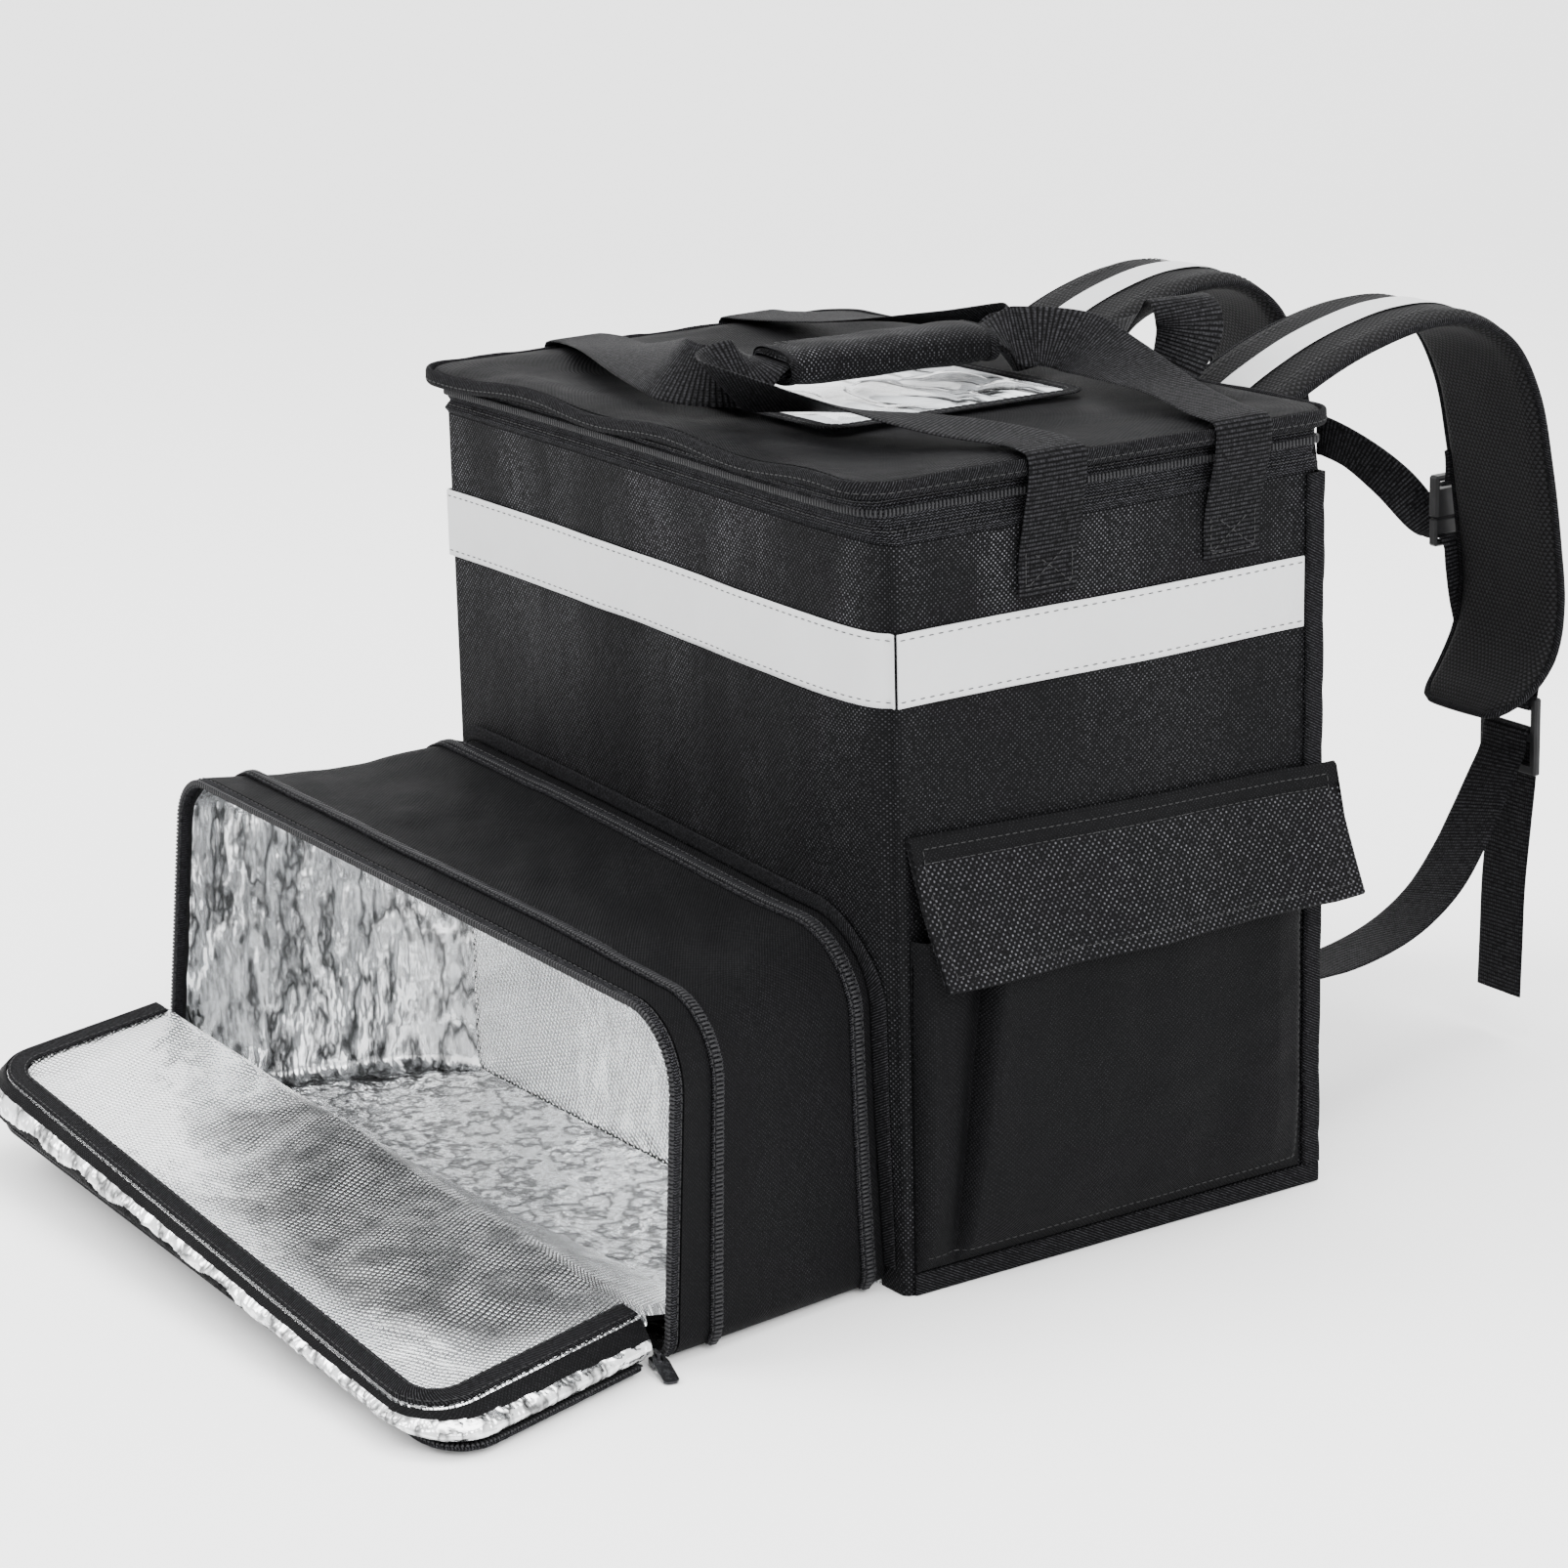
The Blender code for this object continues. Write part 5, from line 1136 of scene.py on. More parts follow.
def build_body():
    """Padded walls: loops at rising heights, over the rim and down inside to the floor."""
    rising = np.linspace(0.0015, BODY_HEIGHT - 0.001, BODY_ROWS)
    heights = np.concatenate([[0.0], rising, [BODY_HEIGHT]])
    inside = [BODY_HEIGHT, BODY_HEIGHT * 0.9, BODY_HEIGHT * 0.5, BODY_WALL + 0.01, BODY_WALL]
    grid = np.concatenate([body_grid(heights, 0.0), body_grid(inside, BODY_WALL)])
    bands = np.repeat([0, 1], [len(heights), len(inside)])
    item = surface("body_walls", grid, [shell_cloth("side"), foil_lining()], CAPPED, None, bands)
    refinish(item, 1, inside_sleeve)
    dress(item, "black_cloth", "main_body")


def rounded_rectangle(half_x, half_y, radius, per_side=70, per_corner=12):
    """Points round a rectangle with round corners, starting at its front right corner."""
    arcs = []
    for number, (right, back) in enumerate(((1, -1), (1, 1), (-1, 1), (-1, -1))):
        angles = (number - 1) * math.pi / 2 + np.linspace(0, math.pi / 2, per_corner + 1)
        arcs.append(arc((right * (half_x - radius), back * (half_y - radius)), radius, angles))
    return joined(arcs, [per_side] * 4)


def lid_half():
    """Half the lid's width and half its depth."""
    return BODY_WIDTH / 2 + LID_OVERHANG, BODY_DEPTH / 2 + LID_OVERHANG


def lid_plane(x, y):
    """The height of the lid's slightly tilted plane."""
    return LID_HEIGHT + LID_RISE_RIGHT * x + LID_RISE_BACK * y


def lid_ring(share, out, up, waved=1.0):
    """A loop of the lid: share of its size, distance out of its edge, height off its plane."""
    half_x, half_y = lid_half()
    flat = rounded_rectangle(half_x + out, half_y + out, LID_CORNER + out) * share
    x, y = flat[:, 0], flat[:, 1]
    frontness, leftness = ramp(y, 0, -half_y), ramp(x, 0, -half_x)
    pushed = LID_FRONT_PUSH * ((1 + x / half_x).clip(0, 2) / 2) ** 1.5 * frontness ** 2
    pulled = LID_CORNER_PULL * leftness ** 6 * frontness ** 6
    wave = waved * LID_WAVE * ramp(frontness, 0.8, 0.2) * np.sin(3 * math.pi * x / half_x)
    place_x, place_y = x - pulled, y - pushed - pulled
    return np.stack([place_x, place_y, lid_plane(place_x, place_y) + wave + up], axis=1)


def build_lid():
    """Padded lid: a level underside, a round edge and a top puffed along its margin."""
    shares = np.concatenate([np.linspace(0.05, 0.9, 10), [0.97, 0.99]])
    rings = [lid_ring(share, 0, -LID_THICKNESS, 0) for share in shares]
    for angle in np.linspace(-math.pi / 2, math.pi / 2, 9):
        up = -LID_THICKNESS / 2 + LID_THICKNESS / 2 * math.sin(angle)
        rings.append(lid_ring(1, -0.002 + 0.002 * math.cos(angle), up, (1 + math.sin(angle)) / 2))
    for share in np.concatenate([np.linspace(0.99, 0.74, 26), np.linspace(0.72, 0.03, 40)]):
        ring = lid_ring(share, 0, LID_PUFF * float(through(share, LID_PUFF_ROWS)))
        dent = 0.5 + 0.5 * folds(ring, 0.11, 5) * 0.7 + 0.15 * folds(ring, 0.035, 6)
        ring[:, 2] -= 0.0019 * dent * ramp(share, 1, -0.04)
        rings.append(ring)
    item = surface("lid_pad", np.array(rings), shell_cloth("quiet"))
    dress(item, "black_cloth", "lid")


def build_lid_binding():
    """Folded tape round the lid's edge: a rounded upright section with a slight wobble."""
    rings = []
    for angle in full_turn(16):
        out = GAP + BINDING_THICKNESS * (0.5 - 0.5 * math.cos(angle))
        up = BINDING_HEIGHT / 2 * np.sign(math.sin(angle)) * abs(math.sin(angle)) ** 0.5
        ring = lid_ring(1, out, up + BINDING_HEIGHT / 2 - LID_THICKNESS)
        wobble = folds(ring * (1, 1, 0), 0.03, 9, 8) * 0.0005
        ring[:, 2] += wobble * (1 + math.sin(angle)) / 2
        rings.append(ring)
    swept("lid_binding_tape", rings, binding_tape(), RING, "black_tape", "lid_binding")
    ring = lid_ring(1, GAP + BINDING_THICKNESS, BINDING_HEIGHT * 0.35 - LID_THICKNESS)
    stitches("lid_binding_stitches", [(closed(ring), closed(level_out(ring)))])


def band_grid(shares, out):
    """Loops between the walls' top and the lid; a share of 0 is at the walls."""
    half_x, half_y = lid_half()
    low = body_grid([BODY_HEIGHT], 0.0)[0]
    low[:, 2] = BODY_HEIGHT + GAP
    high = low.copy()
    frontness = np.clip(-low[:, 1] / half_y, 0, 1) ** 2
    rightness = ((1 + low[:, 0] / half_x).clip(0) / 2) ** 1.5
    high[:, 1] -= LID_FRONT_PUSH * rightness * frontness * BAND_LEAN
    high[:, 2] = lid_plane(high[:, 0], high[:, 1]) - LID_THICKNESS - LAY
    grid = low[None] + (high - low)[None] * np.asarray(shares)[:, None, None]
    return grid + plan_normals(grid) * np.asarray(out)[:, None, None]


def build_lid_zip():
    """Zip band: a folded tape below, a groove, and the tape that carries the teeth."""
    shares = np.linspace(0, 1, 30)
    ridges = ((0.0018, 0.16, 0.09), (-0.0012, 0.40, 0.08), (0.0010, 0.68, 0.10))
    ridge = sum(high * np.exp(-((shares - place) / wide) ** 2) for high, place, wide in ridges)
    outer = band_grid(shares, ridge)
    pucker = folds(outer * (1, 1, 0.4), 0.018, 15, 12) * 0.0005 * np.sin(math.pi * shares)[:, None]
    outer += plan_normals(outer) * pucker[..., None]
    inner = band_grid(shares[::-10], np.full(3, -BAND_THICKNESS))
    item = surface("lid_zip_tape", np.concatenate([outer, inner]), zip_tape_cloth(), RING)
    dress(item, "zip_black", "lid_zip_band")
    line = band_grid([0.70], [0.0008])[0]
    left, end = FACES["left"][0], FACES["front"][0] + FACES["right"][0] + 2 * CORNER_POINTS
    path, out = (np.vstack([part[-left:], part[:end]]) for part in (line, level_out(line)))
    teeth("lid_zip_teeth", [(path, out)], 0.0042, 0.0016)
    edges = [band_grid([share], [0.0004])[0] for share in (0.30, 0.92)]
    stitches("lid_zip_stitches", [(closed(line), closed(level_out(line))) for line in edges])


def window_ring(inset, high):
    """A loop of the document window at a height off the lid's flat middle."""
    half_x, half_y = WINDOW_WIDTH / 2 - inset, WINDOW_DEPTH / 2 - inset
    flat = rounded_rectangle(half_x, half_y, max(WINDOW_CORNER - inset, 0.002), 40, 8)
    x, y = flat[:, 0] + WINDOW_X, flat[:, 1] + WINDOW_Y
    return np.stack([x, y, lid_plane(x, y) + LID_PUFF * 0.3 + LAY + high], axis=1)


def build_window():
    """Narrow binding round a clear film whose middle is wrinkled and lifts a little."""
    turns = tape_turns(14, 0.4, 0.6)
    rings = [window_ring(WINDOW_BORDER * wide, WINDOW_TAPE * high) for wide, high in turns]
    swept("window_binding", rings, binding_tape(), RING, "black_tape", "window_frame")
    insets = (WINDOW_HEM, WINDOW_BORDER - WINDOW_HEM)
    stitches("window_stitches", [(closed(window_ring(inset, WINDOW_TAPE)), UP) for inset in insets])
    slant = np.array([[0.8, 0.6, 0], [-0.6, 0.8, 0], [0, 0, 1]])
    rings = []
    for side, thick in ((-1, 0.0), (1, FILM_THICKNESS)):
        for share in np.linspace(0.02, 1, 46)[:: -side]:
            ring = window_ring(WINDOW_BORDER + GAP, 0)
            middle = ring.mean(axis=0)
            ring = middle + (ring - middle) * share
            wrinkle = np.abs(folds(ring * (1.0, 2.2, 0.0) @ slant, 0.07, 63, 8))
            ring[:, 2] += thick + wrinkle * 0.0022 * min((1 - share) / 0.12, 1)
            rings.append(ring)
    item = surface("window_sheet", np.array(rings), clear_film())
    dress(item, "clear_film", "window_film")


def back_tape_share():
    """Where the back edge's tape begins, as a share of a side wall's length."""
    return 1 - (TAPE_WIDTH + GAP - BODY_CORNER) / SIDE_RUN


def build_stripes():
    """Reflective bands: thin sheets that follow the walls' swell and dents, sewn along both edges."""
    heights = np.linspace(STRIPE_TOP - STRIPE_HEIGHT, STRIPE_TOP, 16)
    end = back_tape_share()
    wide, deep = STRIPE_REACH / FRONT_RUN, STRIPE_REACH / SIDE_RUN
    outside = LAY + STRIPE_THICKNESS
    lines = []
    for face, first, last, count, out in (
            ("front", -wide, 1 + wide, 160, (0, -1, 0)), ("right", -deep, end, 110, (1, 0, 0)),
            ("left", 1 - end, 1 + deep, 110, (-1, 0, 0))):
        share = np.linspace(first, last, count)[:, None]
        near, far = (wall(face, share, heights[None], away) for away in (LAY, outside))
        item = sheet_surface(f"reflective_band_{face}", near, far, reflective_tape())
        as_sheet(dress(item, "reflective_grey", f"stripe_{face}"))
        for margin in (STRIPE_HEM, STRIPE_HEIGHT - STRIPE_HEM):
            height = np.full(count, STRIPE_TOP - margin)
            lines.append((wall(face, share[:, 0], height, outside), out))
    stitches("reflective_stitches", lines, "pale_thread", 2.0)


def along_outline(outline, step):
    """The runs between an outline's corners, as even points."""
    parts = []
    for one, two in zip(outline[:-1], outline[1:]):
        count = max(int(np.linalg.norm(two - one) / step), 1)
        parts.append(one + (two - one) * np.linspace(0, 1, count, endpoint=False)[:, None])
    return np.vstack(parts)


def build_edge_tapes():
    """Folded tapes: a plan outline carried up the wall, with a slow wobble along its length."""
    x, y = BODY_WIDTH / 2 + LAY, BODY_DEPTH / 2 + LAY
    t, w = TAPE_THICKNESS + 0.0008, TAPE_WIDTH
    edge = np.vstack([
        [(x, y - w), (x + t * 0.6, y - w), (x + t, y - w + 0.0014)],
        arc((x, y), t, np.linspace(0, math.pi / 2, 5)),
        [(x - w + 0.0014, y + t), (x - w, y + t * 0.6), (x - w, y), (x, y)]])
    section = along_outline(closed(edge), 0.0012)
    heights = np.linspace(BASE_TAPE_HEIGHT + GAP, BODY_HEIGHT - GAP, 150)
    for name, side in (("right", 1), ("left", -1)):
        grid = np.array([np.column_stack([section, np.full(len(section), z)]) for z in heights])
        wobble = np.abs(folds(grid * (0, 0, 1) + (side, 0, 0), 0.05, 19, 8) * 0.0006)
        grid = grid * (side, 1, 1)
        grid[..., 0] += side * wobble
        grid[..., 1] += wobble * 0.8
        item = surface(f"back_edge_tape_{name}", grid, binding_tape())
        dress(item, "black_tape", f"back_tape_{name}")
    front = -BODY_DEPTH / 2 + BODY_CORNER
    t = TAPE_THICKNESS
    base = np.array([(x, front), (x + t, front), (x + t, y + t), (-x - t, y + t), (-x - t, front),
                     (-x, front), (-x, y), (x, y)])
    outline = along_outline(closed(base), 0.006)
    heights = GAP + (BASE_TAPE_HEIGHT - GAP) * np.array([0, 0.04, 0.2, 0.4, 0.6, 0.8, 0.96, 1.0])
    middle = np.array([0.0, 0.5 * t])
    rows = []
    for share, height in zip(np.linspace(0, 1, len(heights)), heights):
        swell = 1 + 0.0022 * math.sin(math.pi * share) ** 0.5
        plan = (outline - middle) * swell + middle
        rows.append(np.column_stack([plan, np.full(len(plan), height)]))
    item = surface("base_edge_tape", np.array(rows), binding_tape())
    dress(item, "black_tape", "base_tape")


def side_out(y, height, side_width):
    """How far the right wall stands out under a piece of the given width."""
    return float(np.max(side_seat(y + np.array([-0.5, 0, 0.5]) * side_width, height)))


def grip_point(along, across, up):
    """A point given along the grip's axis, across it and up."""
    sine, cosine = math.sin(GRIP_YAW), math.cos(GRIP_YAW)
    x, y = GRIP_X + along * sine + across * cosine, GRIP_Y + along * cosine - across * sine
    return x, y, GRIP_Z + up


def handle_leg(side, y_edge, end):
    """From the grip's mouth to the wall: x, y, z, the width's direction and the stacking."""
    mouth = GRIP_LENGTH / 2
    edge_x = lid_half()[0] + GAP + BINDING_THICKNESS + LAY + WEBBING_THICKNESS / 2
    wall_x = side_out(y_edge, HANDLE_END, WIDE_WEBBING) + LAY + WEBBING_THICKNESS / 2
    edge_z = float(lid_plane(side * edge_x, y_edge))
    over = edge_z + LID_PUFF + LAY + WEBBING_THICKNESS
    flat = -end * side
    low = -math.sin(HANDLE_BANK)
    twist = grip_point(end * (mouth + HANDLE_TWIST * 0.5), side * 0.002, HANDLE_DROP * 0.3)
    rows = [
        (*grip_point(end * (mouth - 0.006), 0, 0), 1, 0, 0, 1),
        (*grip_point(end * mouth, 0, 0), 1, 0, 0, 1),
        (*twist, 1, 0, low * 0.35, 1.6),
    ]
    reach = mouth + HANDLE_TWIST + HANDLE_TURN
    back = math.atan2(reach + end * (GRIP_Y - y_edge), edge_x - HANDLE_TURN)
    level = math.cos(HANDLE_BANK)
    for share in (0, 0.25, 0.5, 0.75, 1):
        angle = (math.pi / 2 + back) * share
        ahead = mouth + HANDLE_TWIST + HANDLE_TURN * math.sin(angle)
        beside = side * (0.004 + HANDLE_TURN * (1 - math.cos(angle)))
        width = (level * math.cos(angle), level * flat * math.sin(angle), low)
        rows.append((*grip_point(end * ahead, beside, HANDLE_DROP), *width, 2 * (1 - share)))
    far = np.array([side * (edge_x - 0.020), y_edge, over + 0.001])
    near = np.array(rows[-1][:3])
    for share, bank in ((0.22, 0.7), (0.44, 0.3), (0.70, 0.0)):
        rows.append((*(near + (far - near) * share), 0, flat, low * bank, 0))
    steps = (
        (edge_x - 0.0200, over + 0.001), (edge_x - 0.0060, over), (edge_x - 0.0008, over - 0.0012),
        (edge_x + 0.0014, edge_z - 0.0010), (edge_x + 0.0012, edge_z - 0.0070),
        (edge_x + 0.0006, edge_z - 0.0130), (wall_x + 0.0020, BODY_HEIGHT - 0.006),
        (wall_x, BODY_HEIGHT - 0.018), (wall_x, HANDLE_END),
    )
    rows += [(side * x, y_edge, z, 0, flat, 0, 0) for x, z in steps]
    return rows


def build_handles():
    """Two webbing loops through the grip, one over the other, sewn to the walls with boxes."""
    lines = []
    for name, side in (("right", 1), ("left", -1)):
        front = handle_leg(side, HANDLE_FRONT_Y, -1)
        back = handle_leg(side, HANDLE_BACK_Y, 1)
        rows = front[::-1] + [(*grip_point(0, 0, 0), 1, 0, 0, 1)] + back
        points = evenly(smooth_path(rows), 0.003)
        _, across, normal = frames(points[:, :3], points[:, 3:6])
        facing = np.where(normal[:, 2:3] < 0, -1, 1)
        centre = points[:, :3] + normal * facing * points[:, 6:7] * side * GRIP_STACK
        item = strap_surface(f"handle_webbing_{name}", centre, across, normal, WIDE_WEBBING,
                             WEBBING_THICKNESS, webbing_cloth())
        dress(item, "black_webbing", f"handle_{name}")
        low, high = HANDLE_END + SEWN_BOX_EDGE, HANDLE_END + SEWN_BOX_TOP
        half = WIDE_WEBBING / 2 - SEWN_BOX_EDGE
        box = [(-half, low), (half, low), (half, high), (-half, high), (-half, low), (half, high)]
        for y in (HANDLE_FRONT_Y, HANDLE_BACK_Y):
            x = side * (side_out(y, HANDLE_END, WIDE_WEBBING) + LAY + WEBBING_THICKNESS)
            for corners in (box, [(half, low), (-half, high)]):
                path = np.array([(x, y + a, z) for a, z in corners])
                lines.append((along_outline(path, 0.002), (side, 0, 0)))
    stitches("handle_stitches", lines)


def superellipse(half_x, half_z, count, power=3.0):
    """A rounded box: an ellipse pushed out by a power."""
    cosine, sine = np.cos(full_turn(count)), np.sin(full_turn(count))
    x = half_x * np.sign(cosine) * np.abs(cosine) ** (2 / power)
    return x, half_z * np.sign(sine) * np.abs(sine) ** (2 / power)


def grip_ring(share, across, up):
    """Points at a share of the grip's half length, given across it and up."""
    return np.stack(grip_point(share * GRIP_LENGTH / 2, across, up), axis=1)


def build_grip():
    """Padded wrap: a flattened tube, pinched at both ends, with the ridge of its overlap on top."""
    rings = []
    for share in np.concatenate([[-1], np.linspace(-0.985, 0.985, 60), [1]]):
        size = 1.03 - 0.17 * abs(share) ** 6 + 0.02 * math.cos(9 * share)
        x, z = superellipse(GRIP_WIDTH / 2 * (1 - 0.03 * abs(share) ** 8), GRIP_HEIGHT / 2 * size, 72)
        overlap = 0.0014 * ramp(x, -0.010, 0.0012) * (z > 0) * (1 - abs(share) ** 12)
        point = grip_ring(share, x, z + overlap)
        rings.append(point + folds(point, 0.03, 77, 10)[:, None] * (0, 0, 0.0005))
    inside = superellipse(WIDE_WEBBING / 2 + 0.0025, GRIP_ROOM / 2, 72, 5.0)
    rings += [grip_ring(share, *inside) for share in np.linspace(1, -1, 6)]
    item = surface("grip_wrap", np.array(rings), shell_cloth("side"), RING)
    dress(item, "black_cloth", "handle_grip")
    share, high = np.linspace(-0.94, 0.94, 60), np.full(60, GRIP_HEIGHT / 2 * 1.02 + 0.0004)
    stitches("grip_stitches", [(grip_ring(share, x, high), UP) for x in (-0.0075, -0.0045)])
    angles = full_turn(8)[:, None]
    for name, share in (("front", -0.965), ("back", 0.965)):
        ring = grip_ring(share, *superellipse(GRIP_WIDTH / 2 + 0.0002, GRIP_HEIGHT / 2 * 0.93, 48))
        out = unit(ring - ring.mean(axis=0))
        ahead = np.array([math.sin(GRIP_YAW), math.cos(GRIP_YAW), 0.0])
        grid = ring[:, None] + 0.0010 * (out[:, None] * np.cos(angles) * 0.8
                                         + ahead * np.sin(angles) * 2.6)
        dress(surface(f"grip_cuff_{name}", grid, binding_tape(), RING), "black_tape")


def webbing_piece(name, rows, width, node, step=0.003):
    """A flat strap along rows of x, y, z and the direction of its width."""
    points = evenly(smooth_path(rows), step)
    _, across, normal = frames(points[:, :3], points[:, 3:6])
    item = strap_surface(name, points[:, :3], across, normal, width, WEBBING_THICKNESS,
                         webbing_cloth())
    return dress(item, "black_webbing", node)


def build_grab_loop():
    """Webbing that rises behind the lid, turns on edge over the top and comes back down."""
    y = BODY_DEPTH / 2 + LAY + WEBBING_THICKNESS / 2
    rise = LOOP_TOP - LOOP_FOOT
    clear = lid_half()[1] + GAP + BINDING_THICKNESS + LAY + WEBBING_THICKNESS / 2
    rows = [
        (-1.00, y, 0.00, -1.0, 0.0), (-1.00, y + 0.001, 0.12, -1.0, 0.0),
        (-1.00, clear + 0.002, 0.30, -1.0, 0.0), (-0.97, clear + 0.005, 0.50, -1.0, 0.0),
        (-0.84, clear + 0.009, 0.62, -0.9, 0.15), (-0.40, clear + 0.018, 0.78, -0.6, 0.6),
        (0.25, clear + 0.024, 0.95, -0.1, 1.0),
        (0.78, clear + 0.020, 1.00, 0.3, 1.0), (1.20, clear + 0.016, 0.84, 0.7, 0.7),
        (1.24, clear + 0.006, 0.60, 1.0, 0.2), (1.12, clear + 0.002, 0.44, 1.0, 0.0),
        (1.00, clear + 0.001, 0.30, 1.0, 0.0), (0.98, y + 0.001, 0.12, 1.0, 0.0),
        (0.98, y, 0.00, 1.0, 0.0),
    ]
    route = [(LOOP_X + a * LOOP_SPREAD, b, LOOP_FOOT + c * rise, d, e, 0) for a, b, c, d, e in rows]
    webbing_piece("grab_loop_webbing", route, WIDE_WEBBING, "grab_loop")


def build_pocket():
    """Pleated pocket: cloth that stands off the wall as a table of columns times a table of rows."""
    share, off = shares_of(POCKET_GRID)
    depth = np.interp(share, *np.array(POCKET_COLUMNS).T) * through(off, POCKET_ROWS) * POCKET_DEPTH
    z = POCKET_BOTTOM + off * (POCKET_TOP - POCKET_BOTTOM)
    lean = POCKET_SLANT * off * np.exp(-((share - 0.1) / 0.08) ** 2)
    y = POCKET_FRONT + share * (POCKET_BACK - POCKET_FRONT) + lean * ramp(share, 0.03, 0.02)
    flat = np.stack([np.zeros_like(y), y, z], axis=-1)
    soft = (folds(flat * (1, 1, 0.45), 0.085, 51) * 0.0016
            + folds(flat * (1, 0.6, 1.4), 0.03, 52) * 0.0005)
    x = side_seat(y, z) + LAY + depth + soft * ramp(depth, 0, POCKET_DEPTH) * ramp(off, 0, 0.1)
    hem = 0.0007 * (off > 0.93)
    near, far = (np.stack([x + out, y, z], axis=-1) for out in (0.0, POCKET_CLOTH + hem))
    item = sheet_surface("pocket_cloth", near, far, shell_cloth("quiet"))
    as_sheet(dress(item, "black_cloth", "side_pocket"))
    paths = (far[2:-2, 4], far[2:-2, 92], far[-4, 3:-3])
    stitches("pocket_stitches", [(path, ALONG_X) for path in paths])


def flap_grid(share, down, out):
    """The flap: shares along it and down it, flared out by the power 1.3 of the share down."""
    top = FLAP_TOP_FRONT + (FLAP_TOP_BACK - FLAP_TOP_FRONT) * share
    z = top + (FLAP_BOTTOM - top) * down
    straight = FLAP_FRONT + share * FLAP_LENGTH
    y = straight + FLAP_SLANT * down * (1 - share)
    wave = FLAP_WAVE * np.sin(5 * math.pi * share) * down
    over_tape = (TAPE_THICKNESS + GAP) * ramp(share, 0.88, 0.04)
    flat = np.stack([np.zeros_like(y), y, z], axis=-1)
    soft = folds(flat * (1, 1, 0.6), 0.06, 71) * 0.0011 * down
    seat = side_seat(straight, top) + LAY + over_tape
    x = seat + FLAP_FLARE * down ** 1.3 + wave + soft + out
    return np.stack([x, y, z + out * 0.3 * down], axis=-1)


def build_flap():
    """Pocket flap with a folded upper edge and two rows of stitches along its hems."""
    share, down = shares_of(FLAP_GRID)
    fold = 0.0012 * ramp(down, 0.16, -0.02)
    ends = ramp(share, 0.98, 0.005) + ramp(share, 0.02, -0.005)
    hem = 0.0005 * (ramp(down, 0.93, 0.02) + ends).clip(0, 1)
    far = flap_grid(share, down, FLAP_THICKNESS + fold + hem)
    cloths = [shell_cloth("flap"), shell_cloth("quiet")]
    item = sheet_surface("flap_cloth", flap_grid(share, down, 0.0), far, cloths)
    slope = (FLAP_TOP_BACK - FLAP_TOP_FRONT) / FLAP_LENGTH
    refinish(item, 1, lambda centres, normals: (
        centres[:, 2] > FLAP_TOP_FRONT + slope * (centres[:, 1] - FLAP_FRONT) - FLAP_HEM))
    as_sheet(dress(item, "black_cloth", "side_flap"))
    paths = [far[3:-3, row] for row in (4, 10, 54)] + [far[column, 4:-4] for column in (3, -4)]
    stitches("flap_stitches", [(path, (1.0, 0.0, 0.35)) for path in paths])


def quad_loop(corners, inset, skip=None):
    """Points round a four-cornered outline with round corners, given in its own plane.

    A skip leaves the bottom side open, with that share of its corners left out at each end.
    """
    left_bottom, right_bottom, right_top, left_top = (np.array(c, float) for c in corners)
    width = np.linalg.norm(right_bottom - left_bottom)
    height = np.linalg.norm(right_top - right_bottom)
    low = SLEEVE_BOTTOM_CORNER - inset
    arcs = []
    for right, up, radius, start in (
            (0, 0, low, 180), (1, 0, low, 270), (1, 1, SLEEVE_RIGHT_CORNER - inset, 0),
            (0, 1, SLEEVE_LEFT_CORNER - inset, 90)):
        centre = (width - inset - radius if right else inset + radius,
                  height - inset - radius if up else inset + radius)
        arcs.append(arc(centre, radius, np.radians(np.linspace(start, start + 90, CORNER_STEPS + 1))))
    flat = joined(arcs, SIDE_STEPS)
    if skip is not None:
        cut = int(skip * CORNER_STEPS)
        flat = np.roll(flat, -CORNER_STEPS - SIDE_STEPS[0], axis=0)
        flat = flat[cut:len(flat) - SIDE_STEPS[0] + 1 - cut]
    a, b = flat[:, :1] / width, flat[:, 1:] / height
    bottom = left_bottom + (right_bottom - left_bottom) * a
    return bottom + (left_top + (right_top - left_top) * a - bottom) * b


def front_seat(x, z):
    """Where the front wall stands at a place given by x and z."""
    share = ramp(x, -FRONT_RUN / 2, FRONT_RUN)
    return -(BODY_DEPTH / 2 + FRONT_BULGE * front_shape(share) * bulge_share(z))


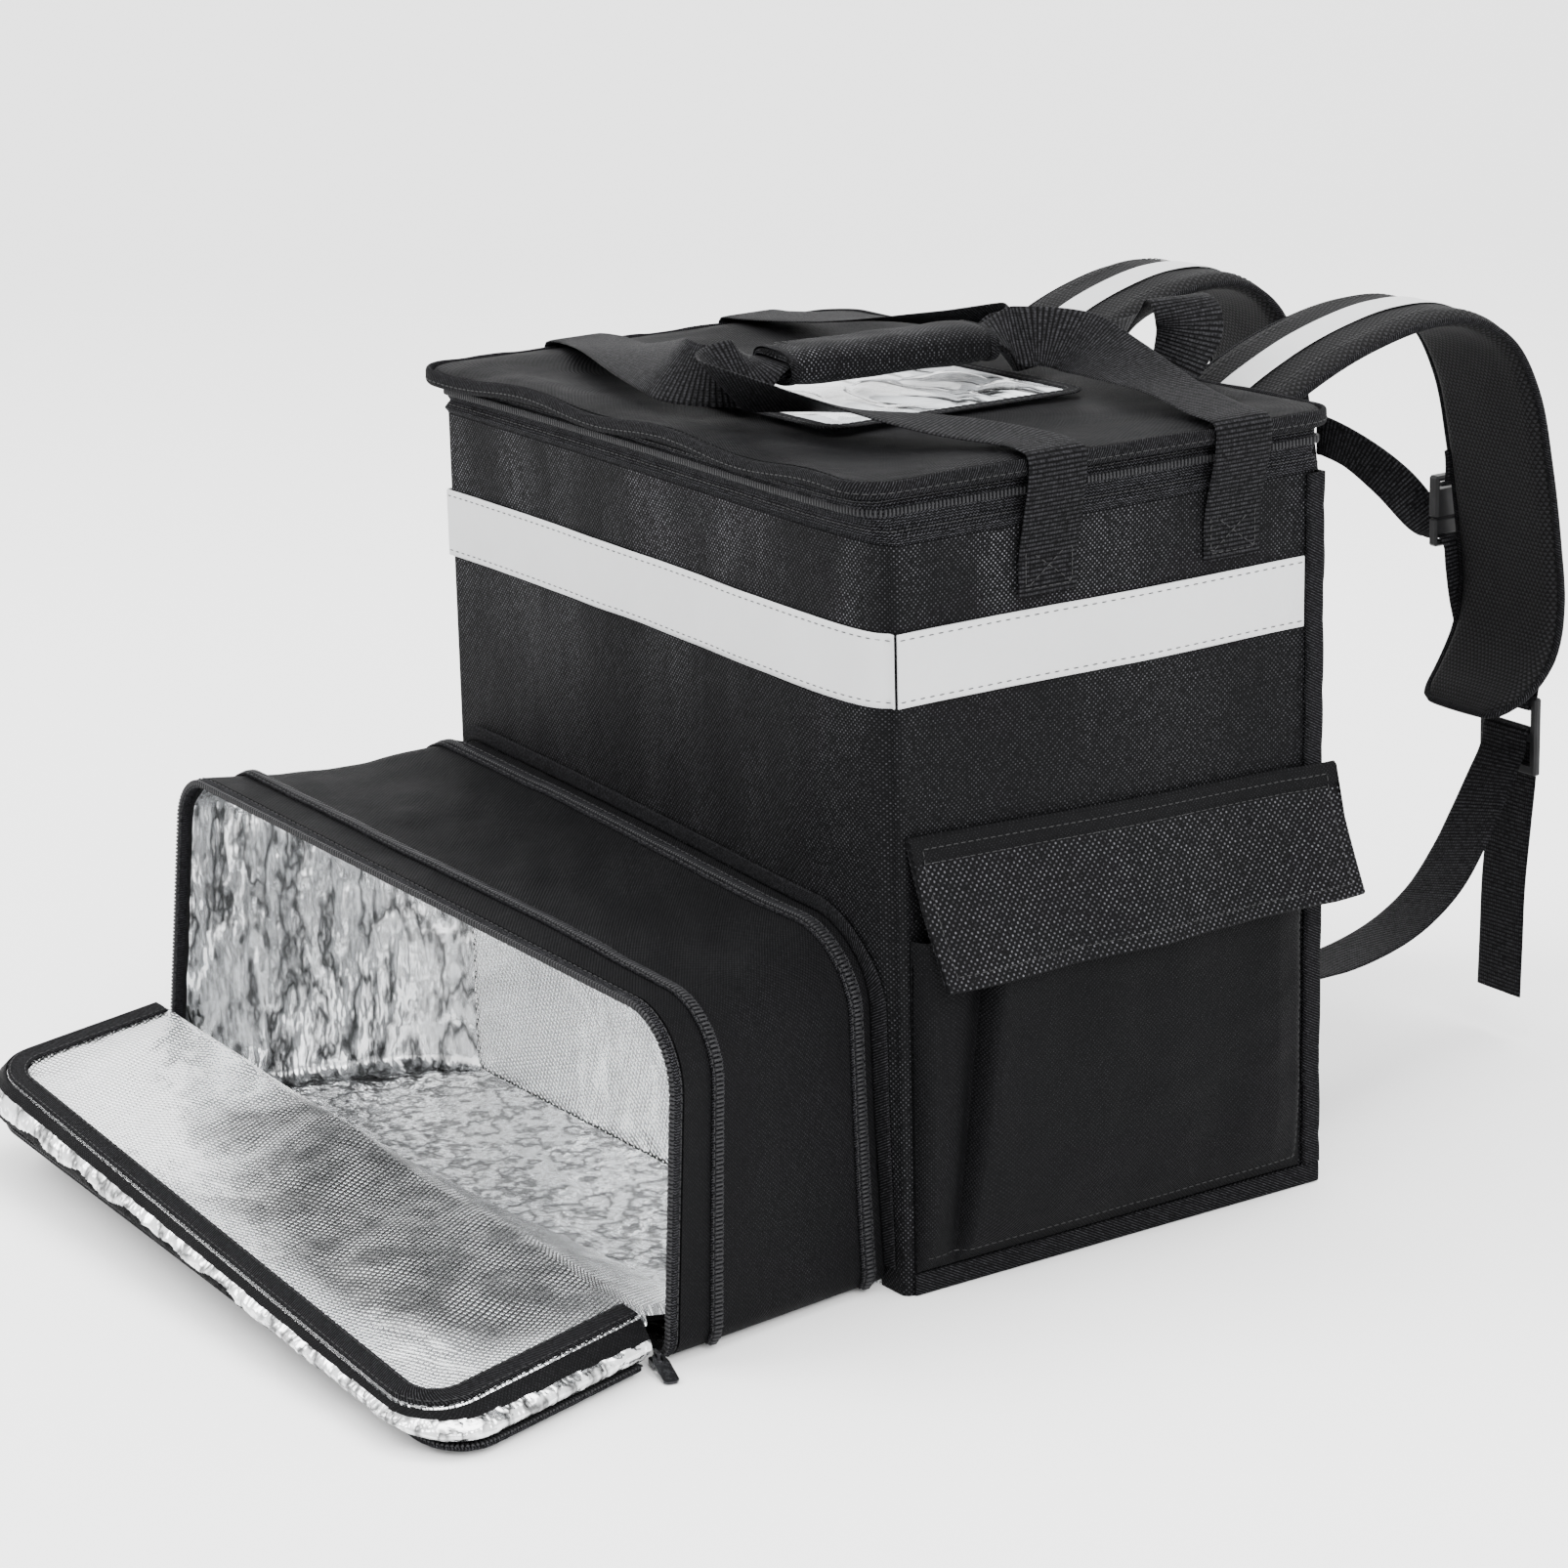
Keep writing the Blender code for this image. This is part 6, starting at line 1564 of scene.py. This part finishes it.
def sleeve_grid(stations, inset=0.0, skip=None, forward=0.0, soft=1.0):
    """The front compartment's outlines: station 0 at the front wall, 1 at its mouth."""
    place = np.asarray(stations, float)[:, None]
    y = -BODY_DEPTH / 2
    back = (
        (SLEEVE_BACK_LEFT, y, SLEEVE_LIFT), (SLEEVE_BACK_RIGHT, y, SLEEVE_LIFT),
        (SLEEVE_BACK_RIGHT, y, SLEEVE_BACK_HEIGHT_RIGHT),
        (SLEEVE_BACK_LEFT, y, SLEEVE_BACK_HEIGHT_LEFT),
    )
    mouth = (MOUTH_LEFT_BOTTOM, MOUTH_RIGHT_BOTTOM, MOUTH_RIGHT_TOP, MOUTH_LEFT_TOP)
    start = quad_loop(back, inset, skip)
    end = quad_loop(mouth, inset, skip)
    start[:, 1] = front_seat(start[:, 0], start[:, 2]) - 3 * GAP
    grid = start[None] + (end - start)[None] * place[..., None]
    swell = np.sin(math.pi * place)
    upness = ramp(start[:, 2], 0, SLEEVE_BACK_HEIGHT_RIGHT)[None]
    grid[..., 2] -= SLEEVE_SAG * swell * upness
    early = 1 - (1 - np.minimum(place / 0.30, 1)) ** 2
    leftness = ramp(-start[:, 0] / BODY_WIDTH * 2, 0.8, 0.2)[None]
    grid[..., 0] -= SLEEVE_LEFT_SPREAD * leftness * early * (1 - place)
    grid[..., 1] -= forward
    lower = folds(grid, 0.12, 83) * 0.0018 + folds(grid * (1, 1.6, 1), 0.045, 84) * 0.0007 - 0.0008
    grid[..., 2] += soft * lower * swell * upness ** 4
    return grid


def sleeve_line(station, inset, skip, forward=0.0, soft=1.0):
    """One outline of the front compartment."""
    return sleeve_grid([station], inset, skip, forward, soft)[0]


def build_sleeve():
    """Front compartment: cloth outside and foil inside, one padded wall from body to mouth."""
    outer = sleeve_grid(np.linspace(0, 1, SLEEVE_ROWS[0]))
    inner = sleeve_grid(np.linspace(1, 0, SLEEVE_ROWS[1]), SLEEVE_WALL)
    inward = np.cross(unit(np.roll(inner, -1, axis=1) - inner), (0.0, 1.0, 0.0))
    facets = crumple(inner, 0.028, 91) * sizes().foil_depth * 1.6
    centre = inner.mean(axis=1, keepdims=True)
    inward *= np.sign(np.sum(inward * (centre - inner), axis=2, keepdims=True))
    inner += inward * facets[..., None] * ramp(inner[..., 2:], 0, 0.03)
    bands = np.repeat([0, 1, 0], [len(outer), len(inner) - 1, 1])
    materials = [shell_cloth("quiet"), crumpled_foil()]
    item = surface("sleeve_wall", np.concatenate([outer, inner]), materials, RING, None, bands)
    dress(item, "black_cloth", "front_sleeve")


def sleeve_outward(loop):
    """Directions out of the sleeve at the points of an open loop."""
    ahead = unit(np.gradient(loop, axis=0))
    out = unit(np.cross(ahead, (0.0, 1.0, 0.0)))
    centre = np.array([0.0, loop[:, 1].mean(), 0.09])
    return out * np.sign(np.sum(out * (loop - centre), axis=1).mean())


def build_sleeve_zips():
    """Two closed zips round the sleeve and the open half round its mouth."""
    for name, node, first, last in (("expansion_zip_tape", "expansion_zip", 0.05, 0.12),
                                    ("seam_zip_tape", "seam_zip", 0.80, 0.86)):
        high, edge = -LAY - ZIP_PROUD * 0.45, (last - first) * 0.12
        stations = np.linspace(first, last, 12)
        faces = [sleeve_grid(stations, high, 0.5), sleeve_grid(stations[::-1], -LAY, 0.5)]
        swept(name, np.concatenate(faces), zip_tape_cloth(), CAPPED, "zip_black", node)
        line = sleeve_line((first + last) / 2, high, 0.5)
        teeth(f"{name}_teeth", [(line, sleeve_outward(line))], 0.0046, 0.0015)
        proud = -LAY - ZIP_PROUD * 0.5
        rows = [sleeve_line(station, proud, 0.5) for station in (first + edge, last - edge)]
        stitches(f"{name}_stitches", [(row, sleeve_outward(row)) for row in rows])
    front = GAP + OPENING_ZIP_DEPTH
    lines = [sleeve_line(1.0, (SLEEVE_WALL - GAP) * wide, 0.25, GAP + (front - GAP) * high, 0.0)
             for wide, high in tape_turns(20)]
    swept("opening_zip_tape", lines, zip_tape_cloth(), CAPPED, "zip_black", "opening_zip")
    toward = (0.0, -1.0, 0.0)
    line = sleeve_line(1.0, 0.0016, 0.25, front - 0.0004, 0.0)
    teeth("opening_zip_teeth", [(line, toward)], 0.0034, 0.0016)
    line = sleeve_line(1.0, 0.0036, 0.25, front, 0.0)
    outside = sleeve_line(1.0, -0.0002, 0.25, GAP + 0.0015, 0.0)
    stitches("opening_zip_stitches", [(line, toward), (outside, sleeve_outward(outside))])


def build_expansion_tape():
    """Ribbed tape on the front wall, over the sleeve and down its right side."""
    lines = []
    for wide, high in tape_turns(14):
        out = EXPANSION_TAPE_WIDTH - (EXPANSION_TAPE_WIDTH - 0.0012) * wide
        line = sleeve_line(0.0, -out, 1.0)
        line[:, 1] = front_seat(line[:, 0], line[:, 2]) - 2 * LAY - TAPE_THICKNESS * high
        lines.append(line[: int(len(line) * 0.74)])
    swept("expansion_seam_tape", lines, binding_tape(), CAPPED, "black_tape", "expansion_tape")


def bilinear(corners, a, b):
    """Hinge left, hinge right, front left, front right, at shares a across and b forward."""
    hinge_left, hinge_right, front_left, front_right = (np.array(c) for c in corners)
    a, b = np.asarray(a)[..., None], np.asarray(b)[..., None]
    hinge = hinge_left + (hinge_right - hinge_left) * a
    front = front_left + (front_right - front_left) * a
    return hinge + (front - hinge) * b


def panel_size():
    """Nominal width and reach of the panel, from its corners."""
    corners = np.array(PANEL_CORNERS)
    return np.linalg.norm(corners[1] - corners[0]), np.linalg.norm(corners[3] - corners[1])


def panel_edge(corners, outset, start=EDGE_START):
    """The panel's three free sides, left, front and right, pushed out by a distance."""
    width, reach = panel_size()
    radius, inner = PANEL_CORNER + outset, PANEL_CORNER
    b = np.linspace(start, reach - inner, PANEL_SIDE_POINTS)
    a = np.linspace(inner, width - inner, PANEL_COLUMNS)
    bend = np.radians(np.linspace(90, 0, PANEL_CORNER_POINTS)[1:-1])
    flat = np.vstack([
        np.stack([np.full_like(b, -outset), b], axis=1),
        arc((inner, reach - inner), radius, bend + math.pi / 2),
        np.stack([a, np.full_like(a, reach + outset)], axis=1),
        arc((width - inner, reach - inner), radius, bend),
        np.stack([np.full_like(b, width + outset), b[::-1]], axis=1)])
    return bilinear(corners, flat[:, 0] / width, flat[:, 1] / reach)


def build_panel():
    """Padded panel: foil above, cloth below, and a tongue that goes down inside the sleeve."""
    width, reach = panel_size()
    straight = reach - PANEL_CORNER
    rows = np.concatenate([
        -PANEL_TONGUE * np.linspace(1, 0.14, 16), [-0.003, 0.004], np.linspace(0.006, straight, 50),
        straight + PANEL_CORNER * np.sin(np.radians(np.linspace(3, 87, 20)))])[:, None]
    across = np.linspace(0, 1, PANEL_COLUMNS)[None]
    tongue = rows < -0.001
    past = np.maximum(rows - straight, 0)
    round_in = PANEL_CORNER - np.sqrt(np.maximum(PANEL_CORNER ** 2 - past ** 2, 0))
    left = np.where(tongue, PANEL_TONGUE_INSET_LEFT, round_in)
    right = np.where(tongue, PANEL_TONGUE_INSET_RIGHT, round_in)
    a = (left + (width - left - right) * across) / width
    top = bilinear(PANEL_CORNERS, a, np.broadcast_to(rows / reach, a.shape))
    floor = SLEEVE_LIFT + SLEEVE_WALL + GAP * 2 + PANEL_THICKNESS
    top[..., 2] += (floor - top[..., 2]) * ramp(rows, 0, -PANEL_TONGUE) ** 0.8
    under = top - (0, 0, PANEL_THICKNESS)
    margin = np.minimum(np.minimum(across, 1 - across) * width, (reach - rows)) - PANEL_TAPE_WIDTH
    soft = folds(top, 0.11, 101) * 0.0026 - 0.0030 + crumple(top, 0.040, 102) * sizes().foil_depth
    top[..., 2] += soft * ramp(margin, 0, 0.03) * np.where(tongue, 0.3, 1)
    item = sheet_surface("panel_pad", under, top, [foil_lining(), shell_cloth("quiet")])
    refinish(item, 1, lambda centres, normals: normals[:, 2] < -0.3)
    dress(item, "foil", "front_panel")


def build_panel_binding():
    """Twill tape on the panel's free edges: a flat arch in section, sewn along its inner side."""
    lines = [panel_edge(PANEL_CORNERS, -PANEL_TAPE_WIDTH * wide - GAP)
             + (0, 0, LAY + PANEL_TAPE_THICKNESS * high) for wide, high in tape_turns(16)]
    swept("panel_binding_tape", lines, binding_tape(), CAPPED, "black_tape", "panel_binding")
    over = (0, 0, LAY + PANEL_TAPE_THICKNESS)
    outsets = (-PANEL_TAPE_WIDTH + 0.0018, -0.0022)
    stitches("panel_binding_stitches",
             [(panel_edge(PANEL_CORNERS, outset) + over, UP) for outset in outsets])


def build_gusset():
    """Lining and shell from the panel's edge down to its zip, crumpled as it folds over."""
    top = panel_edge(PANEL_CORNERS, GUSSET_CLEAR + GUSSET_THICKNESS)
    low = panel_edge(ZIP_CORNERS, -PANEL_ZIP_WIDTH * 0.5)
    low[:, 2] += PANEL_ZIP_THICKNESS / 2 + GAP
    outward = unit((panel_edge(PANEL_CORNERS, 0.02) - top) * (1, 1, 0))[:, None]
    share = np.linspace(0, 1, 34)[None, :, None]
    bulge = through(share[..., 0], ((0, 0.0), (0.45, 1.0), (0.8, 0.6), (1, 0.0)))[..., None]
    near = top[:, None] + (low - top)[:, None] * share + outward * GUSSET_BULGE * bulge
    ruffle = crumple(near, 0.020, 111) * np.sin(math.pi * share[..., 0]) * GUSSET_RUFFLE * 1.6
    near = near + outward * ruffle[..., None]
    far = near - outward * GUSSET_THICKNESS
    item = sheet_surface("gusset_lining", far, near, [crumpled_foil(), shell_cloth("quiet")])
    left, right = PANEL_CORNERS[0][0], PANEL_CORNERS[3][0]
    top_left, top_right = PANEL_CORNERS[2][2], PANEL_CORNERS[3][2]
    low_left, low_right = ZIP_CORNERS[2][2], ZIP_CORNERS[3][2]

    def below(centres, _):
        share = (centres[:, 0] - left) / (right - left)
        low = low_left + (low_right - low_left) * share
        high = top_left + (top_right - top_left) * share
        rise = (centres[:, 2] - low) / (high - low)
        ragged = 0.12 * folds(centres * (1, 1, 0.2), 0.06, 117)
        edge = GUSSET_SEAM - 0.30 * ramp(centres[:, 0], 0.05, 0.15) + ragged
        # Faces above 0.90 of the rise take dark cloth as a painted shadow under the binding.
        return (rise < edge) | (rise > 0.90)

    refinish(item, 1, below)
    as_sheet(dress(item, "foil", "panel_gusset"))


def build_panel_zip():
    """The loose zip half along the gusset's outer edge, teeth outward."""
    lines = [panel_edge(ZIP_CORNERS, -PANEL_ZIP_WIDTH * wide)
             + (0, 0, (high - 0.5) * PANEL_ZIP_THICKNESS) for wide, high in tape_turns(14)]
    swept("panel_zip_tape", lines, zip_tape_cloth(), CAPPED, "zip_black", "panel_zip")
    line = panel_edge(ZIP_CORNERS, -0.0016) + (0, 0, PANEL_ZIP_THICKNESS / 2 - 0.0002)
    teeth("panel_zip_teeth", [(line, UP)], 0.0034, 0.0011)


def reach_back(y, side):
    """The left strap and its webbing hang nearer to the back than the right ones."""
    away = np.asarray(y, float) - BODY_DEPTH / 2
    pulled = away * (1 - STRAP_REACH_LEFT) * ramp(away, STRAP_CLOSE, STRAP_CLOSE)
    return BODY_DEPTH / 2 + away - pulled * (side < 0)


def strap_path(side):
    """Centre line and directions of one shoulder strap, with each point's share of its length."""
    route = [(0.0, float(reach_back(y, side)), z) for y, z in STRAP_ROUTE]
    flat = evenly(smooth_path(route), 0.003)
    flat[:, 0] = side * STRAP_X
    return flat, *frames(flat, np.array(ALONG_X)), np.linspace(0, 1, len(flat))


def strap_widths(share):
    """Full width nearly all along, rounded off at the lower end."""
    left = ramp(share, STRAP_ROUND_FROM, 1 - STRAP_ROUND_FROM)
    return STRAP_WIDTH * (STRAP_TIP + (1 - STRAP_TIP) * np.sqrt(1 - left ** 2))


def build_shoulder_straps():
    """Padded straps: a crowned section with thin margins, piping on both edges, a bright stripe."""
    s = np.sin(np.linspace(-math.pi / 2, math.pi / 2, 31))
    crown = 0.30 + 0.70 * ramp(np.abs(s), 1, -0.14) ** 0.5
    full = np.sqrt(np.maximum(1 - np.abs(s) ** 14, 0)) * crown * STRAP_THICKNESS / 2
    around, up = both_faces(s, full)
    v = np.concatenate([(s + 1) / 2, 1 + (s[1:] + 1) / 2]) * STRAP_WIDTH
    turns = np.linspace(math.pi, 0, 24)[1:-1, None]
    out = STRAP_THICKNESS / 2 + LAY + STRAP_STRIPE_THICKNESS / 2
    lines = []
    for name, side in (("right", 1), ("left", -1)):
        centre, along, across, normal, share = strap_path(side)
        half = strap_widths(share)[:, None] / 2 + STRAP_EDGE * 0.4
        soft = folds(centre[:, None] + across[:, None] * around[:, None] * 0.04, 0.045, 121)
        ends = (0.35 + 0.65 * ramp(np.minimum(share, 1 - share), 0, 0.02))[:, None]
        high = up * ends * (1 + 0.07 * soft)
        grid = (centre[:, None] + across[:, None] * (half * around)[..., None]
                + normal[:, None] * high[..., None])
        item = surface(f"strap_pad_{name}", grid, spacer_mesh(), CAPPED, v)
        dress(item, "strap_mesh", f"shoulder_strap_{name}")
        edge = half + STRAP_EDGE * 0.35
        tip = centre[-1] + across[-1] * edge[-1] * np.cos(turns) + along[-1] * np.sin(turns) * 0.0012
        path = np.vstack([centre - across * edge, tip, (centre + across * edge)[::-1]])
        dress(tube(f"strap_piping_{name}", path, sizes().piping_radius, binding_tape()), "black_tape")
        part = (share > STRIPE_FROM) & (share < STRIPE_TO)
        middle = centre[part] - normal[part] * out
        item = strap_surface(f"strap_band_{name}", middle, across[part], normal[part],
                             STRAP_STRIPE_WIDTH, STRAP_STRIPE_THICKNESS, reflective_tape(), 8)
        dress(item, "reflective_grey", f"strap_stripe_{name}")
        sewn, beside, inward = centre[4:-8], across[4:-8] * STRAP_WIDTH, normal[4:-8]
        for place in (-0.40, -0.36, 0.36, 0.40):
            lines.append((sewn + beside * place - inward * (STRAP_THICKNESS / 2 * 0.99), -inward))
    stitches("strap_stitches", lines)


def build_lower_webbing():
    """From the back panel up to the adjuster, over its bar, and down as a free tail."""
    for name, side in (("right", 1), ("left", -1)):
        rows = np.array(LOWER_ROUTE)
        rows[:, 0] *= side
        rows[:, 1] = reach_back(rows[:, 1], side)
        webbing_piece(f"lower_webbing_strap_{name}", with_normals(rows, ALONG_X), WIDE_WEBBING,
                      f"lower_webbing_{name}", 0.0022)
        half = WEBBING_THICKNESS / 2 + GAP
        lock = float(reach_back(LOCK_Y, side))
        out = LOCK_THICKNESS / 2 + half
        outer, inner = lock + out, lock - out
        under = LOCK_TOP - LOCK_BAR - half
        face = reach_back(np.array((0.4130, 0.4140, 0.4100)), side) + (0.0006 if side < 0 else 0)
        rows = [
            (face[0], 0.285), (face[1], 0.262), (face[2], 0.238), (outer + 0.0020, LOCK_TOP + 0.008),
            (outer + 0.0002, LOCK_TOP), (outer + 0.0002, under + 0.0035), (outer - 0.0006, under),
            (lock, under - 0.0014), (inner + 0.0006, under), (inner - 0.0002, under + 0.0035),
            (inner, LOCK_TOP), (inner - 0.0005, LOCK_TOP + 0.004),
        ]
        rows = [(side * LOCK_X, y, z, 1, 0, 0) for y, z in rows]
        webbing_piece(f"lock_tab_webbing_{name}", rows, WIDE_WEBBING, f"strap_tab_{name}", 0.0016)


def build_chest_strap():
    """Webbing of the chest strap, through both halves of its buckle."""
    bottom = BUCKLE_TOP - SOCKET_HEIGHT - GAP - PLUG_HEIGHT
    edge = STRAP_X - STRAP_WIDTH / 2 - GAP
    high = BUCKLE_TOP - 0.003 - BUCKLE_SLOT / 2
    inside = edge - WEBBING_THICKNESS / 2 - GAP
    x, y = CHEST_X, CHEST_Y
    rows = [
        (inside, y - 0.0040, 0.3560, 0, 1, 0), (inside - 0.001, y - 0.002, 0.3480, 0, 1, 0),
        (x + 0.0078, y, high + 0.0040, 0, 1, 0), (x + 0.0055, y, high + 0.0003, 0, 1, 0),
        (x - 0.0010, y, high, 0, 1, 0),
    ]
    webbing_piece("chest_strap_right", rows, NARROW_WEBBING, "chest_webbing_right", 0.0012)
    low = bottom + 0.003 + BUCKLE_SLOT / 2
    rows = [
        (-edge + 0.0006, 0.3730, 0.3500, 0, 0, 1), (-edge + 0.0080, 0.3731, 0.3498, 0, 0, 1),
        (-0.022, 0.3790, 0.3430, 0.3, 0.05, 1), (0.000, 0.3920, 0.3250, 0.4, 0.5, 0.8),
        (0.0165, y - 0.0025, 0.3045, 0.2, 0.9, 0.25), (0.0240, y, 0.2975, 0, 1, 0),
        (x - 0.0070, y, low - 0.0014, 0, 1, 0), (x, y, low + 0.0002, 0, 1, 0),
        (x + 0.0055, y, low - 0.0005, 0, 1, 0), (x + 0.0080, y, low - 0.0050, 0, 1, 0),
        (x + 0.0085, y + 0.001, 0.282, 0, 1, 0), (x + 0.0085, y + 0.004, 0.262, -0.05, 1, 0),
        (x + 0.0090, y + 0.009, 0.240, -0.12, 1, 0),
    ]
    webbing_piece("chest_strap_left", rows, NARROW_WEBBING, "chest_webbing_left", 0.0015)


def build_hard_parts():
    """Buckles, adjusters, slider and tab keep their solids and take their finishes."""
    finishes = {
        "ladder_lock_left": moulded_plastic, "ladder_lock_right": moulded_plastic,
        "buckle_socket": moulded_plastic, "buckle_plug": moulded_plastic,
        "zip_slider": slider_metal, "pull_tab": slider_metal,
    }
    for node, finish in finishes.items():
        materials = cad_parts[node].data.materials
        materials.clear()
        materials.append(finish())


def build_stage():
    """Pale floor that curves up behind, soft lights, and the photograph's camera."""
    run = np.linspace(0, 1, 60)
    bend = (run - 0.5) * math.pi
    y = np.where(run < 0.5, FLOOR_FRONT + run * 2 * (FLOOR_BEND - FLOOR_FRONT),
                 FLOOR_BEND + np.sin(bend) * FLOOR_RADIUS)
    z = np.where(run < 0.5, 0.0, FLOOR_RADIUS - np.cos(bend) * FLOOR_RADIUS)
    wide = np.linspace(-FLOOR_HALF_WIDTH, FLOOR_HALF_WIDTH, 30)
    back = np.array([math.sin(CAMERA_AZIMUTH), -math.cos(CAMERA_AZIMUTH), 0.0])
    right = np.array([math.cos(CAMERA_AZIMUTH), math.sin(CAMERA_AZIMUTH), 0.0])
    grid = (right * wide[None, :, None] - back * y[:, None, None]
            + np.array(UP) * (z - FLOOR_DROP)[:, None, None])
    surface("floor", grid, floor_paper(), OPEN)
    scene = bpy.context.scene
    scene.world = scene.world or bpy.data.worlds.new("studio")
    scene.world.use_nodes = True
    inputs = scene.world.node_tree.nodes["Background"].inputs
    inputs["Color"].default_value = (1.0, 1.0, 1.0, 1.0)
    inputs["Strength"].default_value = WORLD_STRENGTH
    for name, place, wide, power in LIGHTS:
        lamp = bpy.data.lights.new(name, "AREA")
        lamp.shape = "SQUARE"
        lamp.size = wide
        lamp.energy = power
        away = unit(np.array(place) - np.array(CAMERA_TARGET))
        place_object(name, lamp, look_along(np.array(place), away, 0.0))
    add_camera()


def place_object(name, data, matrix):
    """Put a light or a camera in the scene."""
    item = bpy.data.objects.new(name, data)
    item.matrix_world = matrix
    bpy.context.scene.collection.objects.link(item)
    return item


def look_along(place, away, roll):
    """A matrix at a place, whose local z points away from what it looks at."""
    right = unit(np.cross(UP, away))
    up = np.cross(away, right)
    rows = np.eye(4)
    rows[:3, 0] = right * math.cos(roll) + up * math.sin(roll)
    rows[:3, 1] = up * math.cos(roll) - right * math.sin(roll)
    rows[:3, 2], rows[:3, 3] = away, place
    return Matrix(rows.tolist())


def add_camera():
    """The photograph's camera, placed round its target by azimuth, elevation and distance."""
    a, e = CAMERA_AZIMUTH, CAMERA_ELEVATION
    away = np.array([math.sin(a) * math.cos(e), -math.cos(a) * math.cos(e), math.sin(e)])
    matrix = look_along(np.zeros(3), away, CAMERA_ROLL)
    right, up = np.array(matrix.col[0][:3]), np.array(matrix.col[1][:3])
    place = np.array(CAMERA_TARGET) + away * CAMERA_DISTANCE + right * CAMERA_RIGHT + up * CAMERA_UP
    lens = bpy.data.cameras.new("photo_camera")
    lens.lens = CAMERA_LENS
    lens.sensor_width = CAMERA_SENSOR
    lens.clip_end = CAMERA_CLIP
    matrix = look_along(place, away, CAMERA_ROLL)
    bpy.context.scene.camera = place_object("photo_camera", lens, matrix)


def finished(*builders):
    """Run the builders and report to Blender that the operator is done."""
    for build in builders:
        build()
    return {"FINISHED"}


class BACKPACK_OT_stage(bpy.types.Operator):
    """Add the floor, the lights and the camera"""

    bl_idname = "backpack.stage"
    bl_label = "Stage"

    def execute(self, context):
        return finished(build_stage)


class BACKPACK_OT_body(bpy.types.Operator):
    """Add the padded walls, their edge tapes and the reflective bands"""

    bl_idname = "backpack.body"
    bl_label = "Body"

    def execute(self, context):
        return finished(build_body, build_edge_tapes, build_stripes)


class BACKPACK_OT_lid(bpy.types.Operator):
    """Add the lid with its binding, zip band and document window"""

    bl_idname = "backpack.lid"
    bl_label = "Lid"

    def execute(self, context):
        return finished(build_lid, build_lid_binding, build_lid_zip, build_window)


class BACKPACK_OT_handles(bpy.types.Operator):
    """Add the carry handles, their grip and the grab loop"""

    bl_idname = "backpack.handles"
    bl_label = "Handles"

    def execute(self, context):
        return finished(build_handles, build_grip, build_grab_loop)


class BACKPACK_OT_pocket(bpy.types.Operator):
    """Add the side pocket and its flap"""

    bl_idname = "backpack.pocket"
    bl_label = "Side pocket"

    def execute(self, context):
        return finished(build_pocket, build_flap)


class BACKPACK_OT_sleeve(bpy.types.Operator):
    """Add the front compartment, its zips and its seam tape"""

    bl_idname = "backpack.sleeve"
    bl_label = "Front compartment"

    def execute(self, context):
        return finished(build_sleeve, build_sleeve_zips, build_expansion_tape)


class BACKPACK_OT_panel(bpy.types.Operator):
    """Add the folded front panel, its binding, gusset and zip half"""

    bl_idname = "backpack.panel"
    bl_label = "Front panel"

    def execute(self, context):
        return finished(build_panel, build_panel_binding, build_gusset, build_panel_zip)


class BACKPACK_OT_straps(bpy.types.Operator):
    """Add the shoulder straps and all their webbing"""

    bl_idname = "backpack.straps"
    bl_label = "Shoulder straps"

    def execute(self, context):
        return finished(build_shoulder_straps, build_lower_webbing, build_chest_strap)


class BACKPACK_OT_hard_parts(bpy.types.Operator):
    """Finish the buckles, adjusters, zip slider and pull tab"""

    bl_idname = "backpack.hard_parts"
    bl_label = "Hard parts"

    def execute(self, context):
        return finished(build_hard_parts)


STEPS = ("stage", "body", "lid", "handles", "pocket", "sleeve", "panel", "straps", "hard_parts")


class BACKPACK_PT_panel(bpy.types.Panel):
    """Sizes, colours and one button for each piece"""

    bl_label = "Delivery Backpack"
    bl_idname = "BACKPACK_PT_panel"
    bl_space_type = "VIEW_3D"
    bl_region_type = "UI"
    bl_category = "Backpack"

    def draw(self, context):
        for group in (context.scene.backpack_sizes, context.scene.backpack_colours):
            for name in group.__annotations__:
                self.layout.prop(group, name)
        for step in STEPS:
            self.layout.operator(f"backpack.{step}")


CLASSES = (
    BackpackSizes, BackpackColours, BACKPACK_OT_stage, BACKPACK_OT_body, BACKPACK_OT_lid,
    BACKPACK_OT_handles, BACKPACK_OT_pocket, BACKPACK_OT_sleeve, BACKPACK_OT_panel,
    BACKPACK_OT_straps, BACKPACK_OT_hard_parts, BACKPACK_PT_panel,
)


def register():
    """Add the property groups, the operators and the panel to Blender."""
    for each in CLASSES:
        bpy.utils.register_class(each)
    bpy.types.Scene.backpack_sizes = bpy.props.PointerProperty(type=BackpackSizes)
    bpy.types.Scene.backpack_colours = bpy.props.PointerProperty(type=BackpackColours)


def unregister():
    """Take them out again, the last one first."""
    del bpy.types.Scene.backpack_colours
    del bpy.types.Scene.backpack_sizes
    for each in reversed(CLASSES):
        bpy.utils.unregister_class(each)


def main():
    """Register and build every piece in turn."""
    register()
    for step in STEPS:
        getattr(bpy.ops.backpack, step)()


if __name__ == "__main__":
    main()
